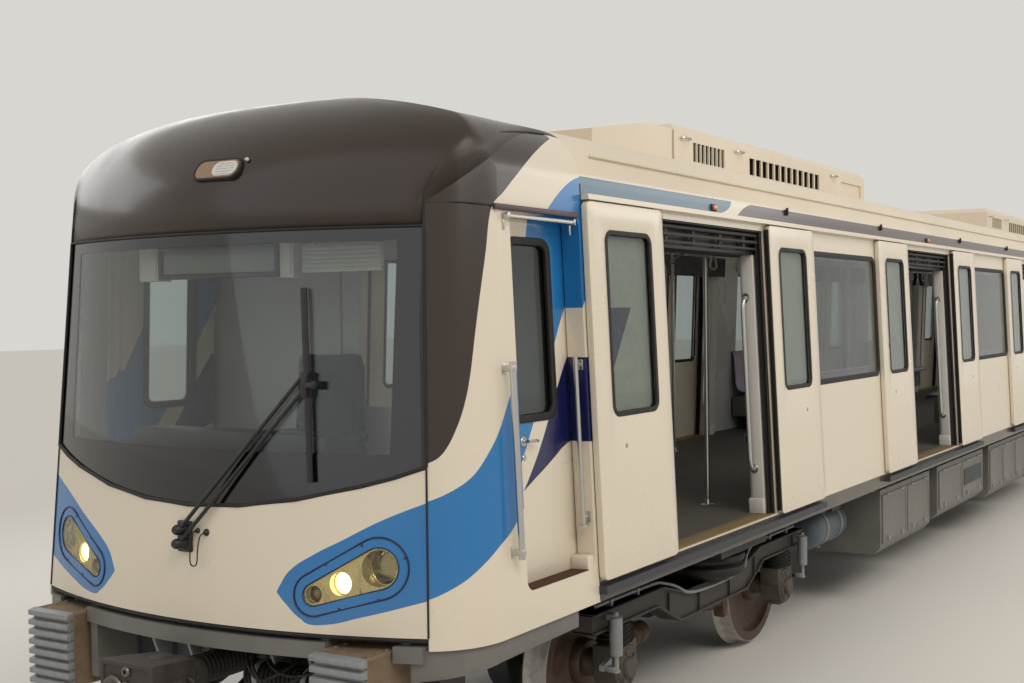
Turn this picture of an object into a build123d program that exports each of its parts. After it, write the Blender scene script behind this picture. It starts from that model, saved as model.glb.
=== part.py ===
from build123d import *
import math
import os

# Driving motor car of a metro train, standard gauge, millimetres.
# +X points to the cab, +Y is the car's left side, +Z is up.
# The origin is on the ground under the wheel flanges, midway between the coupler faces.

# Heights
FLANGE_DEPTH = 28.0
WHEEL_DIAMETER = 850.0
FLOOR_Z = 1128.0
FLOOR_THICKNESS = 68.0
SOLE_Z = 1020.0
CANTRAIL_Z = 3110.0
CROWN_Z = 3480.0

# Plan of the body
REAR_X = -9485.0
SEAM_X = 8255.0
NOSE_X = 9560.0
HALF_WIDTH = 1400.0
WIDTH_Z = 1040.0
LEAN = math.radians(2.6)
WALL = 60.0
ROOF_RADIUS = 4200.0
SHOULDER_RADIUS = 300.0
NOSE_RADIUS = 3550.0
CORNER_RADIUS = 330.0
RAKE = math.radians(4.1)
HOOD_RADIUS = 640.0

# Fits
SEAT = 0.3
RUNNING = 0.1
BLEND = 0.5
CLEAR = 6.0

# Passenger doors
DOOR_X = (6770.0, 2370.0, -2030.0, -6430.0)
DOORWAY_WIDTH = 1422.0
DOORWAY_TOP = 2940.0
LEAF_WIDTH = 784.0
LEAF_THICKNESS = 35.0
LEAF_STANDOFF = 6.0
LEAF_BOTTOM = 1122.0
LEAF_TOP = 2975.0
LEAF_MEETING_GAP = 6.0
LEAF_WINDOW_WIDTH = 475.0
WINDOW_BOTTOM = 1910.0
WINDOW_TOP = 2838.0
WINDOW_CORNER = 60.0
GLASS = 20.0
GLASS_INSET = 4.0
HANGER_WIDTH = 70.0
HANGER_THICKNESS = 16.0
TRACK_DEPTH = 46.0
TRACK_Z = 2982.0
TRACK_HEIGHT = 26.0
SILL_TOP = 1098.0
SILL_HEIGHT = 40.0

# Fixed side windows: centre and width
SIDE_WINDOWS = ((4570.0, 1390.0), (170.0, 1390.0), (-4230.0, 1390.0), (-8560.0, 900.0))

# Cab doors, windscreen and seams of the cab mouldings
CAB_DOOR_X = (8285.0, 8865.0)
CAB_DOOR_Z = (1190.0, 2890.0)
CAB_DOOR_RECESS = 100.0
CAB_DOOR_THICKNESS = 38.0
CAB_DOOR_LAP = 18.0
KNUCKLE = 60.0
KNUCKLE_RADIUS = 12.0
HINGE_Z = (1500.0, 2560.0)
CAB_WINDOW_X = (8408.0, 8748.0)
CAB_WINDOW_Z = (1940.0, 2780.0)
FRONT_SEAM_INSET = 184.0
PANEL_BOTTOM = 1072.0
SCREEN_LOW_MID = 1585.0
SCREEN_LOW_SIDE = 1787.0
SCREEN_TOP = 2810.0
HOOD_SEAM = ((9240.0, 2901.0), (8900.0, 3160.0), (SEAM_X, 3290.0))
SCREEN_SETBACK = 6.0
SCREEN_GLASS = 14.0

# Lamps on the front panel: y, z, radius
LAMPS = ((993.0, 1358.0, 78.0), (822.0, 1287.0, 50.0), (699.0, 1235.0, 38.0))
LAMP_RIM = 10.0
LAMP_DEPTH = 110.0
LENS = 8.0

# Bogies
BOGIE_X = 6300.0
WHEELBASE = 2300.0
BACK_TO_BACK = 1360.0
RIM_WIDTH = 135.0
FLANGE_WIDTH = 32.0
RIM_DEPTH = 70.0
WEB = 26.0
AXLE_RADIUS = 80.0
JOURNAL_RADIUS = 65.0
JOURNAL_Y = 1000.0
BOX_WIDTH = 160.0
BOX_LENGTH = 250.0
BOX_HEIGHT = 270.0
BEAM_WIDTH = 160.0
BEAM_END_Z = (702.0, 812.0)
BEAM_MID_Z = (560.0, 730.0)
BEAM_HALF = 1480.0
TRANSOM_HALF = 220.0
TRANSOM_Z = (500.0, 690.0)
BOLSTER_Z = 925.0
BOLSTER_HALF = 340.0
AIR_SPRING_RADIUS = 260.0
SPRING_RADIUS = 105.0
PIVOT_RADIUS = 80.0
MOTOR_X = 585.0
MOTOR_RADIUS = 190.0
MOTOR_Y = (-330.0, 250.0)
GEARCASE_Y = (262.0, 420.0)
GEARCASE_RADIUS = 225.0

# Couplers
COUPLER_FACE_X = 9885.0
COUPLER_Z = 825.0
COUPLER_PIVOT_X = 8950.0
COUPLER_PIN_RADIUS = 36.0
HEAD_LENGTH = 285.0
HEAD_WIDTH = 340.0
HEAD_HEIGHT = 260.0
SHANK_RADIUS = 72.0
EYE_HEIGHT = 90.0
EYE_RADIUS = 105.0
EAR_THICKNESS = 34.0
REAR_COUPLER_Z = 880.0
COUPLER_BOLTS = 6
COUPLER_BOLT_CIRCLE = 190.0
COUPLER_BOLT_RADIUS = 11.0
HEADSTOCK_Z = 800.0
HEADSTOCK_DEPTH = 180.0
COUPLER_BAY = 250.0

# Anti-climbers and valance
CLIMBER_Y = (770.0, 1060.0)
CLIMBER_Z = (650.0, 1020.0)
CLIMBER_FACE_X = 9582.0
HEADSTOCK_X = 9230.0
RIB_COUNT = 9
RIB_THICKNESS = 18.0
RIB_DEPTH = 34.0
VALANCE_Z = (965.0, 1036.0)
VALANCE_THICKNESS = 60.0
VALANCE_INSET = 4.0
VALANCE_HALF = 1190.0
POST_Y = (700.0, 745.0)
POST_X = 9470.0
POST_Z = 700.0

# Roof units: centre, length
ROOF_UNITS = ((4440.0, 3690.0), (-3780.0, 3690.0))
UNIT_HALF_WIDTH = 800.0
UNIT_TOP = 3650.0
UNIT_CHAMFER = 48.0

# Recesses in the side of a roof unit: offsets along it, heights, number of slots, bar, depth
UNIT_PANELS = (
    (-725.0, 667.0, 3418.0, 3540.0, 12, 26.0, 40.0),
    (1092.0, 1572.0, 3424.0, 3550.0, 8, 14.0, 22.0),
    (-1748.0, -1250.0, 3424.0, 3530.0, 1, 0.0, 12.0),
)

# Fairing before the front roof unit: its side outline as x, z
FAIRING = ((7285.0, 3492.0), (6650.0, 3604.0), (6293.0, 3604.0))
FAIRING_HALF = 790.0

# Boxes hung under the floor: x0, x1, y0, y1, bottom z
BOXES = (
    (2300.0, 3700.0, 640.0, 1300.0, 430.0),
    (350.0, 2050.0, 560.0, 1300.0, 470.0),
    (-1750.0, 100.0, 560.0, 1300.0, 400.0),
    (-3900.0, -2000.0, 640.0, 1300.0, 450.0),
    (1500.0, 3500.0, -1300.0, -600.0, 400.0),
    (-900.0, 1200.0, -1300.0, -560.0, 450.0),
    (-3200.0, -1200.0, -1300.0, -640.0, 430.0),
)
BEARER_Z = 960.0
BEARER_WIDTH = 80.0
BEARER_PITCH = 1100.0
SILL_BEAM_Y = 330.0
SILL_BEAM_WIDTH = 70.0
SILL_BEAM_Z = 880.0
JACK_X = (4630.0, -4630.0)
JACK_Y = (1130.0, 1270.0)
JACK_HALF = 90.0
JACK_Z = 935.0

# Saloon and cab fittings
BENCHES = ((4570.0, 1640.0), (170.0, 1640.0), (-4230.0, 1640.0), (-8560.0, 1000.0))
SEAT_HEIGHT = 430.0
SEAT_DEPTH = 450.0
SEAT_BACK = 860.0
POLE_RADIUS = 17.0
POLE_Y = 840.0
PARTITION_X = (8150.0, 8190.0)
PARTITION_DOOR_Y = (-300.0, 320.0)
PARTITION_DOOR_TOP = 3020.0
PARTITION_DOOR_THICKNESS = 32.0
GANGWAY_HALF = 450.0
GANGWAY_TOP = 3070.0
GANGWAY_LENGTH = 160.0
GANGWAY_RIM = 90.0
DESK_X = (8950.0, 9250.0)
DESK_TOP = 1790.0
RAIL_RADIUS = 15.0
FRONT_RAIL_X = 8965.0
FRONT_RAIL_OFFSET = 48.0
REAR_RAIL_X = 8326.0
REAR_RAIL_OFFSET = -32.0
REAR_RAIL_RADIUS = 12.0
RAIL_Z = ((1355.0, 2220.0), (1400.0, 2220.0))
WIPER_BASE_Z = 1415.0
WIPER_ARM_GAP = 62.0
WIPER_LOW = (680.0, 1714.0)
WIPER_HIGH = (614.0, 2552.0)
WIPER_BLADE = 11.0

WHEEL_RADIUS = WHEEL_DIAMETER / 2
AXLE_Z = FLANGE_DEPTH + WHEEL_RADIUS
HINGE_X = CAB_DOOR_X[0] - CAB_DOOR_LAP - KNUCKLE_RADIUS
HINGE_OFFSET = -CAB_DOOR_RECESS - CLEAR - CAB_DOOR_THICKNESS / 2


def skin_y(z, inset=0.0):
    """Half width of the leaning side at height z, inset from the outer skin."""
    return HALF_WIDTH - (z - WIDTH_Z) * math.tan(LEAN) - inset / math.cos(LEAN)


def nose_x(z, inset=0.0):
    """Front of the raked nose on the centre line at height z."""
    return NOSE_X - (z - SOLE_Z) * math.tan(RAKE) - inset / math.cos(RAKE)


def front_x(y, z, inset=0.0):
    """Front surface of the nose at half width y and height z."""
    centre = NOSE_X - NOSE_RADIUS
    radius = nose_x(z, inset) - centre
    return centre + math.sqrt(radius * radius - y * y)


def roof_z(y, inset=0.0):
    """Height of the roof arc at half width y."""
    radius = ROOF_RADIUS - inset
    return CROWN_Z - ROOF_RADIUS + math.sqrt(radius * radius - y * y)


def box(x, y, z):
    """Box between two values on each axis."""
    size = (x[1] - x[0], y[1] - y[0], z[1] - z[0])
    centre = ((x[0] + x[1]) / 2, (y[0] + y[1]) / 2, (z[0] + z[1]) / 2)
    return Pos(*centre) * Box(*size)


def rod(start, end, radius):
    """Round bar between two points."""
    a = Vector(*start)
    b = Vector(*end)
    plane = Plane(origin=a, z_dir=b - a)
    return extrude(plane * Circle(radius), amount=(b - a).length)


def side_plane(x):
    """Plane on the left skin: its x runs to the rear, its y up the lean."""
    normal = (0, math.cos(LEAN), math.sin(LEAN))
    return Plane(origin=(x, HALF_WIDTH, WIDTH_Z), x_dir=(-1, 0, 0), z_dir=normal)


def side_box(x, z, offset, corner=0.0):
    """Slab parallel to the left skin, between two offsets from it."""
    width = x[1] - x[0]
    low = (z[0] - WIDTH_Z) / math.cos(LEAN)
    high = (z[1] - WIDTH_Z) / math.cos(LEAN)
    if corner > 0:
        face = RectangleRounded(width, high - low, corner)
    else:
        face = Rectangle(width, high - low)
    face = Pos(0, (low + high) / 2, offset[0]) * face
    plane = side_plane((x[0] + x[1]) / 2)
    return extrude(plane * face, amount=offset[1] - offset[0])


def side_rod(x, z, offset, radius):
    """Round bar up the lean at an offset from the left skin, with two feet."""
    plane = side_plane(x)
    low = (z[0] - WIDTH_Z) / math.cos(LEAN)
    high = (z[1] - WIDTH_Z) / math.cos(LEAN)
    bar = rod(plane.from_local_coords((0, low, offset)), plane.from_local_coords((0, high, offset)), radius)
    for v in (low + 2 * radius, high - 2 * radius):
        foot = rod(plane.from_local_coords((0, v, SEAT)), plane.from_local_coords((0, v, offset)), radius)
        bar = bar + foot
    return bar


def other_side(shape):
    """The same shape on the right side of the car."""
    return mirror(shape, about=Plane.XZ)


def body_section(inset, bottom):
    """Closed section of the body: leaning sides, tight shoulders and a roof arc."""
    top = CROWN_Z + WALL
    low_y = skin_y(bottom, inset)
    top_y = skin_y(top, inset)
    sides = Polyline((-low_y, bottom), (-top_y, top), (top_y, top), (low_y, bottom), close=True)
    disc = Pos(0, CROWN_Z - ROOF_RADIUS) * Circle(ROOF_RADIUS - inset)
    section = Plane.YZ * make_face(sides) & Plane.YZ * disc
    shoulders = [v for v in section.vertices() if v.Z > bottom + 1]
    return fillet(shoulders, SHOULDER_RADIUS - inset)


def plan_outline(z, inset, back):
    """Plan of the cab at height z: straight sides, round corners and a curved front."""
    centre = NOSE_X - NOSE_RADIUS
    radius = nose_x(z, inset) + BLEND - centre
    y = skin_y(z, inset) + BLEND
    x = centre + math.sqrt(radius * radius - y * y)
    left = Line((back, y, z), (x, y, z))
    front = ThreePointArc((x, y, z), (centre + radius, 0, z), (x, -y, z))
    right = Line((x, -y, z), (back, -y, z))
    rear = Line((back, -y, z), (back, y, z))
    face = make_face(Wire([left, front, right, rear]))
    corners = [v for v in face.vertices() if v.X > back + 1]
    return fillet(corners, CORNER_RADIUS - inset)


def cab_form(inset, bottom, back):
    """Solid form of the cab: revolved nose, body section and rounded plan together."""
    section = extrude(Pos(back, 0, 0) * body_section(inset, bottom), amount=NOSE_X + WALL - back, dir=(1, 0, 0))
    centre = NOSE_X - NOSE_RADIUS
    radius = HOOD_RADIUS - inset
    arc_z = CROWN_Z - HOOD_RADIUS
    tangent_z = arc_z + HOOD_RADIUS * math.sin(RAKE)
    arc_x = nose_x(tangent_z) - HOOD_RADIUS * math.cos(RAKE)
    low = bottom - 5
    foot = (nose_x(low, inset), low)
    start = (arc_x + radius * math.cos(RAKE), arc_z + radius * math.sin(RAKE))
    middle = (arc_x + radius * math.cos(math.pi / 4), arc_z + radius * math.sin(math.pi / 4))
    crown = (arc_x, arc_z + radius)
    edges = [Line(foot, start), ThreePointArc(start, middle, crown), Line(crown, (centre, crown[1]))]
    edges.append(Line((centre, crown[1]), (centre, low)))
    edges.append(Line((centre, low), foot))
    profile = Plane.XZ * make_face(Wire(edges))
    nose = revolve(profile, axis=Axis((centre, 0, 0), (0, 0, 1)))
    plans = [plan_outline(bottom - 10, inset, back - 10), plan_outline(CROWN_Z + WALL, inset, back - 10)]
    return loft(plans, ruled=True) & nose & section


def front_zone(low, high):
    """Prism over the front between the two seams, for cutting the mouldings apart."""
    a = skin_y(low, FRONT_SEAM_INSET)
    b = skin_y(high, FRONT_SEAM_INSET)
    face = make_face(Polyline((-a, low), (-b, high), (b, high), (a, low), close=True))
    return extrude(Pos(SEAM_X + 500, 0, 0) * (Plane.YZ * face), amount=NOSE_X - SEAM_X, dir=(1, 0, 0))


def screen_zone():
    """Prism through the windscreen: its lower edge sags to the middle."""
    side = skin_y(SCREEN_LOW_SIDE, FRONT_SEAM_INSET)
    top = skin_y(SCREEN_TOP, FRONT_SEAM_INSET)
    sag = ThreePointArc((-side, SCREEN_LOW_SIDE), (0, SCREEN_LOW_MID), (side, SCREEN_LOW_SIDE))
    rest = Polyline((side, SCREEN_LOW_SIDE), (top, SCREEN_TOP), (-top, SCREEN_TOP), (-side, SCREEN_LOW_SIDE))
    face = make_face(Wire([sag] + list(rest.edges())))
    return extrude(Pos(SEAM_X + 500, 0, 0) * (Plane.YZ * face), amount=NOSE_X - SEAM_X, dir=(1, 0, 0))


def hood_zone():
    """Prism above the curved seam that bounds the dark roof hood of the cab."""
    front, middle, rear = HOOD_SEAM
    seam = ThreePointArc(front, middle, rear)
    top = CROWN_Z + WALL
    rest = Polyline(rear, (SEAM_X - 50, rear[1]), (SEAM_X - 50, top), (NOSE_X, top), (NOSE_X, front[1]), front)
    face = make_face(Wire([seam] + list(rest.edges())))
    return extrude(Plane.XZ * face, amount=1600, both=True)


def make_cab():
    """Mouldings of the cab, cut from one hollow form along their real seams."""
    outer = cab_form(0, SOLE_Z, SEAM_X)
    inner = cab_form(WALL, SOLE_Z - 20, SEAM_X - 20)
    shell = outer - inner
    front = front_zone(PANEL_BOTTOM, SCREEN_TOP)
    screen = screen_zone()
    hood = shell & (hood_zone() + front_zone(SCREEN_TOP, CROWN_Z))
    lamp_cut = Part() + [lamp_zone(1), lamp_zone(-1)]
    panel = (shell & front) - screen - lamp_cut
    rest = shell - hood_zone() - front_zone(SOLE_Z - 50, CROWN_Z)
    left = rest & box((SEAM_X - 10, NOSE_X + 50), (0, 1600), (SOLE_Z - 10, CROWN_Z))
    doorway = side_box(CAB_DOOR_X, CAB_DOOR_Z, (-WALL - 150, 60), 50)
    rim_x = (SEAM_X, CAB_DOOR_X[1] + 40)
    rim_z = (CAB_DOOR_Z[0] - 40, CAB_DOOR_Z[1] + 40)
    jamb = side_box(rim_x, rim_z, (-CAB_DOOR_RECESS, -WALL + 10), 60)
    left = left + jamb - doorway
    for z in HINGE_Z:
        for dz in (-1, 1):
            left = left + hinge_knuckle(z + dz * (KNUCKLE + SEAT), True)
    glass = cab_form(SCREEN_SETBACK, SOLE_Z, SEAM_X) - cab_form(SCREEN_SETBACK + SCREEN_GLASS, SOLE_Z - 20, SEAM_X - 20)
    lens_skin = outer - cab_form(LENS, SOLE_Z - 20, SEAM_X - 20)
    lenses = lens_skin & lamp_cut
    bowl = cab_form(LENS, SOLE_Z - 20, SEAM_X - 20) & lamp_cut
    keep = box((nose_x(1300) - LAMP_DEPTH - 130, NOSE_X), (-1300, 1300), (SOLE_Z, SCREEN_LOW_SIDE))
    bowls = bowl & keep
    for y, z, radius in LAMPS:
        for side in (1, -1):
            bowls = bowls - rod((nose_x(z) - 240, side * y, z), (NOSE_X + 50, side * y, z), radius)
    return {
        "cab_hood": hood,
        "cab_front_panel": panel,
        "cab_side_left": left,
        "cab_side_right": other_side(left),
        "windscreen": glass & screen,
        "headlamp_bowls": bowls,
        "headlamp_lenses": lenses,
    }, inner


def lamp_zone(side):
    """Prism through the clear lamp cover: a drop shape round the outer and the inner lamp."""
    y1, z1, r1 = LAMPS[0]
    y2, z2, r2 = LAMPS[-1]
    r1 = r1 + LAMP_RIM
    r2 = r2 + LAMP_RIM
    along = math.atan2(z2 - z1, y2 - y1)
    spread = math.acos((r1 - r2) / math.hypot(y2 - y1, z2 - z1))

    def on(y, z, radius, angle):
        return (side * (y + radius * math.cos(angle)), z + radius * math.sin(angle))

    low, high = along + spread, along - spread
    big = ThreePointArc(on(y1, z1, r1, high), on(y1, z1, r1, along + math.pi), on(y1, z1, r1, low))
    small = ThreePointArc(on(y2, z2, r2, low), on(y2, z2, r2, along), on(y2, z2, r2, high))
    lower = Line(on(y1, z1, r1, low), on(y2, z2, r2, low))
    upper = Line(on(y2, z2, r2, high), on(y1, z1, r1, high))
    face = make_face(Wire([big, lower, small, upper]))
    return extrude(Pos(SEAM_X + 500, 0, 0) * (Plane.YZ * face), amount=NOSE_X - SEAM_X, dir=(1, 0, 0))


def body_tube():
    """Hollow body behind the cab, from the rear wall to the cab seam."""
    ring = body_section(0, SOLE_Z) - body_section(WALL, SOLE_Z - 20)
    return extrude(Pos(REAR_X + WALL, 0, 0) * ring, amount=SEAM_X - REAR_X - WALL, dir=(1, 0, 0))


def make_side_wall(tube):
    """Left side wall with its doorways and windows cut."""
    wall = tube & box((REAR_X - 10, SEAM_X + 10), (0, HALF_WIDTH + 50), (SOLE_Z - 50, CANTRAIL_Z))
    half = DOORWAY_WIDTH / 2
    for x in DOOR_X:
        wall = wall - side_box((x - half, x + half), (FLOOR_Z, DOORWAY_TOP), (-WALL - 40, 40))
    for x, width in SIDE_WINDOWS:
        cut = side_box((x - width / 2, x + width / 2), (WINDOW_BOTTOM, WINDOW_TOP), (-WALL - 40, 40), WINDOW_CORNER)
        wall = wall - cut
    return wall


def make_side_glass():
    """Fixed panes of the left side, set in their openings."""
    panes = []
    for x, width in SIDE_WINDOWS:
        span = (x - width / 2 + SEAT, x + width / 2 - SEAT)
        height = (WINDOW_BOTTOM + SEAT, WINDOW_TOP - SEAT)
        panes.append(side_box(span, height, (-GLASS_INSET - GLASS, -GLASS_INSET), WINDOW_CORNER - SEAT))
    return panes


def make_roof(tube):
    """Roof shell from cantrail to cantrail."""
    width = HALF_WIDTH + 50
    return tube & box((REAR_X - 10, SEAM_X + 10), (-width, width), (CANTRAIL_Z, CROWN_Z + WALL))


def make_rear_wall():
    """Rear end wall with the gangway opening."""
    plate = extrude(Pos(REAR_X, 0, 0) * body_section(0, SOLE_Z), amount=WALL, dir=(1, 0, 0))
    opening = box((REAR_X - 10, REAR_X + WALL + 10), (-GANGWAY_HALF, GANGWAY_HALF), (FLOOR_Z, GANGWAY_TOP))
    return plate - opening


def make_gangway():
    """Rubber gangway ring on the rear end wall."""
    x = (REAR_X - GANGWAY_LENGTH, REAR_X)
    half = GANGWAY_HALF + GANGWAY_RIM
    outer = box(x, (-half, half), (FLOOR_Z - 60, GANGWAY_TOP + GANGWAY_RIM))
    inner = box((x[0] - 10, x[1] + 10), (-GANGWAY_HALF, GANGWAY_HALF), (FLOOR_Z, GANGWAY_TOP))
    return outer - inner


def floor_slab(x0, x1):
    """Floor between the leaning walls."""
    low, high = FLOOR_Z - FLOOR_THICKNESS, FLOOR_Z
    a, b = skin_y(low, WALL), skin_y(high, WALL)
    face = Plane.YZ * make_face(Polyline((-a, low), (-b, high), (b, high), (a, low), close=True))
    return extrude(Pos(x0, 0, 0) * face, amount=x1 - x0, dir=(1, 0, 0))


def make_underframe(cab_inner):
    """Floor, longitudinal sills, cross bearers, bolsters, headstocks, coupler anchor and jacking pads."""
    low = FLOOR_Z - FLOOR_THICKNESS
    under = low - SEAT
    cab_box = box((SEAM_X, NOSE_X), (-1500, 1500), (low, FLOOR_Z))
    pieces = [floor_slab(REAR_X + WALL, SEAM_X) + (cab_box & cab_inner)]
    rear_end = REAR_X + 260
    bays = (
        (rear_end, -BOGIE_X - BOLSTER_HALF),
        (-BOGIE_X + BOLSTER_HALF, BOGIE_X - BOLSTER_HALF),
        (BOGIE_X + BOLSTER_HALF, HEADSTOCK_X - HEADSTOCK_DEPTH),
    )
    for side in (1, -1):
        y = (side * SILL_BEAM_Y - SILL_BEAM_WIDTH / 2, side * SILL_BEAM_Y + SILL_BEAM_WIDTH / 2)
        for x0, x1 in bays:
            pieces.append(box((x0 + SEAT, x1 - SEAT), y, (SILL_BEAM_Z, BEARER_Z - SEAT)))
        for x in JACK_X:
            y = sorted((side * JACK_Y[0], side * JACK_Y[1]))
            pieces.append(box((x - JACK_HALF, x + JACK_HALF), y, (JACK_Z, under)))
    count = int((2 * BOGIE_X - 2400) / BEARER_PITCH)
    for i in range(count + 1):
        x = -count * BEARER_PITCH / 2 + i * BEARER_PITCH
        pieces.append(box((x - BEARER_WIDTH / 2, x + BEARER_WIDTH / 2), (-1290, 1290), (BEARER_Z, under)))
    for x in (BOGIE_X, -BOGIE_X):
        pieces.append(box((x - BOLSTER_HALF, x + BOLSTER_HALF), (-1280, 1280), (BOLSTER_Z, under)))
        pieces.append(rod((x, 0, TRANSOM_Z[0] + 20), (x, 0, BOLSTER_Z - SEAT), PIVOT_RADIUS))
    pieces.append(box((REAR_X + WALL, rear_end), (-1250, 1250), (HEADSTOCK_Z, under)))
    x = (HEADSTOCK_X - HEADSTOCK_DEPTH, HEADSTOCK_X)
    for side in (1, -1):
        pieces.append(box(x, sorted((side * COUPLER_BAY, side * 1180)), (720, under)))
    pieces.append(box(x, (SEAT - COUPLER_BAY, COUPLER_BAY - SEAT), (BOLSTER_Z, under)))
    x = COUPLER_PIVOT_X
    top = COUPLER_Z + EYE_HEIGHT / 2 + CLEAR
    bottom = COUPLER_Z - EYE_HEIGHT / 2
    pin = rod((x, 0, bottom - EAR_THICKNESS), (x, 0, top + EAR_THICKNESS), COUPLER_PIN_RADIUS)
    hole = rod((x, 0, bottom - 100), (x, 0, top + 100), COUPLER_PIN_RADIUS + RUNNING)
    for z in ((bottom - EAR_THICKNESS, bottom), (top, top + EAR_THICKNESS)):
        pieces.append(box((x - 230 + SEAT, x + 60), (-130, 130), z) - hole)
    pieces.append(box((x - 330, x - 230), (-200, 200), (bottom - EAR_THICKNESS, under)))
    pieces.append(pin)
    return pieces


def make_front_coupler():
    """Automatic coupler: eye on the anchor pin, shank and head with cone and cup."""
    x = COUPLER_PIVOT_X
    low = COUPLER_Z - EYE_HEIGHT / 2 + SEAT
    high = COUPLER_Z + EYE_HEIGHT / 2
    eye = rod((x, 0, low), (x, 0, high), EYE_RADIUS)
    back = COUPLER_FACE_X - HEAD_LENGTH
    coupler = eye + rod((x + EYE_RADIUS - 20, 0, COUPLER_Z), (back + 5, 0, COUPLER_Z), SHANK_RADIUS - 28)
    coupler = coupler + rod((x + 180, 0, COUPLER_Z), (back + 5, 0, COUPLER_Z), SHANK_RADIUS)
    head = box((back, COUPLER_FACE_X), (-HEAD_WIDTH / 2, HEAD_WIDTH / 2), (COUPLER_Z - HEAD_HEIGHT / 2, COUPLER_Z + HEAD_HEIGHT / 2))
    head = chamfer(head.edges().filter_by(Axis.X), 40)
    cup = rod((COUPLER_FACE_X - 90, -85, COUPLER_Z), (COUPLER_FACE_X + 5, -85, COUPLER_Z), 55)
    coupler = coupler + head - cup
    return coupler - rod((x, 0, low - 10), (x, 0, high + 10), COUPLER_PIN_RADIUS + RUNNING)


def make_rear_coupler():
    """Permanent coupler bar at the rear, bolted to the headstock."""
    z = REAR_COUPLER_Z
    bar = rod((-COUPLER_FACE_X, 0, z), (REAR_X - 20, 0, z), 60)
    flange = rod((-COUPLER_FACE_X, 0, z), (-COUPLER_FACE_X + 30, 0, z), 120)
    foot = box((REAR_X - 40, REAR_X + WALL), (-170, 170), (HEADSTOCK_Z, SOLE_Z))
    coupler = bar + flange + foot
    for i in range(COUPLER_BOLTS):
        angle = 2 * math.pi * i / COUPLER_BOLTS
        y = COUPLER_BOLT_CIRCLE / 2 * math.cos(angle)
        z = REAR_COUPLER_Z + COUPLER_BOLT_CIRCLE / 2 * math.sin(angle)
        coupler = coupler - rod((-COUPLER_FACE_X - 10, y, z), (-COUPLER_FACE_X + 40, y, z), COUPLER_BOLT_RADIUS)
    return coupler


def make_anti_climbers():
    """Two ribbed anti-climbers on the front headstock."""
    pieces = []
    back = HEADSTOCK_X
    for side in (1, -1):
        y = sorted((side * CLIMBER_Y[0], side * CLIMBER_Y[1]))
        block = box((back, CLIMBER_FACE_X - RIB_DEPTH), y, CLIMBER_Z)
        pitch = (CLIMBER_Z[1] - CLIMBER_Z[0] - RIB_THICKNESS) / (RIB_COUNT - 1)
        for i in range(RIB_COUNT):
            z = CLIMBER_Z[0] + i * pitch
            block = block + box((CLIMBER_FACE_X - RIB_DEPTH - 5, CLIMBER_FACE_X), y, (z, z + RIB_THICKNESS))
        pieces.append(block)
    return pieces


def make_valance():
    """Curved beam under the front panel, notched round the anti-climbers, with its hangers."""
    low, high = VALANCE_Z
    outer = extrude(plan_outline(low, VALANCE_INSET, SEAM_X + 200), amount=high - low)
    inner = extrude(plan_outline(low, VALANCE_INSET + VALANCE_THICKNESS, SEAM_X + 100), amount=high - low)
    ring = (outer - inner) & box((9000, NOSE_X + 60), (-VALANCE_HALF, VALANCE_HALF), (low - 5, high + 5))
    for side in (1, -1):
        y = sorted((side * (CLIMBER_Y[0] - CLEAR), side * (CLIMBER_Y[1] + CLEAR)))
        ring = ring - box((9000, NOSE_X + 60), y, (low - 5, high + 5))
        for y0 in (CLIMBER_Y[0] - CLEAR - 50, CLIMBER_Y[1] + CLEAR + 5):
            y = sorted((side * y0, side * (y0 + 45)))
            x = front_x(y0 + 45, low, VALANCE_INSET + VALANCE_THICKNESS)
            ring = ring + box((x - 60, x + 30), y, (low, FLOOR_Z - FLOOR_THICKNESS))
    posts = [box((HEADSTOCK_X + SEAT, POST_X), POST_Y, (POST_Z, low - SEAT))]
    return [ring] + both_sides(posts)


def make_bogie_frame(x):
    """Welded frame: two cranked side beams and a transom with the pivot hole."""
    end, mid = BEAM_END_Z, BEAM_MID_Z
    half = [(0, mid[0]), (480, mid[0]), (760, end[0]), (BEAM_HALF, end[0]), (BEAM_HALF, end[1]), (700, end[1]), (420, mid[1]), (0, mid[1])]
    beam_face = make_face(Polyline(*half, close=True))
    beam_face = beam_face + mirror(beam_face, about=Plane.YZ)
    beam = extrude(Plane.XZ * beam_face, amount=BEAM_WIDTH / 2, both=True)
    frame = box((-TRANSOM_HALF, TRANSOM_HALF), (-JOURNAL_Y, JOURNAL_Y), TRANSOM_Z)
    for side in (1, -1):
        frame = frame + Pos(0, side * JOURNAL_Y, 0) * beam
    frame = frame - rod((0, 0, 0), (0, 0, 1000), PIVOT_RADIUS + CLEAR)
    return Pos(x, 0, 0) * frame


def make_axleboxes(x):
    """Four axleboxes with their bearings' bores."""
    boxes = []
    for dx in (WHEELBASE / 2, -WHEELBASE / 2):
        for side in (1, -1):
            y = side * JOURNAL_Y
            block = box((-BOX_LENGTH / 2, BOX_LENGTH / 2), (-BOX_WIDTH / 2, BOX_WIDTH / 2), (-BOX_HEIGHT / 2, BOX_HEIGHT / 2))
            block = chamfer(block.edges().filter_by(Axis.Y), 50)
            bore = rod((0, -BOX_WIDTH, 0), (0, BOX_WIDTH, 0), JOURNAL_RADIUS + RUNNING)
            boxes.append(Pos(x + dx, y, AXLE_Z) * (block - bore))
    return boxes


def make_springs(x):
    """Primary rubber springs on the axleboxes and air springs on the side beams."""
    springs = []
    for side in (1, -1):
        y = side * JOURNAL_Y
        for dx in (WHEELBASE / 2, -WHEELBASE / 2):
            springs.append(rod((x + dx, y, AXLE_Z + BOX_HEIGHT / 2), (x + dx, y, BEAM_END_Z[0]), SPRING_RADIUS))
        springs.append(rod((x, y, BEAM_MID_Z[1]), (x, y, BOLSTER_Z - SEAT), AIR_SPRING_RADIUS))
    return springs


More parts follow.
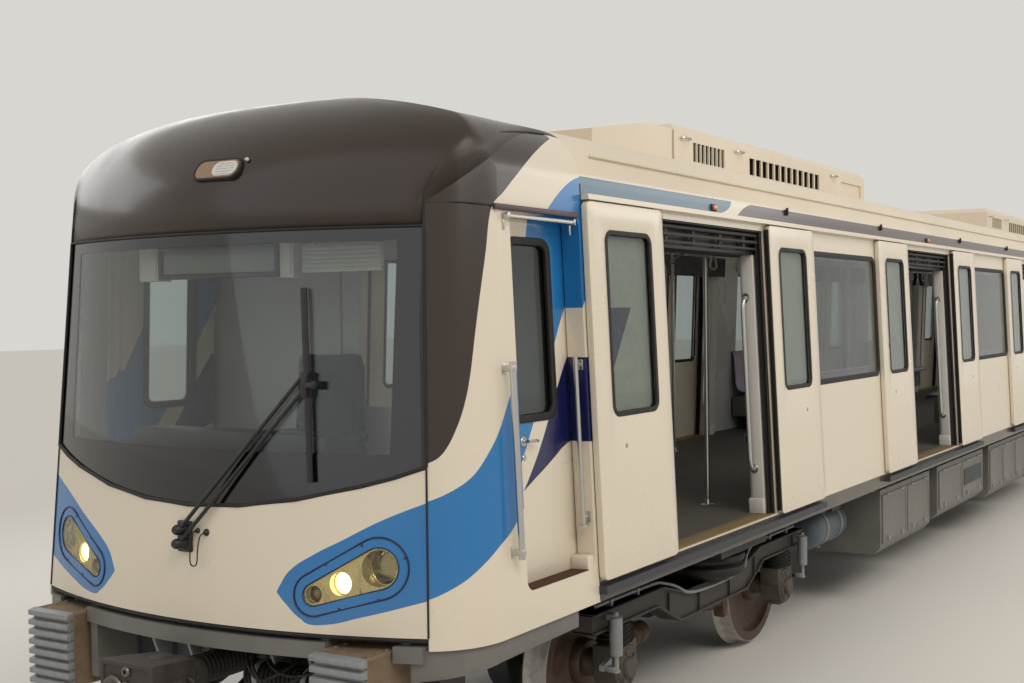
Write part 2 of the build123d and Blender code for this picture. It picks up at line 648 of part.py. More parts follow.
def make_motors(x):
    """Two traction motors with gear cases round the axles."""
    motors = []
    for side in (1, -1):
        motor = rod((MOTOR_X, MOTOR_Y[0], AXLE_Z), (MOTOR_X, MOTOR_Y[1], AXLE_Z), MOTOR_RADIUS)
        arm = box((TRANSOM_HALF, MOTOR_X), (MOTOR_Y[0] + 60, MOTOR_Y[1] - 60), (TRANSOM_Z[0] + 20, AXLE_Z + MOTOR_RADIUS - 20))
        case = rod((WHEELBASE / 2, GEARCASE_Y[0], AXLE_Z), (WHEELBASE / 2, GEARCASE_Y[1], AXLE_Z), GEARCASE_RADIUS)
        neck = box((MOTOR_X, WHEELBASE / 2), GEARCASE_Y, (AXLE_Z - 150, AXLE_Z + 150))
        nose = rod((MOTOR_X, GEARCASE_Y[0], AXLE_Z), (MOTOR_X, GEARCASE_Y[1], AXLE_Z), 150)
        link = rod((MOTOR_X, MOTOR_Y[1] - 5, AXLE_Z), (MOTOR_X, GEARCASE_Y[0] + 5, AXLE_Z), 100)
        bore = rod((WHEELBASE / 2, 0, AXLE_Z), (WHEELBASE / 2, 900, AXLE_Z), AXLE_RADIUS + CLEAR)
        unit = motor + arm + case + neck + nose + link - bore
        if side < 0:
            unit = Rot(0, 0, 180) * unit
        motors.append(Pos(x, 0, 0) * unit)
    return motors


def make_wheelset(x):
    """One axle with its two flanged wheels."""
    back = BACK_TO_BACK / 2
    tread = WHEEL_RADIUS
    flange = tread + FLANGE_DEPTH
    hub = 125.0
    rim = tread - RIM_DEPTH
    mid = back + RIM_WIDTH / 2
    end = JOURNAL_Y + BOX_WIDTH / 2 - 5
    half = [
        (0, 0), (AXLE_RADIUS, 0), (AXLE_RADIUS, back - 20), (hub, back - 20), (hub, mid - WEB / 2),
        (rim, mid - WEB / 2), (rim, back), (flange - 8, back), (flange, back + 10), (flange - 6, back + 22),
        (tread, back + FLANGE_WIDTH + 8), (tread - 4, back + RIM_WIDTH), (rim, back + RIM_WIDTH),
        (rim, mid + WEB / 2), (hub, mid + WEB / 2), (hub, back + RIM_WIDTH + 20), (AXLE_RADIUS, back + RIM_WIDTH + 20),
        (JOURNAL_RADIUS, JOURNAL_Y - BOX_WIDTH / 2 - 10), (JOURNAL_RADIUS, end), (0, end),
    ]
    profile = Plane.XY * make_face(Polyline(*half, close=True))
    solid = revolve(profile, axis=Axis.Y)
    solid = solid + mirror(solid, about=Plane.XZ)
    return Pos(x, 0, AXLE_Z) * solid


def make_leaf(x0, x1):
    """Sliding door leaf on the left side: panel, pane, hangers and a guide shoe."""
    out = LEAF_STANDOFF + LEAF_THICKNESS
    panel = side_box((x0, x1), (LEAF_BOTTOM, LEAF_TOP), (LEAF_STANDOFF, out), 30)
    mid = (x0 + x1) / 2
    half = LEAF_WINDOW_WIDTH / 2
    hole = side_box((mid - half, mid + half), (WINDOW_BOTTOM, WINDOW_TOP), (0, out + 5), WINDOW_CORNER)
    panel = panel - hole
    centre = LEAF_STANDOFF + LEAF_THICKNESS / 2
    depth = (centre - HANGER_THICKNESS / 2, centre + HANGER_THICKNESS / 2)
    for x in (x0 + 150, x1 - 150):
        panel = panel + side_box((x - HANGER_WIDTH / 2, x + HANGER_WIDTH / 2), (LEAF_TOP - 5, TRACK_Z - SEAT), depth)
        panel = panel + side_box((x - HANGER_WIDTH / 2, x + HANGER_WIDTH / 2), (SILL_TOP + SEAT, LEAF_BOTTOM + 5), depth)
    span = (mid - half + SEAT, mid + half - SEAT)
    pane_depth = (centre - GLASS / 2, centre + GLASS / 2)
    pane = side_box(span, (WINDOW_BOTTOM + SEAT, WINDOW_TOP - SEAT), pane_depth, WINDOW_CORNER - SEAT)
    return [panel, pane]


def make_tracks():
    """Door track cover along the cantrail of the left side."""
    rear = DOOR_X[-1] - DOORWAY_WIDTH / 2 - LEAF_WIDTH - 60
    return side_box((rear, SEAM_X), (TRACK_Z, TRACK_Z + TRACK_HEIGHT), (0, TRACK_DEPTH))


def make_sills():
    """Bottom guide rails of the four doorways of the left side."""
    sills = []
    reach = DOORWAY_WIDTH / 2 + LEAF_WIDTH
    for x in DOOR_X:
        sills.append(side_box((x - reach, x + reach), (SILL_TOP - SILL_HEIGHT, SILL_TOP), (0, TRACK_DEPTH)))
    return sills


def make_roof_unit(x, length):
    """Air-conditioning pod with chamfered edges and barred recesses in its sides."""
    base = roof_z(UNIT_HALF_WIDTH) - 40
    unit = box((x - length / 2, x + length / 2), (-UNIT_HALF_WIDTH, UNIT_HALF_WIDTH), (base, UNIT_TOP))
    edges = unit.faces().sort_by(Axis.Z)[-1].edges()
    unit = chamfer(edges, UNIT_CHAMFER)
    for x0, x1, z0, z1, count, bar, depth in UNIT_PANELS:
        pitch = (x1 - x0 + bar) / count
        for side in (1, -1):
            y = sorted((side * (UNIT_HALF_WIDTH - depth), side * (UNIT_HALF_WIDTH + 5)))
            for i in range(count):
                start = x + x0 + i * pitch
                unit = unit - box((start, start + pitch - bar), y, (z0, z1))
    roof = extrude(Pos(x - length, 0, 0) * body_section(0, SOLE_Z), amount=2 * length, dir=(1, 0, 0))
    return unit - roof


def make_fairing():
    """Sloping fairing on the roof before the front unit."""
    tip, knee, back = FAIRING
    foot = roof_z(FAIRING_HALF) - 40
    face = make_face(Polyline(tip, knee, back, (back[0], foot), (tip[0], foot), close=True))
    fairing = extrude(Plane.XZ * face, amount=FAIRING_HALF, both=True)
    roof = extrude(Pos(back[0] - 50, 0, 0) * body_section(0, SOLE_Z), amount=tip[0] - back[0] + 100, dir=(1, 0, 0))
    return fairing - roof


def make_boxes():
    """Equipment cases hung on the cross bearers."""
    cases = []
    for x0, x1, y0, y1, z0 in BOXES:
        case = box((x0, x1), (y0, y1), (z0, BEARER_Z))
        cases.append(chamfer(case.faces().sort_by(Axis.Z)[0].edges().filter_by(Axis.X), 60))
    return cases


def make_bench(x, length):
    """Longitudinal bench against the left wall: seat pan and leaning back."""
    seat_z = FLOOR_Z + SEAT_HEIGHT
    back_z = FLOOR_Z + SEAT_BACK
    wall_low = skin_y(FLOOR_Z + 200, WALL + SEAT)
    wall_high = skin_y(back_z, WALL + SEAT)
    front = wall_low - SEAT_DEPTH
    points = [
        (wall_low, FLOOR_Z + 200), (wall_high, back_z), (wall_high - 60, back_z),
        (wall_low - 130, seat_z), (front, seat_z), (front, seat_z - 70), (wall_low - 120, FLOOR_Z + 200),
    ]
    face = Plane.YZ * make_face(Polyline(*points, close=True))
    return extrude(Pos(x - length / 2, 0, 0) * face, amount=length, dir=(1, 0, 0))


def make_poles():
    """Vertical grab poles beside the doorways, floor to ceiling."""
    poles = []
    for x in DOOR_X:
        for dx in (-DOORWAY_WIDTH / 2 - 130, DOORWAY_WIDTH / 2 + 130):
            for side in (1, -1):
                y = side * POLE_Y
                top = roof_z(POLE_Y + POLE_RADIUS, WALL) - SEAT
                poles.append(rod((x + dx, y, FLOOR_Z), (x + dx, y, top), POLE_RADIUS))
    return poles


def make_partition():
    """Wall between saloon and cab with its doorway and the fixed hinge knuckles."""
    x0, x1 = PARTITION_X
    section = body_section(WALL + SEAT, FLOOR_Z)
    wall = extrude(Pos(x0, 0, 0) * section, amount=x1 - x0, dir=(1, 0, 0))
    wall = wall - box((x0 - 5, x1 + 5), PARTITION_DOOR_Y, (FLOOR_Z - 5, PARTITION_DOOR_TOP))
    y = PARTITION_DOOR_Y[1]
    for z in HINGE_Z:
        for dz in (-1, 1):
            low = z + dz * (KNUCKLE + SEAT)
            wall = wall + rod((x0 - 14, y, low), (x0 - 14, y, low + KNUCKLE), KNUCKLE_RADIUS)
            wall = wall + box((x0 - 18, x0), (y + 4, y + 16), (low, low + KNUCKLE))
    return wall


def make_partition_door():
    """Hinged door in the partition, with a window and its own hinge knuckles."""
    x = (PARTITION_X[0], PARTITION_X[0] + PARTITION_DOOR_THICKNESS)
    y = (PARTITION_DOOR_Y[0] + CLEAR, PARTITION_DOOR_Y[1] - CLEAR)
    door = box(x, y, (FLOOR_Z + CLEAR, PARTITION_DOOR_TOP - CLEAR))
    door = door - box((x[0] - 5, x[1] + 5), (y[0] + 120, y[1] - 120), (FLOOR_Z + 800, FLOOR_Z + 1600))
    hinge = PARTITION_DOOR_Y[1]
    for z in HINGE_Z:
        door = door + rod((x[0] - 14, hinge, z), (x[0] - 14, hinge, z + KNUCKLE), KNUCKLE_RADIUS)
        door = door + box((x[0] - 18, x[0] + 5), (hinge - 20, hinge - CLEAR), (z, z + KNUCKLE))
    return door


def make_desk(cab_inner):
    """Driver's desk across the front of the cab."""
    x0, x1 = DESK_X
    points = [(x0, FLOOR_Z), (x1, FLOOR_Z), (x1 + 80, DESK_TOP), (x0 + 120, DESK_TOP), (x0 - 20, DESK_TOP - 90), (x0 - 20, DESK_TOP - 150)]
    face = make_face(Polyline(*points, close=True))
    prism = extrude(Plane.XZ * face, amount=1100, both=True)
    return prism & cab_inner


def make_driver_seat():
    """Driver's seat: foot, column, cushion and back."""
    x, y = 8600.0, -200.0
    foot = rod((x, y, FLOOR_Z), (x, y, FLOOR_Z + 25), 170)
    column = rod((x, y, FLOOR_Z), (x, y, FLOOR_Z + 430), 50)
    cushion = box((x - 230, x + 240), (y - 230, y + 230), (FLOOR_Z + 420, FLOOR_Z + 520))
    back = box((x - 250, x - 160), (y - 220, y + 220), (FLOOR_Z + 430, FLOOR_Z + 1080))
    cushion = fillet(cushion.edges().filter_by(Axis.Z), 60)
    back = fillet(back.edges().filter_by(Axis.X), 60)
    return foot + column + cushion + back


def make_cab_door():
    """Inward-opening cab door of the left side, with its pane and hinge lugs."""
    x = (CAB_DOOR_X[0] - CAB_DOOR_LAP, CAB_DOOR_X[1] + CAB_DOOR_LAP)
    z = (CAB_DOOR_Z[0] - CAB_DOOR_LAP, CAB_DOOR_Z[1] + CAB_DOOR_LAP)
    face = -CAB_DOOR_RECESS - CLEAR
    depth = (face - CAB_DOOR_THICKNESS, face)
    door = side_box(x, z, depth, 60)
    hole = side_box(CAB_WINDOW_X, CAB_WINDOW_Z, (depth[0] - 5, depth[1] + 5), WINDOW_CORNER)
    pane_x = (CAB_WINDOW_X[0] + SEAT, CAB_WINDOW_X[1] - SEAT)
    pane_z = (CAB_WINDOW_Z[0] + SEAT, CAB_WINDOW_Z[1] - SEAT)
    pane = side_box(pane_x, pane_z, (depth[0] + 9, depth[1] - 9), WINDOW_CORNER - SEAT)
    door = door - hole
    for height in HINGE_Z:
        door = door + hinge_knuckle(height, False)
    return [door, pane]


def hinge_knuckle(z, fixed):
    """Knuckle on the cab door's hinge line at height z, with its plate to jamb or door."""
    plane = side_plane(HINGE_X)
    low = (z - KNUCKLE / 2 - WIDTH_Z) / math.cos(LEAN)
    ends = [plane.from_local_coords((0, v, HINGE_OFFSET)) for v in (low, low + KNUCKLE)]
    if fixed:
        reach, depth = CLEAR, (HINGE_OFFSET, -CAB_DOOR_RECESS)
    else:
        reach, depth = KNUCKLE_RADIUS + 10, (HINGE_OFFSET - 4, HINGE_OFFSET + 4)
    plate = side_box((HINGE_X, HINGE_X + reach), (z - KNUCKLE / 2, z + KNUCKLE / 2), depth)
    return rod(ends[0], ends[1], KNUCKLE_RADIUS) + plate


def make_cab_rails():
    """Handrails of the left cab door: one on the skin before it, one in the mouth of its recess."""
    front = side_rod(FRONT_RAIL_X, RAIL_Z[0], FRONT_RAIL_OFFSET, RAIL_RADIUS)
    plane = side_plane(REAR_RAIL_X)
    low, high = [(z - WIDTH_Z) / math.cos(LEAN) for z in RAIL_Z[1]]
    ends = [plane.from_local_coords((0, v, REAR_RAIL_OFFSET)) for v in (low, high)]
    rear = rod(ends[0], ends[1], REAR_RAIL_RADIUS)
    reach = REAR_RAIL_X - CAB_DOOR_X[0] - SEAT
    for v in (low + 40, high - 40):
        foot = [plane.from_local_coords((u, v, REAR_RAIL_OFFSET)) for u in (reach, 0)]
        rear = rear + rod(foot[0], foot[1], REAR_RAIL_RADIUS - 2)
    return [front, rear]


def make_wiper():
    """Wiper at rest: a spindle on the front panel, two parallel arms and an upright blade."""
    blade_low = Vector(front_x(WIPER_LOW[0], WIPER_LOW[1]) + WIPER_BLADE + SEAT, *WIPER_LOW)
    blade_high = Vector(front_x(WIPER_HIGH[0], WIPER_HIGH[1]) + WIPER_BLADE + SEAT, *WIPER_HIGH)
    wiper = rod(blade_low, blade_high, WIPER_BLADE)
    for spindle_z, along in ((WIPER_BASE_Z, 0.5), (WIPER_BASE_Z + WIPER_ARM_GAP, 0.5 + WIPER_ARM_GAP / 838.0)):
        x = front_x(0, spindle_z)
        start = x + SEAT + 20 * math.tan(RAKE)
        wiper = wiper + rod((start, 0, spindle_z), (x + 60, 0, spindle_z), 20)
        wiper = wiper + rod((x + 50, 0, spindle_z), blade_low + (blade_high - blade_low) * along, 9)
    return wiper


def save(name, shape):
    """Write one node to its STEP file."""
    if isinstance(shape, (list, tuple)):
        shape = Compound(children=list(shape))
    export_step(shape, "parts/" + name + ".step")


def both_sides(shapes):
    """Left-side solids and their mirror images."""
    return list(shapes) + [other_side(s) for s in shapes]


def main():
    os.makedirs("parts", exist_ok=True)
    cab, cab_inner = make_cab()
    for name, shape in cab.items():
        save(name, shape)
    tube = body_tube()
    wall = make_side_wall(tube)
    save("side_wall_left", wall)
    save("side_wall_right", other_side(wall))
    save("saloon_windows", both_sides(make_side_glass()))
    save("roof_shell", make_roof(tube))
    save("rear_end_wall", make_rear_wall())
    save("gangway", make_gangway())
    save("underframe", make_underframe(cab_inner))
    save("coupler_front", make_front_coupler())
    save("coupler_rear", make_rear_coupler())
    save("anti_climbers", make_anti_climbers())
    save("front_valance", make_valance())
    save("roof_units", [make_roof_unit(x, length) for x, length in ROOF_UNITS] + [make_fairing()])
    save("underfloor_boxes", make_boxes())
    save("benches", both_sides([make_bench(x, length) for x, length in BENCHES]))
    save("grab_poles", make_poles())
    save("cab_partition", make_partition())
    save("partition_door", make_partition_door())
    save("cab_desk", make_desk(cab_inner))
    save("driver_seat", make_driver_seat())
    door = make_cab_door()
    save("cab_door_left", door)
    save("cab_door_right", [other_side(s) for s in door])
    save("cab_handrails", both_sides(make_cab_rails()))
    save("windscreen_wiper", make_wiper())
    save("door_tracks", both_sides([make_tracks()]))
    save("door_sills", both_sides(make_sills()))
    for name, x in (("front", BOGIE_X), ("rear", -BOGIE_X)):
        save("bogie_frame_" + name, make_bogie_frame(x))
        save("axleboxes_" + name, make_axleboxes(x))
        save("springs_" + name, make_springs(x))
        save("motors_" + name, make_motors(x))
    for i, x in enumerate((BOGIE_X, -BOGIE_X)):
        for j, dx in enumerate((WHEELBASE / 2, -WHEELBASE / 2)):
            save("wheelset_" + str(2 * i + j + 1), make_wheelset(x + dx))
    half = DOORWAY_WIDTH / 2
    for i, x in enumerate(DOOR_X):
        number = str(i + 1)
        save("leaf_left_" + number + "_front", make_leaf(x + half, x + half + LEAF_WIDTH))
        save("leaf_left_" + number + "_rear", make_leaf(x - half - LEAF_WIDTH, x - half))
        gap = LEAF_MEETING_GAP / 2
        front = make_leaf(x + gap, x + gap + LEAF_WIDTH)
        rear = make_leaf(x - gap - LEAF_WIDTH, x - gap)
        save("leaf_right_" + number + "_front", [other_side(s) for s in front])
        save("leaf_right_" + number + "_rear", [other_side(s) for s in rear])


main()
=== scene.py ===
import logging
import math
from dataclasses import dataclass
from enum import Enum
from typing import Callable, Iterable, Sequence

import bmesh
import bpy
from mathutils import Matrix, Vector


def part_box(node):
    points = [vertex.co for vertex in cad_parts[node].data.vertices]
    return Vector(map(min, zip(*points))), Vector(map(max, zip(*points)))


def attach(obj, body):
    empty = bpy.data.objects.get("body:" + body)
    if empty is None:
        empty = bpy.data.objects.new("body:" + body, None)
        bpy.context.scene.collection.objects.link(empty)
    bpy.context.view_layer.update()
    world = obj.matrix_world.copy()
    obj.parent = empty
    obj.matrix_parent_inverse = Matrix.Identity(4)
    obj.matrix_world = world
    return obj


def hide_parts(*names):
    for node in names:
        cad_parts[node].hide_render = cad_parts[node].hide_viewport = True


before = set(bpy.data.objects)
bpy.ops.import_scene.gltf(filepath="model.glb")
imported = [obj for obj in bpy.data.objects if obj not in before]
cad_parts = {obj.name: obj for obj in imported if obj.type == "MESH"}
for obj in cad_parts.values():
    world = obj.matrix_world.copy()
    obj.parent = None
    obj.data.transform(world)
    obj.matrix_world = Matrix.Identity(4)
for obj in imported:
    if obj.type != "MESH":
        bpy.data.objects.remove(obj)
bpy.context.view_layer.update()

# The looks of a metro driving car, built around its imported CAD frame, in metres.
# The side of the car leans in; the nose is a raked cone around an upright axis.
LEAN = math.radians(2.6)
HALF_WIDTH = 1.400
WIDTH_Z = 1.040
SOLE_Z = 1.020
REAR_X = -9.485
SEAM_X = 8.255
FLOOR_Z = 1.128
NOSE_X = 9.560
NOSE_RADIUS = 3.550
RAKE = math.radians(4.1)
CORNER_RADIUS = 0.330
DOOR_X = (6.770, 2.370, -2.030, -6.430)
DOORWAY_WIDTH = 1.422
LEAF_WIDTH = 0.784
LEAF_Z = (1.122, 2.975)
WINDOW_Z = (1.910, 2.838)
SIDE_WINDOWS = ((4.570, 1.390), (0.170, 1.390), (-4.230, 1.390), (-8.560, 0.900))
BOGIE_X = 6.300
AXLE_X = 1.150
AXLE_Z = 0.453
BENCH_PLACES = ((4.570, 1.640), (0.170, 1.640), (-4.230, 1.640), (-8.560, 1.000))
CASES = (
    (2.300, 3.700, 0.640, 1.300, 0.430), (0.350, 2.050, 0.560, 1.300, 0.470),
    (-1.750, 0.100, 0.560, 1.300, 0.400), (-3.900, -2.000, 0.640, 1.300, 0.450),
    (1.500, 3.500, -1.300, -0.600, 0.400), (-0.900, 1.200, -1.300, -0.560, 0.450),
    (-3.200, -1.200, -1.300, -0.640, 0.430))
LAMPS = ((0.993, 1.358, 0.078), (0.822, 1.287, 0.050), (0.699, 1.235, 0.038))
MM = 0.001

log = logging.getLogger("metro_car")
Point = tuple[float, float, float]
Pair = tuple[float, float]
Obj = bpy.types.Object
Tree = bpy.types.NodeTree
Socket = bpy.types.NodeSocket


# ---- Places on the car -------------------------------------------------------------

def skin_y(z: float, inset: float = 0.0) -> float:
    """Half width of the leaning side.

    Args:
        z: Height.
        inset: Distance inside the outer skin.

    Returns:
        The half width at that height.
    """
    return HALF_WIDTH - (z - WIDTH_Z) * math.tan(LEAN) - inset / math.cos(LEAN)


def lean_v(z: float) -> float:
    """Distance up the leaning side at height z."""
    return (z - WIDTH_Z) / math.cos(LEAN)


def nose_front(y: float, z: float, inset: float = 0.0) -> float:
    """Front of the car on the raked nose cone.

    Args:
        y: Distance from the centre line.
        z: Height.
        inset: Distance inside the outer skin.

    Returns:
        The x of the surface there.
    """
    centre = NOSE_X - NOSE_RADIUS
    radius = NOSE_X - (z - SOLE_Z) * math.tan(RAKE) - inset / math.cos(RAKE) - centre
    return centre + math.sqrt(radius * radius - y * y)


def on_front(y: float, z: float, out: float = 0.0) -> Point:
    """Point on the curved front, or a little out of it."""
    return (nose_front(y, z, -out), y, z)


class Side(Enum):
    """The two long sides of the car."""

    LEFT = 1
    RIGHT = -1

    @property
    def word(self) -> str:
        """Name of the side, as the CAD nodes spell it."""
        return self.name.lower()

    def place(self) -> Matrix:
        """Turn (along the car, up the lean, out of the skin) into the car's frame."""
        s, c = math.sin(LEAN), math.cos(LEAN)
        rows = (
            (1.0, 0.0, 0.0, 0.0),
            (0.0, -self.value * s, self.value * c, self.value * HALF_WIDTH),
            (0.0, c, s, WIDTH_Z),
            (0.0, 0.0, 0.0, 1.0),
        )
        return Matrix(rows)


# ---- Modelling by hand: operators on one object at a time ---------------------------

def deselect() -> None:
    """Leave edit mode and deselect every object."""
    if bpy.context.object and bpy.context.object.mode != "OBJECT":
        bpy.ops.object.mode_set(mode="OBJECT")
    bpy.ops.object.select_all(action="DESELECT")


def activate(obj: Obj) -> None:
    """Make obj the only selected object."""
    deselect()
    obj.select_set(True)
    bpy.context.view_layer.objects.active = obj


def primitive(operator: Callable, name: str, **settings) -> Obj:
    """Add a primitive at its size and place, and settle that into its mesh.

    Args:
        operator: The Blender operator that adds it.
        name: Name for the object and mesh.
        settings: The operator's own settings.

    Returns:
        The new object, at the origin, unturned and unscaled.
    """
    size = settings.pop("scale", (1.0, 1.0, 1.0))
    deselect()
    operator(**settings)
    obj = bpy.context.active_object
    obj.name = obj.data.name = name
    obj.scale = size
    bpy.ops.object.transform_apply(location=True, rotation=True, scale=True)
    return obj


def block(name: str, low: Sequence[float], high: Sequence[float]) -> Obj:
    """Box between two corners, as a start for a shape."""
    centre = [(a + b) / 2 for a, b in zip(low, high)]
    size = [b - a for a, b in zip(low, high)]
    return primitive(bpy.ops.mesh.primitive_cube_add, name, size=1.0, location=centre, scale=size)


def rod(name: str, start: Point, end: Point, radius: float, sides: int = 16) -> Obj:
    """Round bar between two points, as a start for a shape."""
    a, b = Vector(start), Vector(end)
    turn = (b - a).to_track_quat("Z", "Y").to_euler()
    return primitive(
        bpy.ops.mesh.primitive_cylinder_add, name, vertices=sides, radius=radius,
        depth=(b - a).length, location=(a + b) / 2, rotation=turn,
    )


def edit(obj: Obj, kind: str = "FACE") -> None:
    """Enter edit mode on obj with nothing selected."""
    activate(obj)
    bpy.ops.object.mode_set(mode="EDIT")
    bpy.ops.mesh.select_mode(type=kind)
    bpy.ops.mesh.select_all(action="DESELECT")


def done() -> None:
    """Leave edit mode."""
    bpy.ops.object.mode_set(mode="OBJECT")


def pick_faces(obj: Obj, test: Callable[[Vector, Vector], bool]) -> int:
    """Select the faces that pass a test on their centre and normal, in edit mode.

    Args:
        obj: Object in edit mode.
        test: Takes a face's centre and normal.

    Returns:
        How many faces are selected.
    """
    mesh = bmesh.from_edit_mesh(obj.data)
    mesh.normal_update()
    count = 0
    for face in mesh.faces:
        chosen = test(face.calc_center_median(), face.normal)
        face.select_set(chosen)
        count += chosen
    mesh.select_flush_mode()
    bmesh.update_edit_mesh(obj.data)
    return count


def pick_edges(obj: Obj, test: Callable[[Vector, Vector], bool]) -> int:
    """Select the edges that pass a test on their middle and direction, in edit mode.

    Args:
        obj: Object in edit mode.
        test: Takes an edge's middle and unit direction.

    Returns:
        How many edges are selected.
    """
    mesh = bmesh.from_edit_mesh(obj.data)
    count = 0
    for edge in mesh.edges:
        a, b = (v.co for v in edge.verts)
        chosen = test((a + b) / 2, (b - a).normalized())
        edge.select_set(chosen)
        count += chosen
    mesh.select_flush_mode()
    bmesh.update_edit_mesh(obj.data)
    return count


def push(offset: Sequence[float]) -> None:
    """Extrude the selected faces by an offset."""
    bpy.ops.mesh.extrude_region_move(TRANSFORM_OT_translate={"value": tuple(offset)})


def outward(obj: Obj) -> Obj:
    """Merge doubles and point every face outwards."""
    activate(obj)
    bpy.ops.object.mode_set(mode="EDIT")
    bpy.ops.mesh.select_all(action="SELECT")
    bpy.ops.mesh.remove_doubles(threshold=1e-5)
    bpy.ops.mesh.normals_make_consistent(inside=False)
    done()
    return obj


def soften(obj: Obj, width: float, segments: int = 2, angle: float = 35.0) -> Obj:
    """Round the sharp edges of obj with an applied bevel.

    Args:
        obj: Object to round.
        width: Width of the bevel.
        segments: Steps in the bevel.
        angle: Edges sharper than this many degrees are rounded.

    Returns:
        The same object.
    """
    activate(obj)
    bevel = obj.modifiers.new("round", "BEVEL")
    bevel.width = width
    bevel.segments = segments
    bevel.limit_method = "ANGLE"
    bevel.angle_limit = math.radians(angle)
    bevel.harden_normals = False
    bpy.ops.object.modifier_apply(modifier=bevel.name)
    return obj


def sink(obj: Obj, test: Callable[[Vector, Vector], bool], rim: float, value: Point) -> None:
    """Inset the picked faces by a rim and extrude them by a vector.

    Args:
        obj: Object to work on.
        test: Which faces, by centre and normal.
        rim: Width of the rim that stays.
        value: How far and where the inner faces go.
    """
    edit(obj)
    pick_faces(obj, test)
    bpy.ops.mesh.inset(thickness=rim, depth=0.0)
    push(value)
    done()


def round_edges(obj: Obj, test: Callable[[Vector, Vector], bool], radius: float, steps: int) -> None:
    """Round the picked edges.

    Args:
        obj: Object to work on.
        test: Which edges, by centre and direction.
        radius: Width of the rounding.
        steps: Its segments.
    """
    edit(obj, "EDGE")
    pick_edges(obj, test)
    bpy.ops.mesh.bevel(offset=radius, segments=steps, affect="EDGES")
    done()


def solid(obj: Obj, thickness: float, offset: float) -> None:
    """Give a sheet its thickness, on one side or the other of it."""
    activate(obj)
    thick = obj.modifiers.new("thick", "SOLIDIFY")
    thick.thickness = thickness
    thick.offset = offset
    bpy.ops.object.modifier_apply(modifier="thick")
    outward(obj)


def copy_to(obj: Obj, name: str, place: Matrix) -> Obj:
    """Copy an object with its own mesh and move the mesh.

    Args:
        obj: What is copied.
        name: Name of the copy.
        place: Move of the mesh; one that mirrors has its faces turned back.

    Returns:
        The copy.
    """
    twin = obj.copy()
    twin.data = obj.data.copy()
    twin.name = twin.data.name = name
    bpy.context.scene.collection.objects.link(twin)
    move(twin, place)
    return twin


def move(obj: Obj, place: Matrix) -> Obj:
    """Move the mesh of obj; a move that mirrors has its faces turned back."""
    obj.data.transform(place)
    if place.determinant() < 0:
        obj.data.flip_normals()
    obj.data.update()
    return obj


def bend_to(obj: Obj, rule: Callable[[Vector], Vector]) -> Obj:
    """Lay the mesh of obj on a curved surface, point by point."""
    for vertex in obj.data.vertices:
        vertex.co = rule(vertex.co)
    obj.data.update()
    return obj


def join(name: str, parts: Iterable[Obj]) -> Obj:
    """Join objects into one, under one name."""
    parts = list(parts)
    deselect()
    for part in parts:
        part.select_set(True)
    bpy.context.view_layer.objects.active = parts[0]
    if len(parts) > 1:
        bpy.ops.object.join()
    parts[0].name = parts[0].data.name = name
    return parts[0]


def shift(x: float = 0.0, y: float = 0.0, z: float = 0.0) -> Matrix:
    """Matrix that moves by an offset."""
    return Matrix.Translation((x, y, z))


def mirror_y() -> Matrix:
    """Matrix that mirrors the car's left onto its right."""
    return Matrix.Diagonal((1.0, -1.0, 1.0, 1.0))


def sheet(name: str, size: Pair, corner: float, centre: Pair = (0.0, 0.0), steps: int = 6) -> Obj:
    """Flat rounded rectangle in the XY plane.

    Args:
        name: Name of the object.
        size: Width and height.
        corner: Corner radius.
        centre: Middle of the sheet.
        steps: Segments in each corner.

    Returns:
        An object of one face.
    """
    obj = primitive(
        bpy.ops.mesh.primitive_plane_add, name, size=1.0,
        location=(centre[0], centre[1], 0.0), scale=(size[0], size[1], 1.0),
    )
    deselect()
    activate(obj)
    bpy.ops.object.mode_set(mode="EDIT")
    bpy.ops.mesh.select_mode(type="VERT")
    bpy.ops.mesh.select_all(action="SELECT")
    bpy.ops.mesh.bevel(offset=corner, segments=steps, affect="VERTICES")
    done()
    return obj


def fill(obj: Obj, level: Pair) -> Obj:
    """Make the flat object in edit mode a solid between two levels of Z."""
    bpy.ops.mesh.select_all(action="SELECT")
    bpy.ops.transform.translate(value=(0.0, 0.0, level[0]))
    push((0.0, 0.0, level[1] - level[0]))
    done()
    return outward(obj)


def plate(
    name: str, size: Pair, corner: float, level: Pair, centre: Pair = (0.0, 0.0), steps: int = 6,
) -> Obj:
    """Rounded plate between two levels of Z."""
    obj = sheet(name, size, corner, centre, steps)
    edit(obj)
    return fill(obj, level)


def ring(
    name: str, outer: Pair, outer_corner: float, inner: Pair, inner_corner: float, level: Pair,
    centre: Pair = (0.0, 0.0), hole: Pair = (0.0, 0.0), steps: int = 6,
) -> Obj:
    """Rounded plate with a rounded hole: two outlines bridged and extruded.

    Args:
        name: Name of the object.
        outer: Width and height of the plate.
        outer_corner: Its corner radius.
        inner: Width and height of the hole.
        inner_corner: Its corner radius.
        level: Lower and upper Z.
        centre: Middle of the plate.
        hole: Middle of the hole.
        steps: Segments in each corner.

    Returns:
        The closed frame.
    """
    a = sheet(name + "_outer", outer, outer_corner, centre, steps)
    b = sheet(name + "_inner", inner, inner_corner, hole, steps)
    obj = join(name, (a, b))
    activate(obj)
    bpy.ops.object.mode_set(mode="EDIT")
    bpy.ops.mesh.select_mode(type="EDGE")
    bpy.ops.mesh.select_all(action="SELECT")
    bpy.ops.mesh.delete(type="ONLY_FACE")
    bpy.ops.mesh.select_all(action="SELECT")
    bpy.ops.mesh.bridge_edge_loops()
    return fill(obj, level)


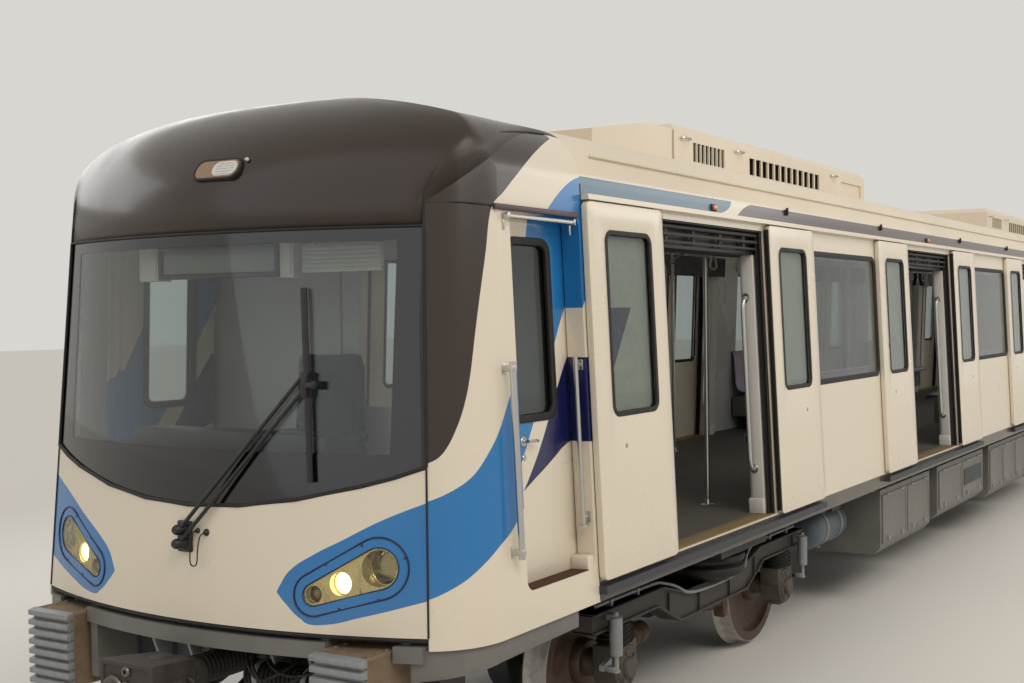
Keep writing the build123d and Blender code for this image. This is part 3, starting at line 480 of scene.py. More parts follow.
def line_of(name: str, points: Sequence[Point], smooth: bool = True, steps: int = 8) -> Obj:
    """Bare curve along points, linked to the scene.

    Args:
        name: Name of the object.
        points: Where it runs.
        smooth: Whether the run is a smooth curve.
        steps: Divisions between points.

    Returns:
        The curve object.
    """
    curve = bpy.data.curves.new(name, "CURVE")
    curve.dimensions = "3D"
    curve.resolution_u = steps
    spline = curve.splines.new("NURBS" if smooth else "POLY")
    spline.points.add(len(points) - 1)
    for target, point in zip(spline.points, points):
        target.co = (*point, 1.0)
    if smooth:
        spline.order_u = 3
        spline.use_endpoint_u = True
    obj = bpy.data.objects.new(name, curve)
    bpy.context.scene.collection.objects.link(obj)
    return obj


def thicken(curve: bpy.types.Curve, radius: float, sides: int = 3) -> None:
    """Give a curve a round section with closed ends."""
    curve.bevel_depth = radius
    curve.bevel_resolution = sides
    curve.use_fill_caps = True


def tube(
    name: str, points: Sequence[Point], radius: float, smooth: bool = True, steps: int = 8, sides: int = 3,
) -> Obj:
    """Round tube along points, made a mesh with closed ends.

    Args:
        name: Name of the object.
        points: Where it runs.
        radius: Tube radius.
        smooth: Whether the run is a smooth curve.
        steps: Divisions between points.
        sides: Roundness of its section.

    Returns:
        The mesh object.
    """
    obj = line_of(name, points, smooth, steps)
    thicken(obj.data, radius, sides)
    activate(obj)
    bpy.ops.object.convert(target="MESH")
    return outward(bpy.context.active_object)


def bead(name: str, points: Sequence[Point], radius: float, sides: int = 2) -> Obj:
    """Thin bead of sealant or rubber that follows measured points closely."""
    return tube(name, points, radius, False, sides=sides)


def slab(name: str, outline: Sequence[Pair], low: float, high: float) -> Obj:
    """Plate cut to an outline in x and z, with its thickness along y.

    Args:
        name: Name of the object.
        outline: Corners in order.
        low: Near face's y.
        high: Far face's y.

    Returns:
        The plate.
    """
    obj = primitive(
        bpy.ops.mesh.primitive_circle_add, name, vertices=len(outline), radius=1.0, fill_type="NGON")
    for vertex, (x, z) in zip(obj.data.vertices, outline):
        vertex.co = (x, low, z)
    edit(obj)
    bpy.ops.mesh.select_all(action="SELECT")
    push((0.0, high - low, 0.0))
    done()
    return outward(obj)


def turned(name: str, profile: Sequence[Pair], axis: Point, centre: Point, steps: int = 32) -> Obj:
    """Turned part: a profile of (radius, distance along the axis) spun all the way round.

    Args:
        name: Name of the object.
        profile: Radius and distance pairs, from one end to the other.
        axis: Direction of the axis.
        centre: Where distance 0 is.
        steps: Steps of the spin.

    Returns:
        The closed turned mesh.
    """
    mesh = bpy.data.meshes.new(name)
    verts = [(r, 0.0, h) for r, h in profile]
    mesh.from_pydata(verts, [(i, i + 1) for i in range(len(verts) - 1)], [])
    obj = bpy.data.objects.new(name, mesh)
    bpy.context.scene.collection.objects.link(obj)
    edit(obj, "EDGE")
    bpy.ops.mesh.select_all(action="SELECT")
    bpy.ops.mesh.spin(steps=steps, angle=2 * math.pi, center=(0, 0, 0), axis=(0, 0, 1))
    done()
    outward(obj)
    turn = Vector(axis).to_track_quat("Z", "Y").to_matrix().to_4x4()
    move(obj, Matrix.Translation(centre) @ turn)
    return obj


# ---- Finishes: real materials, each from the one that the car has -------------------

def colour(code: str) -> tuple[float, float, float, float]:
    """Linear colour of an sRGB hex code such as "DCD0BC"."""
    parts = [int(code[i:i + 2], 16) / 255 for i in (0, 2, 4)]
    linear = [c / 12.92 if c <= 0.04045 else ((c + 0.055) / 1.055) ** 2.4 for c in parts]
    return (linear[0], linear[1], linear[2], 1.0)


def add(
    tree: Tree, kind: str, settings: dict | None = None, inputs: dict | None = None,
) -> bpy.types.Node:
    """Add a node with its settings and links.

    Args:
        tree: Node tree.
        kind: Type of the node.
        settings: Its own properties.
        inputs: Socket name or number to a value or an output socket.

    Returns:
        The new node.
    """
    node = tree.nodes.new(kind)
    for key, value in (settings or {}).items():
        setattr(node, key, value)
    for key, value in (inputs or {}).items():
        if isinstance(value, Socket):
            tree.links.new(value, node.inputs[key])
        else:
            node.inputs[key].default_value = value
    return node


def limit_curve(tree: Tree, source: Socket, points: Sequence[Pair]) -> Socket:
    """Value that follows measured (place, value) pairs, for the edge of a painted area.

    Args:
        tree: Node tree.
        source: The coordinate that the pairs start from.
        points: Pairs of that coordinate and the limit, in rising order.

    Returns:
        The limit as an output socket.
    """
    at = [p[0] for p in points]
    value = [p[1] for p in points]
    low, high = min(value), max(value)
    share = add(tree, "ShaderNodeMapRange", {"clamp": True}, {
        "Value": source, "From Min": at[0], "From Max": at[-1]})
    bend = add(tree, "ShaderNodeFloatCurve", {}, {"Value": share.outputs["Result"]})
    line = bend.mapping.curves[0]
    for i, (a, v) in enumerate(points):
        spot = ((a - at[0]) / (at[-1] - at[0]), (v - low) / (high - low))
        if i == 0:
            line.points[0].location = spot
        elif i == len(points) - 1:
            line.points[-1].location = spot
        else:
            line.points.new(*spot)
    bend.mapping.update()
    back = add(tree, "ShaderNodeMapRange", {"clamp": False}, {
        "Value": bend.outputs["Value"], "To Min": low, "To Max": high})
    return back.outputs["Result"]


def compute(tree: Tree, operation: str, a: object, b: object = 0.0) -> Socket:
    """Result of one sum or comparison on two values or sockets."""
    return add(tree, "ShaderNodeMath", {"operation": operation}, {0: a, 1: b}).outputs[0]


def all_of(tree: Tree, *tests: Socket) -> Socket:
    """Mask that is 1 where every test is 1."""
    result = tests[0]
    for test in tests[1:]:
        result = compute(tree, "MULTIPLY", result, test)
    return result


def paint_over(
    tree: Tree, mask: Socket, below: object, above: object,
) -> Socket:
    """Colour that is above where the mask is 1 and below elsewhere."""
    mix = add(tree, "ShaderNodeMix", {"data_type": "RGBA"}, {0: mask, 6: below, 7: above})
    return mix.outputs[2]


@dataclass(frozen=True)
class Finish:
    """A finish with a colour, the shader's plain numbers, and the marks of its making.

    speckle and speckle_mm shade the colour; grain_mm and relief give the surface its bump;
    stretch draws the grain out along the axes, as brushing does.
    """

    name: str
    base: str
    roughness: float = 0.5
    metallic: float = 0.0
    coat: float = 0.0
    coat_roughness: float = 0.03
    sheen: float = 0.0
    transmission: float = 0.0
    speckle: float = 0.06
    speckle_mm: float = 300.0
    grain_mm: float = 4.0
    relief: float = 0.05
    rough_spread: float = 0.08
    stretch: Point = (1.0, 1.0, 1.0)
    glow: str = ""
    glow_strength: float = 0.0
    crease_mm: float = 0.0

    def pattern(self, tree: Tree, place: Socket, base: object) -> object:
        """Colour before speckle; a finish with painted areas gives its own."""
        return base

    def build(self) -> bpy.types.Material:
        """Make the material, once.

        Returns:
            The material of that name.
        """
        ready = bpy.data.materials.get(self.name)
        if ready:
            return ready
        material = bpy.data.materials.new(self.name)
        material.use_nodes = True
        material.diffuse_color = colour(self.base)
        tree = material.node_tree
        tree.nodes.clear()
        place = add(tree, "ShaderNodeTexCoord").outputs["Object"]
        drawn = add(tree, "ShaderNodeMapping", {}, {"Vector": place, "Scale": self.stretch}).outputs[0]
        patch = add(tree, "ShaderNodeTexNoise", {}, {
            "Vector": drawn, "Scale": 1.0 / (self.speckle_mm * MM), "Detail": 6.0, "Roughness": 0.6})
        grain = add(tree, "ShaderNodeTexNoise", {}, {
            "Vector": drawn, "Scale": 1.0 / (self.grain_mm * MM), "Detail": 2.0})
        tone = add(tree, "ShaderNodeMapRange", {}, {
            "Value": patch.outputs[0], "From Min": 0.3, "From Max": 0.7,
            "To Min": 1.0 - self.speckle, "To Max": 1.0 + self.speckle * 0.5})
        base = self.pattern(tree, place, colour(self.base))
        shade = add(tree, "ShaderNodeMix", {"data_type": "RGBA", "blend_type": "MULTIPLY"}, {
            0: 1.0, 6: base, 7: tone.outputs[0]})
        rough = add(tree, "ShaderNodeMapRange", {}, {
            "Value": patch.outputs[0], "From Min": 0.3, "From Max": 0.7,
            "To Min": max(0.02, self.roughness - self.rough_spread),
            "To Max": min(1.0, self.roughness + self.rough_spread)})
        bump = add(tree, "ShaderNodeBump", {}, {
            "Strength": self.relief, "Distance": self.grain_mm * MM * 0.5, "Height": grain.outputs[0]})
        if self.crease_mm:
            blend = add(tree, "ShaderNodeBevel", {"samples": 8}, {"Radius": self.crease_mm * MM})
            tree.links.new(blend.outputs[0], bump.inputs["Normal"])
        shader = add(tree, "ShaderNodeBsdfPrincipled", {}, {
            "Base Color": shade.outputs[2], "Roughness": rough.outputs[0], "Normal": bump.outputs[0],
            "Metallic": self.metallic, "Coat Weight": self.coat, "Coat Roughness": self.coat_roughness,
            "Sheen Weight": self.sheen, "Transmission Weight": self.transmission})
        if self.glow:
            shader.inputs["Emission Color"].default_value = colour(self.glow)
            shader.inputs["Emission Strength"].default_value = self.glow_strength
        self.cover(tree, place, shader)
        return material

    def cover(self, tree: Tree, place: Socket, shader: bpy.types.Node) -> None:
        """Link the shader to the material's output."""
        add(tree, "ShaderNodeOutputMaterial", {}, {"Surface": shader.outputs[0]})


# Painted edges on the cab's side as height z and the x there: both edges of the blue band, the black corner,
# and both edges of the navy wedge on the door
BAND_FRONT = (
    (1.634, 9.325), (1.645, 9.302), (1.659, 9.281), (1.675, 9.257), (1.694, 9.229), (1.717, 9.197),
    (1.750, 9.159), (1.791, 9.123), (1.832, 9.090), (1.879, 9.052), (1.931, 9.014), (2.027, 8.953),
    (2.150, 8.880), (2.300, 8.800), (2.500, 8.705), (2.650, 8.637), (2.789, 8.590), (2.913, 8.551),
    (2.949, 8.514), (2.978, 8.477), (3.029, 8.403), (3.075, 8.313), (3.092, 8.251), (3.102, 8.189))
BAND_REAR = (
    (1.226, 9.340), (1.251, 9.305), (1.274, 9.272), (1.301, 9.232), (1.337, 9.183), (1.380, 9.125),
    (1.431, 9.051), (1.472, 8.975), (1.550, 8.882), (1.620, 8.812), (1.696, 8.744), (1.756, 8.705),
    (1.842, 8.650), (1.919, 8.600), (2.100, 8.490), (2.275, 8.393), (2.366, 8.343), (2.455, 8.285),
    (3.000, 7.920))
CORNER_EDGE = (
    (1.790, 9.310), (1.802, 9.295), (1.825, 9.270), (1.869, 9.244), (1.932, 9.217), (1.999, 9.192),
    (2.082, 9.167), (2.173, 9.146), (2.365, 9.110), (2.515, 9.079), (2.695, 9.038), (2.877, 8.997),
    (2.909, 8.981), (2.967, 8.903), (3.039, 8.811), (3.080, 8.757), (3.119, 8.701), (3.196, 8.560),
    (3.274, 8.358))
WEDGE_FRONT = (
    (1.611, 8.709), (1.691, 8.639), (1.763, 8.582), (1.837, 8.530), (1.920, 8.477), (2.033, 8.410),
    (2.097, 8.368), (2.153, 8.330), (2.215, 8.285))
WEDGE_LOW = ((1.611, 8.709), (1.656, 8.617), (1.699, 8.523), (1.744, 8.433), (1.787, 8.348), (1.805, 8.285))
# Blue field around the lamps on the front panel: half width y and height z
FIELD_HIGH = (
    (0.519, 1.237), (0.532, 1.262), (0.582, 1.333), (0.690, 1.403), (0.829, 1.473), (0.995, 1.558),
    (1.184, 1.636), (1.300, 1.680))
FIELD_LOW = (
    (0.519, 1.237), (0.569, 1.187), (0.646, 1.128), (0.694, 1.108), (0.738, 1.109), (0.926, 1.151),
    (1.198, 1.226), (1.300, 1.256))
JAMB_X = 8.285
JAMB_SLANT = 0.67
BAND_TOP = 3.100
INNER_SKIN = 0.057
FRIT_Z = (1.835, 2.752)
FRIT_Y = 1.022
SLATE_END = ((2.985, 6.760), (3.009, 6.702), (3.035, 6.596), (3.066, 6.530), (3.100, 6.508))
BRONZE_START = ((2.985, 6.462), (3.008, 6.442), (3.039, 6.391), (3.071, 6.325), (3.100, 6.205))
BLUE = "1F72B0"
NAVY = "14184E"
CREAM = "DDD2BE"
BLACK_GLOSS = "2B1E14"


@dataclass(frozen=True)
class CoachPaint(Finish):
    """Two-pack gloss paint on aluminium panels: smooth, with faint orange peel and dust near the sill."""

    name: str = "two_pack_paint_sprayed_cream"
    base: str = CREAM
    roughness: float = 0.28
    coat: float = 0.35
    coat_roughness: float = 0.12
    speckle: float = 0.02
    speckle_mm: float = 1400.0
    grain_mm: float = 22.0
    relief: float = 0.012
    rough_spread: float = 0.02

    def pattern(self, tree: Tree, place: Socket, base: object) -> object:
        """Dust gathers towards the sill and in faint runs below the windows."""
        split = add(tree, "ShaderNodeSeparateXYZ", {}, {0: place})
        base = self.areas(tree, split, base)
        height = add(tree, "ShaderNodeMapRange", {}, {
            "Value": split.outputs[2], "From Min": 1.45, "From Max": 1.03, "To Max": 0.24})
        runs = add(tree, "ShaderNodeMapping", {}, {"Vector": place, "Scale": (1.0, 1.0, 0.10)}).outputs[0]
        streak = add(tree, "ShaderNodeTexNoise", {}, {"Vector": runs, "Scale": 5.0, "Detail": 2.0})
        dust = all_of(tree, height.outputs[0], height.outputs[0], streak.outputs[0])
        return paint_over(tree, compute(tree, "MULTIPLY", dust, 4.0), base, colour("A09078"))

    def areas(self, tree: Tree, split: bpy.types.Node, base: object) -> object:
        """Painted areas on top of the base colour."""
        return base


@dataclass(frozen=True)
class CabLivery(CoachPaint):
    """The cab's sides and doors: cream with the blue band, the navy wedge and the black corner."""

    name: str = "two_pack_paint_sprayed_cab_side"

    def areas(self, tree: Tree, split: bpy.types.Node, base: object) -> object:
        """Blue band, navy wedge and black corner by their painted edges, level beyond the jamb."""
        x, y, z = split.outputs
        jamb = compute(tree, "LESS_THAN", x, JAMB_X + 0.002)
        door = compute(tree, "SUBTRACT", 1.0, jamb)
        band = all_of(
            tree,
            compute(tree, "LESS_THAN", x, limit_curve(tree, z, BAND_FRONT)),
            compute(tree, "GREATER_THAN", x, limit_curve(tree, z, BAND_REAR)),
            compute(tree, "GREATER_THAN", z, BAND_REAR[0][0]),
            compute(tree, "LESS_THAN", z, BAND_TOP),
            compute(tree, "MAXIMUM", door, compute(tree, "GREATER_THAN", z, 2.455)),
        )
        low = compute(tree, "MULTIPLY", compute(tree, "LESS_THAN", z, BAND_FRONT[0][0]), compute(
            tree, "GREATER_THAN", x, limit_curve(tree, z, BAND_REAR)))
        low = all_of(tree, low, compute(tree, "GREATER_THAN", z, BAND_REAR[0][0]))
        wedge = all_of(
            tree, door,
            compute(tree, "LESS_THAN", x, limit_curve(tree, z, WEDGE_FRONT)),
            compute(tree, "GREATER_THAN", x, compute(
                tree, "SUBTRACT", limit_curve(tree, z, WEDGE_LOW), compute(tree, "GREATER_THAN", z, 1.805))),
            compute(tree, "GREATER_THAN", z, WEDGE_LOW[0][0]),
            compute(tree, "LESS_THAN", z, WEDGE_FRONT[-1][0]),
        )
        return_face = all_of(
            tree, jamb,
            compute(tree, "GREATER_THAN", z, 1.805),
            compute(tree, "LESS_THAN", z, 2.215),
        )
        black = all_of(
            tree,
            compute(tree, "GREATER_THAN", x, limit_curve(tree, z, CORNER_EDGE)),
            compute(tree, "GREATER_THAN", z, CORNER_EDGE[0][0]),
        )
        base = paint_over(tree, compute(tree, "MAXIMUM", band, low), base, colour(BLUE))
        base = paint_over(tree, compute(tree, "MAXIMUM", wedge, return_face), base, colour(NAVY))
        base = paint_over(tree, black, base, colour(BLACK_GLOSS))
        wide = compute(tree, "ABSOLUTE", y)
        skin = compute(tree, "SUBTRACT", HALF_WIDTH - INNER_SKIN, compute(
            tree, "MULTIPLY", compute(tree, "SUBTRACT", z, WIDTH_Z), math.tan(LEAN)))
        inside = all_of(
            tree,
            compute(tree, "LESS_THAN", wide, skin),
            compute(tree, "GREATER_THAN", x, 8.92),
            compute(tree, "LESS_THAN", x, 9.10),
        )
        return paint_over(tree, inside, base, colour("8F9090"))


@dataclass(frozen=True)
class FrontLivery(CoachPaint):
    """The front panel: cream with the blue fields around the lamps."""

    name: str = "two_pack_paint_sprayed_front"
    roughness: float = 0.22

    def areas(self, tree: Tree, split: bpy.types.Node, base: object) -> object:
        """Blue field between its measured upper and lower edges."""
        y = compute(tree, "ABSOLUTE", split.outputs[1])
        z = split.outputs[2]
        field = all_of(
            tree,
            compute(tree, "GREATER_THAN", y, 0.519),
            compute(tree, "LESS_THAN", z, limit_curve(tree, y, FIELD_HIGH)),
            compute(tree, "GREATER_THAN", z, limit_curve(tree, y, FIELD_LOW)),
        )
        return paint_over(tree, field, base, colour(BLUE))


@dataclass(frozen=True)
class WallLivery(CoachPaint):
    """The saloon's sides: cream with the slate band over the first door and the dark sole bar."""

    name: str = "two_pack_paint_sprayed_side"

    def areas(self, tree: Tree, split: bpy.types.Node, base: object) -> object:
        """Slate band, bronze band, the ends of the blue band, the navy painted shadow of the rail behind the
        cab door, and the black sole.
        """
        x, y, z = split.outputs
        in_band = all_of(
            tree, compute(tree, "GREATER_THAN", z, 2.997), compute(tree, "LESS_THAN", z, 3.098))
        tip = limit_curve(tree, z, SLATE_END)
        slate = all_of(tree, in_band, compute(tree, "GREATER_THAN", x, tip))
        start = limit_curve(tree, z, BRONZE_START)
        bronze = all_of(tree, in_band, compute(tree, "LESS_THAN", x, start))
        slant = compute(tree, "ADD", JAMB_X + 2.455 * JAMB_SLANT, compute(tree, "MULTIPLY", z, -JAMB_SLANT))
        blue = all_of(
            tree, compute(tree, "GREATER_THAN", z, 2.455), compute(tree, "LESS_THAN", z, 2.999),
            compute(tree, "GREATER_THAN", x, slant))
        # Slanting navy band on the wall behind the cab door: the rail's painted shadow.
        edge = compute(tree, "ADD", JAMB_X + 2.215 * JAMB_SLANT, compute(tree, "MULTIPLY", z, -JAMB_SLANT))
        foot = compute(tree, "ADD", 3.515, compute(tree, "MULTIPLY", x, -0.206))
        navy = all_of(
            tree,
            compute(tree, "GREATER_THAN", z, foot),
            compute(tree, "LESS_THAN", z, 2.455),
            compute(tree, "GREATER_THAN", x, compute(tree, "SUBTRACT", edge, 0.30)),
            compute(tree, "LESS_THAN", x, edge),
        )
        sole = compute(tree, "LESS_THAN", z, 1.118)
        inner = compute(tree, "LESS_THAN", compute(tree, "ABSOLUTE", y), compute(
            tree, "SUBTRACT", HALF_WIDTH - INNER_SKIN + WIDTH_Z * math.tan(LEAN), compute(
                tree, "MULTIPLY", z, math.tan(LEAN))))
        base = paint_over(tree, slate, base, colour("4C6B80"))
        base = paint_over(tree, bronze, base, colour("4F4142"))
        base = paint_over(tree, blue, base, colour(BLUE))
        # The navy here is the rail's painted shadow.
        base = paint_over(tree, navy, base, colour(NAVY))
        base = paint_over(tree, sole, base, colour("2B2826"))
        return paint_over(tree, inner, base, colour("C9C8C4"))


@dataclass(frozen=True)
class RoofLivery(CoachPaint):
    """The roof and its units: duller, dust-dulled cream, with near-black painted shade behind the bars of the
    units.
    """

    name: str = "two_pack_paint_sprayed_roof"
    base: str = "DACDB6"
    roughness: float = 0.42
    coat: float = 0.1
    speckle: float = 0.08

    def areas(self, tree: Tree, split: bpy.types.Node, base: object) -> object:
        """Painted shade inside the recesses of both units; the outer edges of the bars keep the paint."""
        x, y, z = split.outputs
        wide = compute(tree, "ABSOLUTE", y)
        along = compute(tree, "ABSOLUTE", compute(tree, "SUBTRACT", compute(
            tree, "ABSOLUTE", compute(tree, "SUBTRACT", x, 0.33)), 4.11))
        # Near-black painted shade over the recess behind the bars of each unit.
        recess = all_of(
            tree,
            compute(tree, "LESS_THAN", along, 1.80),
            compute(tree, "GREATER_THAN", wide, 0.755),
            compute(tree, "LESS_THAN", wide, 0.7865),
            compute(tree, "GREATER_THAN", z, 3.4165),
            compute(tree, "LESS_THAN", z, 3.552),
        )
        return paint_over(tree, recess, base, colour("2A1F18"))


@dataclass(frozen=True)
class FrameSteel(Finish):
    """Painted steel of the underframe, with the saloon's dark floor covering on its top."""

    name: str = "painted_steel_underframe_and_vinyl_floor"
    base: str = "34312E"
    roughness: float = 0.6
    speckle: float = 0.18
    speckle_mm: float = 120.0
    grain_mm: float = 3.0
    relief: float = 0.12

    def pattern(self, tree: Tree, place: Socket, base: object) -> object:
        """Floor colour above the floor line, rail dust on the steel below."""
        split = add(tree, "ShaderNodeSeparateXYZ", {}, {0: place})
        floor = compute(tree, "GREATER_THAN", split.outputs[2], 1.12)
        fleck = add(tree, "ShaderNodeTexVoronoi", {}, {"Vector": place, "Scale": 160.0})
        spots = compute(tree, "LESS_THAN", fleck.outputs["Distance"], 0.22)
        vinyl = paint_over(tree, spots, colour("4A4640"), colour("6B655B"))
        return paint_over(tree, floor, base, vinyl)


@dataclass(frozen=True)
class Glazing(Finish):
    """Toughened float glass, body-tinted: clear enough to show the inside, with sharp reflections.

    Shadow rays pass through it, so the inside is lit as it is through real glass.
    """

    name: str = "toughened_glass_grey_tint"
    base: str = "A9B4B4"
    roughness: float = 0.02
    rough_spread: float = 0.01
    transmission: float = 1.0
    speckle: float = 0.02
    relief: float = 0.0
    border: bool = False

    def cover(self, tree: Tree, place: Socket, shader: bpy.types.Node) -> None:
        """Mix in clear passage for shadow rays, and the printed black border where there is one."""
        shader.inputs["IOR"].default_value = 1.45
        rays = add(tree, "ShaderNodeLightPath")
        clear = add(tree, "ShaderNodeBsdfTransparent", {}, {"Color": colour("E2E8E7")})
        share = compute(tree, "MULTIPLY", rays.outputs["Is Shadow Ray"], 0.95)
        surface = add(tree, "ShaderNodeMixShader", {}, {
            0: share, 1: shader.outputs[0], 2: clear.outputs[0]}).outputs[0]
        if self.border:
            surface = self.frit(tree, place, surface)
        add(tree, "ShaderNodeOutputMaterial", {}, {"Surface": surface})

    def frit(
        self, tree: Tree, place: Socket, surface: Socket,
    ) -> Socket:
        """Black ceramic print along the windscreen's edges, with a header band."""
        _, y, z = add(tree, "ShaderNodeSeparateXYZ", {}, {0: place}).outputs
        low = compute(tree, "LESS_THAN", z, FRIT_Z[0])
        high = compute(tree, "GREATER_THAN", z, FRIT_Z[1])
        side = compute(tree, "GREATER_THAN", compute(tree, "ABSOLUTE", y), FRIT_Y)
        mask = compute(tree, "MAXIMUM", compute(tree, "MAXIMUM", low, high), side)
        print_ink = add(tree, "ShaderNodeBsdfPrincipled", {}, {
            "Base Color": colour("0C0C0D"), "Roughness": 0.12, "Coat Weight": 0.5})
        return add(tree, "ShaderNodeMixShader", {}, {0: mask, 1: surface, 2: print_ink.outputs[0]}).outputs[0]


ROOF_PAINT = RoofLivery()
HOOD_PAINT = Finish(
    "two_pack_paint_sprayed_black_gloss", "2B1B0E", roughness=0.2, coat=0.1, speckle=0.06, relief=0.01,
    crease_mm=140.0)
CREAM_PAINT = CoachPaint()
CAB_PAINT = CabLivery()
FRONT_PAINT = FrontLivery()
WALL_PAINT = WallLivery()
FRAME_PAINT = FrameSteel()
GLASS = Glazing()
SCREEN_GLASS = Glazing(name="laminated_glass_clear_with_frit", base="E6EBE9", border=True)
LENS_GLASS = Glazing(name="polycarbonate_clear_moulded", base="E9E6D8", roughness=0.05)
BLACK_RUBBER = Finish(
    "epdm_rubber_extruded", "15130F", roughness=0.62, speckle=0.15, speckle_mm=60.0, grain_mm=1.5, relief=0.1)
BOGIE_STEEL = Finish(
    "painted_steel_welded_with_brake_dust", "3B3632", roughness=0.62, speckle=0.35, speckle_mm=90.0,
    grain_mm=3.0, relief=0.25)
WHEEL_STEEL = Finish(
    "forged_steel_rolled_wheel", "6D625A", roughness=0.42, metallic=0.85, speckle=0.3, speckle_mm=70.0,
    grain_mm=2.0, relief=0.12)
STAINLESS = Finish(
    "stainless_steel_brushed", "C6C4C0", roughness=0.26, metallic=1.0, speckle=0.05, grain_mm=1.5,
    relief=0.04, stretch=(1.0, 1.0, 0.04))
ALUMINIUM = Finish(
    "aluminium_extruded_worn", "A8A49C", roughness=0.42, metallic=0.9, speckle=0.15, speckle_mm=60.0,
    grain_mm=1.2, relief=0.06, stretch=(0.05, 1.0, 1.0))
CASE_GREY = Finish(
    "painted_steel_grey_satin", "6E6C67", roughness=0.5, speckle=0.14, speckle_mm=160.0, grain_mm=3.0,
    relief=0.06)
TRACK_PAINT = Finish(
    "anodised_aluminium_bronze", "54474A", roughness=0.38, metallic=0.35, speckle=0.12, speckle_mm=500.0,
    grain_mm=2.0, relief=0.05, stretch=(0.04, 1.0, 1.0))
BLACK_PLASTIC = Finish(
    "abs_plastic_moulded_black", "1B1B1D", roughness=0.45, speckle=0.06, speckle_mm=120.0, grain_mm=2.0,
    relief=0.03)
LINING = Finish(
    "glass_fibre_laminate_gelcoat_white", "CFCDC6", roughness=0.4, speckle=0.06, speckle_mm=400.0,
    grain_mm=4.0, relief=0.04)
SEAT_SHELL = Finish(
    "polyester_laminate_moulded_lilac", "A79EB4", roughness=0.35, speckle=0.06, speckle_mm=200.0,
    grain_mm=2.0, relief=0.05)
GROOVE_NAVY = Finish("polyurethane_sealant_tooled", "101A3C", roughness=0.5, relief=0.05)
REFLECTOR = Finish(
    "aluminised_reflector", "DAD6C4", roughness=0.1, metallic=1.0, speckle=0.1, speckle_mm=20.0, grain_mm=8.0,
    relief=0.12)
LAMP_PLATE = Finish(
    "polycarbonate_metallised_warm", "CFC08E", roughness=0.28, metallic=0.7, speckle=0.1, speckle_mm=40.0,
    relief=0.04)
AMBER_LENS = Finish(
    "polycarbonate_lens_smoked", "8A6A45", roughness=0.12, coat=0.6, speckle=0.15, speckle_mm=20.0)
OPAL_LENS = Finish(
    "polycarbonate_lens_opal", "D2D1CA", roughness=0.15, coat=0.5, speckle=0.08, speckle_mm=20.0)
THRESHOLD = Finish(
    "aluminium_tread_extruded_worn", "A08A62", roughness=0.45, metallic=0.7, speckle=0.25, speckle_mm=30.0,
    grain_mm=1.5, relief=0.1, stretch=(0.1, 1.0, 1.0))
DIFFUSER = Finish(
    "polycarbonate_diffuser_opal", "F1EFE6", roughness=0.5, speckle=0.03, relief=0.02, glow="FFF7E8",
    glow_strength=0.7)
GREY_PLASTIC = Finish(
    "abs_plastic_moulded_grey", "B4B6B8", roughness=0.42, speckle=0.06, speckle_mm=60.0, grain_mm=1.0,
    relief=0.08)
SEAT_CLOTH = Finish(
    "moquette_wool_woven_dark", "2C3038", roughness=0.9, sheen=0.3, speckle=0.1, speckle_mm=40.0,
    grain_mm=3.0, relief=0.25)
CLIMBER_PAINT = Finish(
    "painted_steel_cast_tan_rust_dusted", "7C6A55", roughness=0.7, speckle=0.3, speckle_mm=80.0, grain_mm=3.0,
    relief=0.2)
GALVANISED = Finish(
    "galvanised_steel_spangled", "8E9192", roughness=0.48, metallic=0.35, speckle=0.15, speckle_mm=45.0,
    grain_mm=3.0, relief=0.06)
CASE_DARK = Finish(
    "painted_steel_dark_satin", "33363A", roughness=0.5, speckle=0.2, speckle_mm=120.0, grain_mm=3.0,
    relief=0.06)
COUPLER_FACE = Finish(
    "cast_steel_machined_greased", "77716A", roughness=0.35, metallic=0.9, speckle=0.25, speckle_mm=40.0,
    grain_mm=2.0, relief=0.1)


@dataclass(frozen=True)
class WheelFinish(Finish):
    """Rolled wheel: rusty brown web and axle, with the tread and flange worn bright by the rail."""

    name: str = "forged_steel_rolled_wheel_worn"
    base: str = "5A4A3E"
    roughness: float = 0.55
    metallic: float = 0.5
    speckle: float = 0.35
    speckle_mm: float = 60.0
    grain_mm: float = 2.0
    relief: float = 0.15

    def pattern(self, tree: Tree, place: Socket, base: object) -> object:
        """Bright ring where the distance from the nearest axle reaches the tread."""
        x, _, z = add(tree, "ShaderNodeSeparateXYZ", {}, {0: place}).outputs
        level = compute(tree, "SUBTRACT", z, AXLE_Z)
        along = compute(tree, "SUBTRACT", compute(tree, "ABSOLUTE", compute(tree, "SUBTRACT", compute(
            tree, "ABSOLUTE", x), BOGIE_X)), AXLE_X)
        reach = compute(tree, "SQRT", compute(
            tree, "ADD", compute(tree, "MULTIPLY", level, level), compute(tree, "MULTIPLY", along, along)))
        bright = add(tree, "ShaderNodeMapRange", {}, {"Value": reach, "From Min": 0.414, "From Max": 0.421})
        return paint_over(tree, bright.outputs[0], base, colour("B5B1AB"))


WHEEL_FINISH = WheelFinish()
AXLEBOX_PAINT = Finish(
    "cast_iron_painted_dusty", "4A443E", roughness=0.6, speckle=0.35, speckle_mm=70.0, grain_mm=2.0,
    relief=0.25)
BRAKE_IRON = Finish(
    "cast_iron_rusty", "5B4636", roughness=0.75, speckle=0.4, speckle_mm=40.0, grain_mm=1.5, relief=0.35)
TANK_PAINT = Finish(
    "painted_steel_tank_grey_blue", "59646C", roughness=0.42, speckle=0.15, speckle_mm=150.0, grain_mm=3.0,
    relief=0.05)
GANGWAY_RUBBER = Finish(
    "coated_fabric_bellows_grey", "3C3D40", roughness=0.7, sheen=0.1, speckle=0.15, speckle_mm=80.0,
    grain_mm=1.5, relief=0.2)
RED_LENS = Finish(
    "acrylic_lens_moulded_red", "A01410", roughness=0.15, coat=0.5, speckle=0.1, speckle_mm=20.0)
DISPLAY_PANE = Finish(
    "acrylic_display_filter", "6F7268", roughness=0.2, coat=0.4, speckle=0.1, speckle_mm=25.0, grain_mm=1.0,
    relief=0.02)
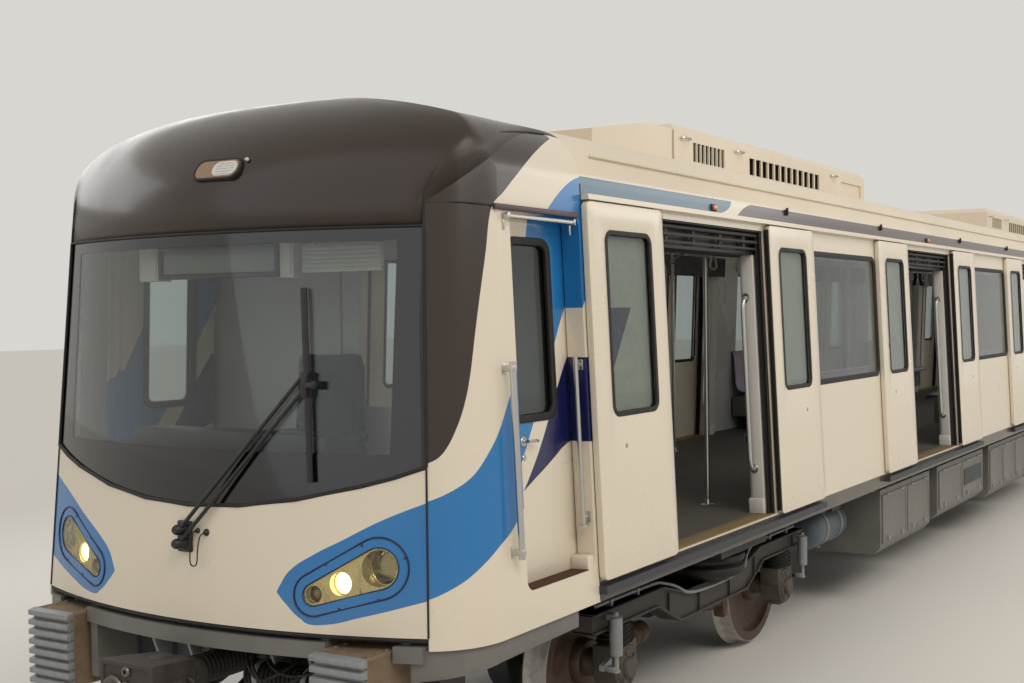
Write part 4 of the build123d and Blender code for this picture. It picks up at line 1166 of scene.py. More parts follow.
TREAD_RUBBER = Finish(
    "rubber_tread_moulded_brown", "4A2C14", roughness=0.7, speckle=0.2, speckle_mm=40.0, grain_mm=2.0,
    relief=0.2)
LIT_LAMP = Finish("halogen_lamp_lit", "FFF6D8", roughness=0.3, glow="FFF0C4", glow_strength=4.0)
ORANGE_LENS = Finish("acrylic_lens_moulded_orange", "E07A18", roughness=0.15, coat=0.5)
# Near-black for the lid seams of the roof units, and for painted shade in their fan wells and behind their
# grille bars.
SHADE_AND_SEAM_BLACK = Finish("painted_steel_matt_black", "0E0D0C", roughness=0.85)


# ---- Handing pieces over ---------------------------------------------------------------

def hand_over(
    obj: Obj, finish: Finish, body: str, stands_for: Sequence[str] = (),
    smooth: float = 32.0,
) -> Obj:
    """Dress a piece, seat it on its body and report it.

    Args:
        obj: The finished mesh.
        finish: Its finish.
        body: CAD body that it rides on.
        stands_for: CAD nodes that it replaces.
        smooth: Edges blunter than this many degrees are shaded smooth.

    Returns:
        The piece.
    """
    activate(obj)
    bpy.ops.object.shade_smooth_by_angle(angle=math.radians(smooth))
    obj.data.materials.clear()
    obj.data.materials.append(finish.build())
    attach(obj, body)
    if stands_for:
        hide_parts(*stands_for)
    log.info("piece %s: %d faces on %s", obj.name, len(obj.data.polygons), body)
    return obj


def cord_piece(
    name: str, points: Sequence[Point], radius: float, body: str,
    finish: Finish = BLACK_RUBBER,
) -> Obj:
    """Hose or cable on one smooth spline.

    Args:
        name: Name of the piece.
        points: Control points of its route.
        radius: Radius of the hose.
        body: CAD body that it rides on.
        finish: Its finish.

    Returns:
        The curve piece.
    """
    obj = line_of(name, points)
    thicken(obj.data, radius)
    obj.data.materials.append(finish.build())
    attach(obj, body)
    return obj


def dress(node: str, finish: Finish) -> None:
    """Give a CAD node its finish."""
    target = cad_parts[node]
    material = finish.build()
    if not target.material_slots:
        target.data.materials.append(material)
    for place in target.material_slots:
        place.material = material


# ---- The passenger doors -----------------------------------------------------------------

@dataclass
class DoorLeaves:
    """Sixteen sliding leaves: one is modelled, and copied or mirrored to every place."""

    thickness: float = 0.035
    standoff: float = 0.006
    window: Pair = (0.475, 0.928)
    window_corner: float = 0.060
    outer_corner: float = 0.035
    gasket: float = 0.022
    seal: float = 0.014
    key_x: float = 0.125
    key_height: float = 1.758

    def model(self) -> dict[str, Obj]:
        """Model the leaf lying flat, its meeting edge towards -X.

        Returns:
            Panel, rubber, pane and key plate, centred on the leaf's middle along the car.
        """
        low, high = lean_v(LEAF_Z[0]), lean_v(LEAF_Z[1])
        middle = (low + high) / 2
        hole = (lean_v(WINDOW_Z[0]) + lean_v(WINDOW_Z[1])) / 2
        out = self.standoff + self.thickness
        width = LEAF_WIDTH - self.seal
        panel = ring(
            "leaf_panel", (width, high - low), self.outer_corner, self.window, self.window_corner,
            (self.standoff, out), (self.seal / 2, middle), (0.0, hole), 8)
        soften(panel, 0.004, 3)
        bore = rod("key_bore", (self.key_x, lean_v(self.key_height), out - 0.002),
                   (self.key_x, lean_v(self.key_height), out + 0.0015), 0.014, 24)
        soften(bore, 0.0008, 2)
        slot = block("key_slot", (self.key_x - 0.002, lean_v(self.key_height) - 0.009, out),
                     (self.key_x + 0.002, lean_v(self.key_height) + 0.009, out + 0.002))
        lip = self.gasket_ring("leaf_gasket", (out - 0.010, out + 0.003), (0.0, hole))
        soften(lip, 0.0025, 3)
        back = self.gasket_ring(
            "leaf_gasket_in", (self.standoff - 0.002, self.standoff + 0.006), (0.0, hole))
        edge = plate(
            "leaf_edge", (self.seal + 0.006, high - low - 0.05), 0.002, (self.standoff + 0.004, out - 0.004),
            (-LEAF_WIDTH / 2 + self.seal / 2 + 0.003, middle), 2)
        soften(edge, 0.005, 3)
        pane = plate(
            "leaf_pane", (self.window[0] - 0.02, self.window[1] - 0.02), self.window_corner - 0.010,
            (self.standoff + 0.012, out - 0.012), (0.0, hole), 8)
        return {
            "panel": panel,
            "rubber": join("leaf_rubber", (lip, back, edge)),
            "pane": pane,
            "key": join("leaf_key", (bore, slot)),
        }

    def gasket_ring(self, name: str, level: Pair, centre: Pair) -> Obj:
        """Rubber round the window between two levels."""
        outer = (self.window[0] + 0.008, self.window[1] + 0.008)
        inner = (self.window[0] - 2 * self.gasket, self.window[1] - 2 * self.gasket)
        return ring(
            name, outer, self.window_corner + 0.004, inner, self.window_corner - self.gasket, level, centre,
            centre, 8)

    def build(self) -> None:
        """Copy the leaf to its sixteen places."""
        parts = self.model()
        finishes = {
            "panel": (CREAM_PAINT, "body_paint"), "rubber": (BLACK_RUBBER, "rubber"),
            "pane": (GLASS, "glass"), "key": (STAINLESS, "stainless"),
        }
        for side in Side:
            for number in range(1, 5):
                for end in ("front", "rear"):
                    node = f"leaf_{side.word}_{number}_{end}"
                    low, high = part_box(node)
                    hand = 1.0 if end == "front" else -1.0
                    flip = Matrix.Diagonal((hand, 1.0, 1.0, 1.0))
                    place = side.place() @ shift((low.x + high.x) / 2) @ flip
                    for part, mesh in parts.items():
                        finish, slot = finishes[part]
                        twin = copy_to(mesh, f"door_{part}_{side.word}_{number}_{end}", place)
                        hand_over(twin, finish, node, (node,) if part == "panel" else ())
        for mesh in parts.values():
            bpy.data.objects.remove(mesh)


# ---- The cab doors ---------------------------------------------------------------------------

@dataclass
class CabDoors:
    """Inward-opening cab doors in their recesses: panel, window in thick rubber, lever and hinges."""

    span: Pair = (8.267, 8.883)
    height: Pair = (1.172, 2.908)
    depth: Pair = (-0.144, -0.106)
    window_x: Pair = (8.408, 8.748)
    window_z: Pair = (1.940, 2.780)
    corner: float = 0.060
    gasket: float = 0.026
    lever: Pair = (8.690, 1.845)
    hinge_x: float = SEAM_X
    hinge_z: Sequence[float] = (1.500, 2.560)
    knuckle: float = 0.030

    def build(self) -> None:
        """Model each door on its side of the car; the paint follows the car's own livery."""
        for side in Side:
            body = f"cab_door_{side.word}"
            panel, rubber, pane, metal = self.model(body)
            for obj in (panel, rubber, pane, metal):
                move(obj, side.place())
            hand_over(panel, CAB_PAINT, body, (body,))
            hand_over(rubber, BLACK_RUBBER, body)
            hand_over(pane, GLASS, body)
            hand_over(metal, STAINLESS, body)

    def model(self, name: str) -> tuple[Obj, ...]:
        """Door lying flat: its panel, rubber, pane and metal parts."""
        low, high = lean_v(self.height[0]), lean_v(self.height[1])
        middle = ((self.span[0] + self.span[1]) / 2, (low + high) / 2)
        size = (self.span[1] - self.span[0], high - low)
        w_low, w_high = lean_v(self.window_z[0]), lean_v(self.window_z[1])
        centre = ((self.window_x[0] + self.window_x[1]) / 2, (w_low + w_high) / 2)
        window = (self.window_x[1] - self.window_x[0], w_high - w_low)
        panel = ring(name + "_panel", size, 0.060, window, self.corner, self.depth, middle, centre, 8)
        soften(panel, 0.004, 3)
        out = self.depth[1]
        inner = (window[0] - 2 * self.gasket, window[1] - 2 * self.gasket)
        lip = ring(
            name + "_rubber", (window[0] + 0.024, window[1] + 0.024), self.corner + 0.012, inner,
            self.corner - 0.020, (out - 0.014, out + 0.007), centre, centre, 8)
        soften(lip, 0.005, 3)
        back = ring(
            name + "_rubber_in", (window[0] + 0.020, window[1] + 0.020), self.corner + 0.010, inner,
            self.corner - 0.020, (self.depth[0] - 0.005, self.depth[0] + 0.010), centre, centre, 8)
        pane = plate(
            name + "_pane", (window[0] - 0.02, window[1] - 0.02), self.corner - 0.010,
            (self.depth[0] + 0.014, out - 0.016), centre, 8)
        return panel, join(name + "_rubber", (lip, back)), pane, self.metal(name)

    def metal(self, name: str) -> Obj:
        """Lever with its rose and key plate, and the door's hinge knuckles."""
        x, v, out = self.lever[0], lean_v(self.lever[1]), self.depth[1]
        rose = turned(
            name + "_rose", ((0.0, 0.006), (0.020, 0.006), (0.024, 0.003), (0.024, -0.002), (0.0, -0.002)),
            (0, 0, 1), (x, v, out), 24)
        neck = rod(name + "_neck", (x, v, out), (x, v, out + 0.034), 0.008, 12)
        arm = tube(name + "_lever", ((x + 0.006, v, out + 0.032), (x - 0.02, v, out + 0.036),
                                     (x - 0.05, v, out + 0.036), (x - 0.075, v - 0.004, out + 0.030)), 0.0075)
        key = turned(
            name + "_key", ((0.0, 0.004), (0.013, 0.004), (0.015, 0.002), (0.015, -0.002), (0.0, -0.002)),
            (0, 0, 1), (x, v - 0.075, out), 20)
        parts = [rose, soften(neck, 0.002), arm, key]
        for z in self.hinge_z:
            v = lean_v(z)
            pin = rod(name + "_knuckle", (self.hinge_x, v - self.knuckle, -0.125),
                      (self.hinge_x, v + self.knuckle, -0.125), 0.012, 20)
            parts.append(soften(pin, 0.002))
            leaf = block(name + "_hinge_leaf", (self.hinge_x, v - self.knuckle, -0.129),
                         (self.hinge_x + 0.03, v + self.knuckle, -0.121))
            parts.append(soften(leaf, 0.001))
        return join(name + "_metal", parts)


@dataclass
class CabRecess:
    """What surrounds a cab door: gutter and top rail above, step tread and sill below, handrail fittings."""

    gutter_x: Pair = (8.300, 8.985)
    gutter_z: Pair = (2.889, 2.914)
    rail_x: Pair = (8.373, 8.916)
    rail_z: float = 2.862
    tread_x: Pair = (8.345, 8.860)
    floor_z: float = 1.190
    ribs: int = 9

    def build(self) -> None:
        """Model each side's pieces lying flat and stand them in their place."""
        pieces = (
            (self.gutter, TRACK_PAINT, "frame_steel"), (self.rail, STAINLESS, "stainless"),
            (self.tread, TREAD_RUBBER, "rubber"), (self.sill, CREAM_PAINT, "body_paint"),
            (self.fittings, STAINLESS, "stainless"),
        )
        for side in Side:
            for make, finish, slot in pieces:
                hand_over(move(make(side), side.place()), finish, "carbody")

    def gutter(self, side: Side) -> Obj:
        """Rain gutter over the door: a rounded channel with a drip lip."""
        low, high = lean_v(self.gutter_z[0]), lean_v(self.gutter_z[1])
        bar = block(
            f"cab_gutter_{side.word}", (self.gutter_x[0], low, -0.004), (self.gutter_x[1], high, 0.016))
        sink(bar, lambda c, n: n.y > 0.5, 0.004, (0.0, -0.008, 0.0))
        return soften(bar, 0.003, 2)

    def rail(self, side: Side) -> Obj:
        """Chrome rail under the gutter on two angle brackets."""
        v = lean_v(self.rail_z)
        bar = tube(
            f"cab_top_rail_{side.word}", ((self.rail_x[0], v, 0.024), (self.rail_x[1], v, 0.024)), 0.010,
            False)
        parts = [bar]
        for x in self.rail_x:
            foot = block("foot", (x - 0.006, v - 0.060, -0.002), (x + 0.006, v + 0.012, 0.006))
            arm = block("arm", (x - 0.006, v - 0.014, 0.000), (x + 0.006, v + 0.014, 0.036))
            parts += [soften(foot, 0.002), soften(arm, 0.002)]
        return join(f"cab_top_rail_{side.word}", parts)

    def tread(self, side: Side) -> Obj:
        """Ribbed rubber tread on the floor of the recess."""
        v = lean_v(self.floor_z)
        parts = [block("tread", (self.tread_x[0], v - 0.002, -0.100), (self.tread_x[1], v + 0.004, -0.004))]
        pitch = 0.092 / self.ribs
        for i in range(self.ribs):
            w = -0.097 + i * pitch
            parts.append(block(
                "rib", (self.tread_x[0] + 0.01, v, w), (self.tread_x[1] - 0.01, v + 0.007, w + pitch * 0.5)))
        return join(f"cab_step_tread_{side.word}", parts)

    def sill(self, side: Side) -> Obj:
        """Raised sill behind the tread, with its capped top."""
        v = lean_v(self.floor_z)
        body = block(f"cab_step_sill_{side.word}", (8.286, v - 0.002, -0.103), (8.345, v + 0.062, -0.006))
        sink(body, lambda c, n: n.y > 0.5, 0.004, (0.0, 0.006, 0.0))
        return soften(body, 0.003, 2)

    def fittings(self, side: Side) -> Obj:
        """Flanges at the ends of both handrails."""
        parts = []
        for z in (1.385, 2.190):
            v = lean_v(z)
            pad = block("pad", (8.949, v - 0.024, -0.001), (8.981, v + 0.024, 0.004))
            parts.append(soften(pad, 0.002, 2))
            boss = block("boss", (8.9505, v - 0.0145, 0.002), (8.9795, v + 0.0145, 0.064))
            parts.append(soften(boss, 0.006, 4))
        for z in (1.400 + 0.04, 2.220 - 0.04):
            v = lean_v(z)
            pad = block("pad", (8.2852, v - 0.026, -0.052), (8.292, v + 0.026, -0.012))
            parts.append(soften(pad, 0.002, 2))
        profile = (
            (0.0125, 0.004), (0.024, 0.004), (0.028, 0.0), (0.028, -0.006), (0.0125, -0.006), (0.0125, 0.004))
        parts.append(turned("oval", profile, (0, 1, 0), (8.326, lean_v(1.400) + 0.004, -0.032), 24))
        return join(f"handrail_fittings_{side.word}", parts)


# ---- The front ---------------------------------------------------------------------------------

@dataclass
class FrontTrim:
    """Seams between the mouldings of the cab, the windscreen's rubber and the lamp on the hood."""

    seam_inset: float = 0.184
    seam: float = 0.0045
    rubber: float = 0.009
    sag: Sequence[Pair] = (
        (0.0, 1.585), (0.3, 1.598), (0.6, 1.637), (0.9, 1.701), (1.05, 1.741), (1.182, 1.787))

    def build(self) -> None:
        """Lay the beads on the surface, mirrored about the middle."""
        self.seams()
        self.screen()
        self.marker()

    def seams(self) -> None:
        """Side seams of the front, up over the hood to the body, and the level line round the corner."""
        parts = []
        for hand in (1, -1):
            up = [on_front(hand * skin_y(z, self.seam_inset), z) for z in (
                1.074, 1.2, 1.4, 1.6, 1.8, 2.0, 2.2, 2.4, 2.6, 2.81, 2.86)]
            over = [(x, hand * y, z) for x, y, z in (
                (9.221, 1.135, 2.966), (9.201, 1.149, 3.021), (9.166, 1.167, 3.082), (9.120, 1.196, 3.139),
                (9.060, 1.236, 3.185), (8.930, 1.238, 3.229), (8.688, 1.213, 3.268), (8.493, 1.190, 3.289),
                (8.371, 1.178, 3.297))]
            parts.append(bead("seam", up + over, self.seam))
            down = [(8.2555, hand * skin_y(z, 0.0005), z) for z in (3.06, 2.9, 2.6, 2.2, 1.8, 1.4, 1.025)]
            parts.append(bead("seam", down, 0.0035))
            level = [(x, hand * y, z) for x, y, z in (
                (9.228, 1.133, 2.911), (9.196, 1.180, 2.911), (9.149, 1.236, 2.911), (9.080, 1.288, 2.909),
                (8.985, 1.314, 2.904))]
            parts.append(bead("seam", level, 0.004))
        piece = join("cab_seams", parts)
        hand_over(piece, BLACK_RUBBER, "carbody")

    def screen(self) -> None:
        """Rubber round the windscreen, thicker along its sagging lower edge."""
        low = [(-y, z) for y, z in reversed(self.sag)] + [(y, z) for y, z in self.sag[1:]]
        lower = bead("screen_low", [on_front(y, z) for y, z in low], self.rubber, 3)
        parts = [lower]
        for hand in (1, -1):
            rise = [on_front(hand * skin_y(z, self.seam_inset), z) for z in (1.787, 2.0, 2.2, 2.4, 2.6, 2.81)]
            parts.append(bead("screen_side", rise, 0.007, 3))
        top = skin_y(2.81, self.seam_inset)
        across = [on_front(y * top / 6, 2.81) for y in range(-6, 7)]
        parts.append(bead("screen_top", across, 0.006, 3))
        hand_over(join("windscreen_rubber", parts), BLACK_RUBBER, "carbody")

    def marker(self) -> None:
        """Dark bezel round a smoked lens with a louvred opal window, sunk in the hood, and its knob."""
        frame_ring = ring(
            "marker_bezel", (0.294, 0.116), 0.050, (0.264, 0.090), 0.040, (-0.024, 0.004), steps=10)
        soften(frame_ring, 0.005, 3)
        lens = plate("marker_lens", (0.264, 0.092), 0.040, (-0.012, 0.001), steps=10)
        louvres = [plate("marker_window", (0.150, 0.076), 0.036, (-0.004, 0.002), (0.048, 0.0), 10)]
        for i in range(5):
            v = -0.028 + i * 0.014
            half = 0.062 - 0.014 * abs(i - 2) / 2
            slat = block("slat", (0.050 - half, v - 0.0025, 0.001), (0.046 + half, v + 0.0025, 0.005))
            louvres.append(soften(slat, 0.0015, 2))
        glow = join("marker_window", louvres)
        knob = turned(
            "marker_knob", ((0.0, 0.008), (0.008, 0.006), (0.011, 0.0), (0.011, -0.006), (0.0, -0.006)),
            (0, 0, 1), (0.168, 0.040, 0.0), 16)
        place = Matrix((
            (0, -0.485, 0.875, 9.3765), (1, 0, 0, 0.066), (0, 0.875, 0.485, 3.1035), (0, 0, 0, 1)))
        for obj in (frame_ring, lens, glow, knob):
            obj.data.transform(place)
            outward(obj)
        hand_over(knob, STAINLESS, "carbody")
        hand_over(frame_ring, BLACK_RUBBER, "carbody")
        hand_over(lens, AMBER_LENS, "carbody")
        hand_over(glow, OPAL_LENS, "carbody")


@dataclass
class HeadLamps:
    """Three lamps behind each clear cover: bowls, bulbs and domes, and the groove with screws round them."""

    rim: float = 0.010
    groove: float = 0.043
    bead_radius: float = 0.0042
    screw_at: Sequence[Pair] = (
        (0.755, 1.366), (0.918, 1.453), (1.106, 1.405), (0.997, 1.2275), (0.824, 1.182))

    def outline(self, grow: float, steps: int = 36) -> list[Pair]:
        """Drop shape round the outer and the inner lamp, widened by grow, as (y, z) all the way round."""
        y1, z1, r1 = LAMPS[0]
        y2, z2, r2 = LAMPS[-1]
        r1, r2 = r1 + self.rim + grow, r2 + self.rim + grow
        along = math.atan2(z2 - z1, y2 - y1)
        spread = math.acos((r1 - r2) / math.hypot(y2 - y1, z2 - z1))
        points = []
        for i in range(steps + 1):
            angle = along + spread + (2 * math.pi - 2 * spread) * i / steps
            points.append((y1 + r1 * math.cos(angle), z1 + r1 * math.sin(angle)))
        for i in range(steps // 2 + 1):
            angle = along - spread + 2 * spread * i / (steps // 2)
            points.append((y2 + r2 * math.cos(angle), z2 + r2 * math.sin(angle)))
        return points

    def build(self) -> None:
        """Model the left cluster and mirror it to the right."""
        pieces = {}
        for number, (y, z, radius) in enumerate(LAMPS):
            x = nose_front(y + radius, z + radius) - 0.012
            pieces.setdefault("bowls", []).append(self.bowl((x, y, z), radius))
            kind = ("clear", "lit", "dull")[number]
            pieces.setdefault(kind, []).append(self.dome((x, y, z), radius * (0.80, 0.92, 0.86)[number]))
        pieces["holder"] = [self.holder()]
        loop = self.outline(self.groove)
        around = [on_front(y, z, 0.0012) for y, z in loop + loop[:1]]
        pieces["groove"] = [bead("lamp_groove", around, self.bead_radius)]
        rim = self.outline(0.0)
        pieces["seal"] = [bead("lamp_seal", [on_front(y, z, 0.0008) for y, z in rim + rim[:1]], 0.003)]
        pieces["screws"] = [self.screw(place) for place in self.screw_at]
        finishes = {
            "bowls": REFLECTOR, "clear": LENS_GLASS, "lit": LIT_LAMP, "dull": AMBER_LENS,
            "holder": LAMP_PLATE, "groove": GROOVE_NAVY, "seal": GROOVE_NAVY, "screws": CASE_DARK}
        for kind, parts in pieces.items():
            left = join(f"lamp_{kind}_left", parts)
            right = copy_to(left, f"lamp_{kind}_right", mirror_y())
            for piece in (left, right):
                hand_over(piece, finishes[kind], "carbody")

    def bowl(self, centre: Point, radius: float) -> Obj:
        """Polished parabolic bowl, open to the front."""
        r = radius - 0.0015
        profile = (
            (0.0, -0.095), (0.40 * r, -0.086), (0.70 * r, -0.062), (0.90 * r, -0.030), (0.97 * r, 0.0),
            (r, 0.0), (0.95 * r, -0.034), (0.75 * r, -0.068), (0.44 * r, -0.092), (0.0, -0.101),
        )
        return turned("lamp_bowl", profile, (1, 0, 0), centre, 32)

    def dome(self, centre: Point, radius: float) -> Obj:
        """Domed lens of one lamp, with a flat rim."""
        r = radius
        profile = (
            (0.0, 0.006), (0.35 * r, 0.004), (0.65 * r, -0.004), (0.88 * r, -0.018), (r, -0.034), (r, -0.040),
            (0.86 * r, -0.040), (0.0, -0.030),
        )
        return turned("lamp_dome", profile, (1, 0, 0), centre, 28)

    def holder(self) -> Obj:
        """Rings that hold the bowls, standing on the reflector plate."""
        parts = []
        for y, z, radius in LAMPS:
            x = nose_front(y + radius, z + radius) - 0.010
            r = radius
            profile = (
                (0.93 * r, -0.006), (0.94 * r, 0.001), (0.985 * r, 0.002), (r, -0.004), (r, -0.03),
                (0.95 * r, -0.03), (0.93 * r, -0.006))
            parts.append(turned("lamp_ring", profile, (1, 0, 0), (x, y, z), 32))
        return join("lamp_rings", parts)

    def screw(self, place: Pair) -> Obj:
        """Countersunk screw between the cover and the groove, at y and z."""
        y, z = place
        x = nose_front(y, z)
        profile = (
            (0.0, 0.0), (0.002, 0.0), (0.0022, 0.0016), (0.0062, 0.0012), (0.007, -0.002), (0.0, -0.003))
        slope = Vector((x - (NOSE_X - NOSE_RADIUS), y, 0.0)).normalized()
        return turned("lamp_screw", profile, tuple(slope), (x, y, z), 12)


@dataclass
class WiperDetails:
    """What the wiper has beside its rods: housings on the panel, the joint plate and the blade's spine."""

    base: Pair = (0.0, 1.415)
    arm_gap: float = 0.062
    low: Pair = (0.680, 1.714)
    high: Pair = (0.614, 2.552)

    def build(self) -> None:
        """Model the parts on the curved front and join them."""
        y, z = self.base
        parts = []
        for dz in (0.0, self.arm_gap):
            x = nose_front(y, z + dz)
            profile = (
                (0.0, 0.074), (0.016, 0.074), (0.022, 0.066), (0.026, 0.030), (0.034, 0.012), (0.036, -0.004),
                (0.0, -0.004))
            parts.append(turned("wiper_housing", profile, (1, 0, 0.07), (x, y, z + dz), 24))
        x = nose_front(y, z) + 0.010
        base = block(
            "wiper_base", (x - 0.012, y - 0.042, z - 0.040), (x + 0.010, y + 0.042, z + self.arm_gap + 0.040))
        parts.append(soften(base, 0.009, 3))
        middle = [(a + b) / 2 for a, b in zip(self.low, self.high)]
        x = nose_front(middle[0], middle[1]) + 0.030
        joint = block("wiper_joint", (x - 0.012, middle[0] - 0.016, middle[1] - 0.055),
                      (x + 0.012, middle[0] + 0.018, middle[1] + 0.055))
        parts.append(soften(joint, 0.006, 2))
        knuckle = rod(
            "wiper_knuckle", (x - 0.004, middle[0] + 0.02, middle[1]),
            (x + 0.004, middle[0] + 0.062, middle[1]), 0.020, 6)
        parts.append(soften(knuckle, 0.004, 2))
        count = 12
        spine = []
        for i in range(count + 1):
            share = i / count
            py = self.low[0] + (self.high[0] - self.low[0]) * share
            pz = self.low[1] + (self.high[1] - self.low[1]) * share
            spine.append((nose_front(py, pz) + 0.0225, py, pz))
        parts.append(bead("wiper_spine", spine, 0.0085, 1))
        hand_over(join("wiper_fittings", parts), BLACK_PLASTIC, "carbody")
        self.hose()

    def hose(self) -> None:
        """Washer hose: from its valve it hangs in a narrow loop and goes back through a grommet."""
        fittings = []
        for y, z, radius in ((0.1205, 1.469, 0.011), (0.069, 1.474, 0.008)):
            profile = (
                (0.0, 0.016), (0.7 * radius, 0.015), (radius, 0.011), (1.5 * radius, 0.004),
                (1.5 * radius, -0.004), (0.0, -0.004))
            fittings.append(turned("fitting", profile, (1, 0, 0), on_front(y, z), 20))
        hand_over(join("washer_fittings", fittings), BLACK_PLASTIC, "carbody")
        points = [on_front(y, z, out) for y, z, out in (
            (0.1205, 1.469, 0.010), (0.1215, 1.466, 0.034), (0.1180, 1.440, 0.041), (0.1105, 1.395, 0.039),
            (0.1085, 1.3445, 0.036), (0.1016, 1.328, 0.035), (0.0850, 1.321, 0.034), (0.0684, 1.328, 0.034),
            (0.0615, 1.3445, 0.034), (0.0610, 1.384, 0.035), (0.0640, 1.430, 0.038), (0.0670, 1.460, 0.036),
            (0.0685, 1.473, 0.024), (0.0690, 1.474, 0.006))]
        cord_piece("washer_hose", points, 0.003, "carbody")


# ---- Inside the car ----------------------------------------------------------------------------

@dataclass
class Doorways:
    """Trim of the eight passenger doorways: header, jamb rubbers, pocket posts, handrail and threshold."""

    half: float = DOORWAY_WIDTH / 2
    floor: float = FLOOR_Z
    top: float = 2.940
    wall: float = 0.060
    header_z: Pair = (2.790, 2.985)
    post: float = 0.095

    def build(self) -> None:
        """Model one doorway and copy it to every place."""
        parts = {
            "header": (self.header(), BLACK_PLASTIC, "frame_steel"),
            "rails": (self.header_rails(), BOGIE_STEEL, "frame_steel"),
            "seals": (self.seals(), BLACK_RUBBER, "rubber"),
            "posts": (self.posts(), LINING, "lining"),
            "handrail": (self.handrails(), STAINLESS, "stainless"),
            "threshold": (self.threshold(), THRESHOLD, "aluminium"),
        }
        for side in Side:
            for number, x in enumerate(DOOR_X, 1):
                for part, (mesh, finish, slot) in parts.items():
                    name = f"doorway_{part}_{side.word}_{number}"
                    hand_over(copy_to(mesh, name, side.place() @ shift(x)), finish, "carbody")
        for mesh, finish, slot in parts.values():
            bpy.data.objects.remove(mesh)

    def header(self) -> Obj:
        """Cover of the door gear, with its long inspection lid sunk in."""
        low, high = lean_v(self.header_z[0]), lean_v(self.header_z[1])
        case = block("header", (-self.half - 0.10, low, -0.235), (self.half + 0.10, high, -self.wall - 0.002))
        edit(case)
        pick_faces(case, lambda c, n: n.z < -0.5)
        bpy.ops.mesh.inset(thickness=0.018, depth=0.0)
        push((0.0, 0.0, 0.006))
        pick_faces(case, lambda c, n: n.z > 0.5)
        bpy.ops.mesh.inset(thickness=0.022, depth=0.0)
        push((0.0, 0.0, -0.020))
        done()
        return soften(case, 0.003, 2)

    def header_rails(self) -> Obj:
        """Three rails and the hanger brackets of the door gear, seen in the head of the opening."""
        parts = []
        for z, w, radius in ((2.826, -0.044, 0.008), (2.868, -0.036, 0.010), (2.912, -0.040, 0.012)):
            v = lean_v(z)
            parts.append(tube("rail", ((-self.half, v, w), (self.half, v, w)), radius, False, 5))
        low, high = lean_v(2.815), lean_v(2.938)
        for x in (-0.52, -0.18, 0.18, 0.52):
            arm = block("arm", (x - 0.018, low, -0.062), (x + 0.018, high, -0.048))
            parts.append(soften(arm, 0.002))
        return join("header_rails", parts)

    def seals(self) -> Obj:
        """Rubber finger guards on both jambs, each with a hollow nose, and the strip across the head."""
        parts = []
        low, high = lean_v(self.floor), lean_v(self.top)
        for hand in (-1, 1):
            x = hand * self.half
            strip = block(
                "strip", (min(x, x - hand * 0.030), low, -0.052), (max(x, x - hand * 0.030), high, -0.008))
            sink(strip, lambda c, n, hand=hand: n.x * hand < -0.5, 0.011, (hand * 0.012, 0.0, 0.0))
            parts.append(soften(strip, 0.005, 3))
        head = block("head", (-self.half, high - 0.012, -0.056), (self.half, high, -0.004))
        parts.append(soften(head, 0.004, 2))
        return join("jamb_seals", parts)

    def posts(self) -> Obj:
        """Light moulded posts behind both jambs, with a rounded nose and a foot."""
        parts = []
        low, high = lean_v(self.floor), lean_v(self.header_z[0]) + 0.004
        for hand in (-1, 1):
            near, far = hand * (self.half - 0.045), hand * (self.half + self.post)
            post = block(
                "post", (min(near, far), low + 0.10, -0.165), (max(near, far), high, -self.wall - 0.003))
            round_edges(
                post, lambda c, d: abs(d.y) > 0.9 and (c.x - hand * self.half) * hand < 0 and c.z < -0.1,
                0.034, 6)
            parts.append(soften(post, 0.004, 2))
            foot = block(
                "foot", (min(near, far) - 0.004, low, -0.172),
                (max(near, far) + 0.004, low + 0.104, -self.wall - 0.003))
            parts.append(soften(foot, 0.010, 3))
        return join("pocket_posts", parts)

    def handrails(self) -> Obj:
        """Cranked stainless handrail on each post, its ends let into round flanges."""
        parts = []
        low, high = lean_v(1.42), lean_v(2.52)
        for hand in (-1, 1):
            x, w = hand * (self.half - 0.045), -0.118
            out = x - hand * 0.058
            rail = tube("rail", (
                (x, low, w), (out + hand * 0.02, low + 0.004, w), (out, low + 0.045, w), (out, low + 0.12, w),
                (out, high - 0.12, w), (out, high - 0.045, w), (out + hand * 0.02, high - 0.004, w),
                (x, high, w)), 0.0145)
            parts.append(rail)
            for v in (low, high):
                profile = (
                    (0.0, 0.0), (0.028, 0.0), (0.030, 0.003), (0.028, 0.007), (0.018, 0.008), (0.0, 0.008))
                parts.append(turned("flange", profile, (-hand, 0, 0), (x, v, w), 20))
        return join("doorway_handrails", parts)

    def threshold(self) -> Obj:
        """Tread plate with anti-slip ribs along it."""
        v = lean_v(self.floor)
        parts = [block(
            "plate", (-self.half + 0.002, v - 0.0005, -0.190), (self.half - 0.002, v + 0.004, -0.003))]
        pitch = 0.018
        for i in range(10):
            w = -0.184 + i * pitch
            rib = block("rib", (-self.half + 0.012, v + 0.003, w), (self.half - 0.012, v + 0.0065, w + 0.009))
            parts.append(rib)
        return join("threshold", parts)


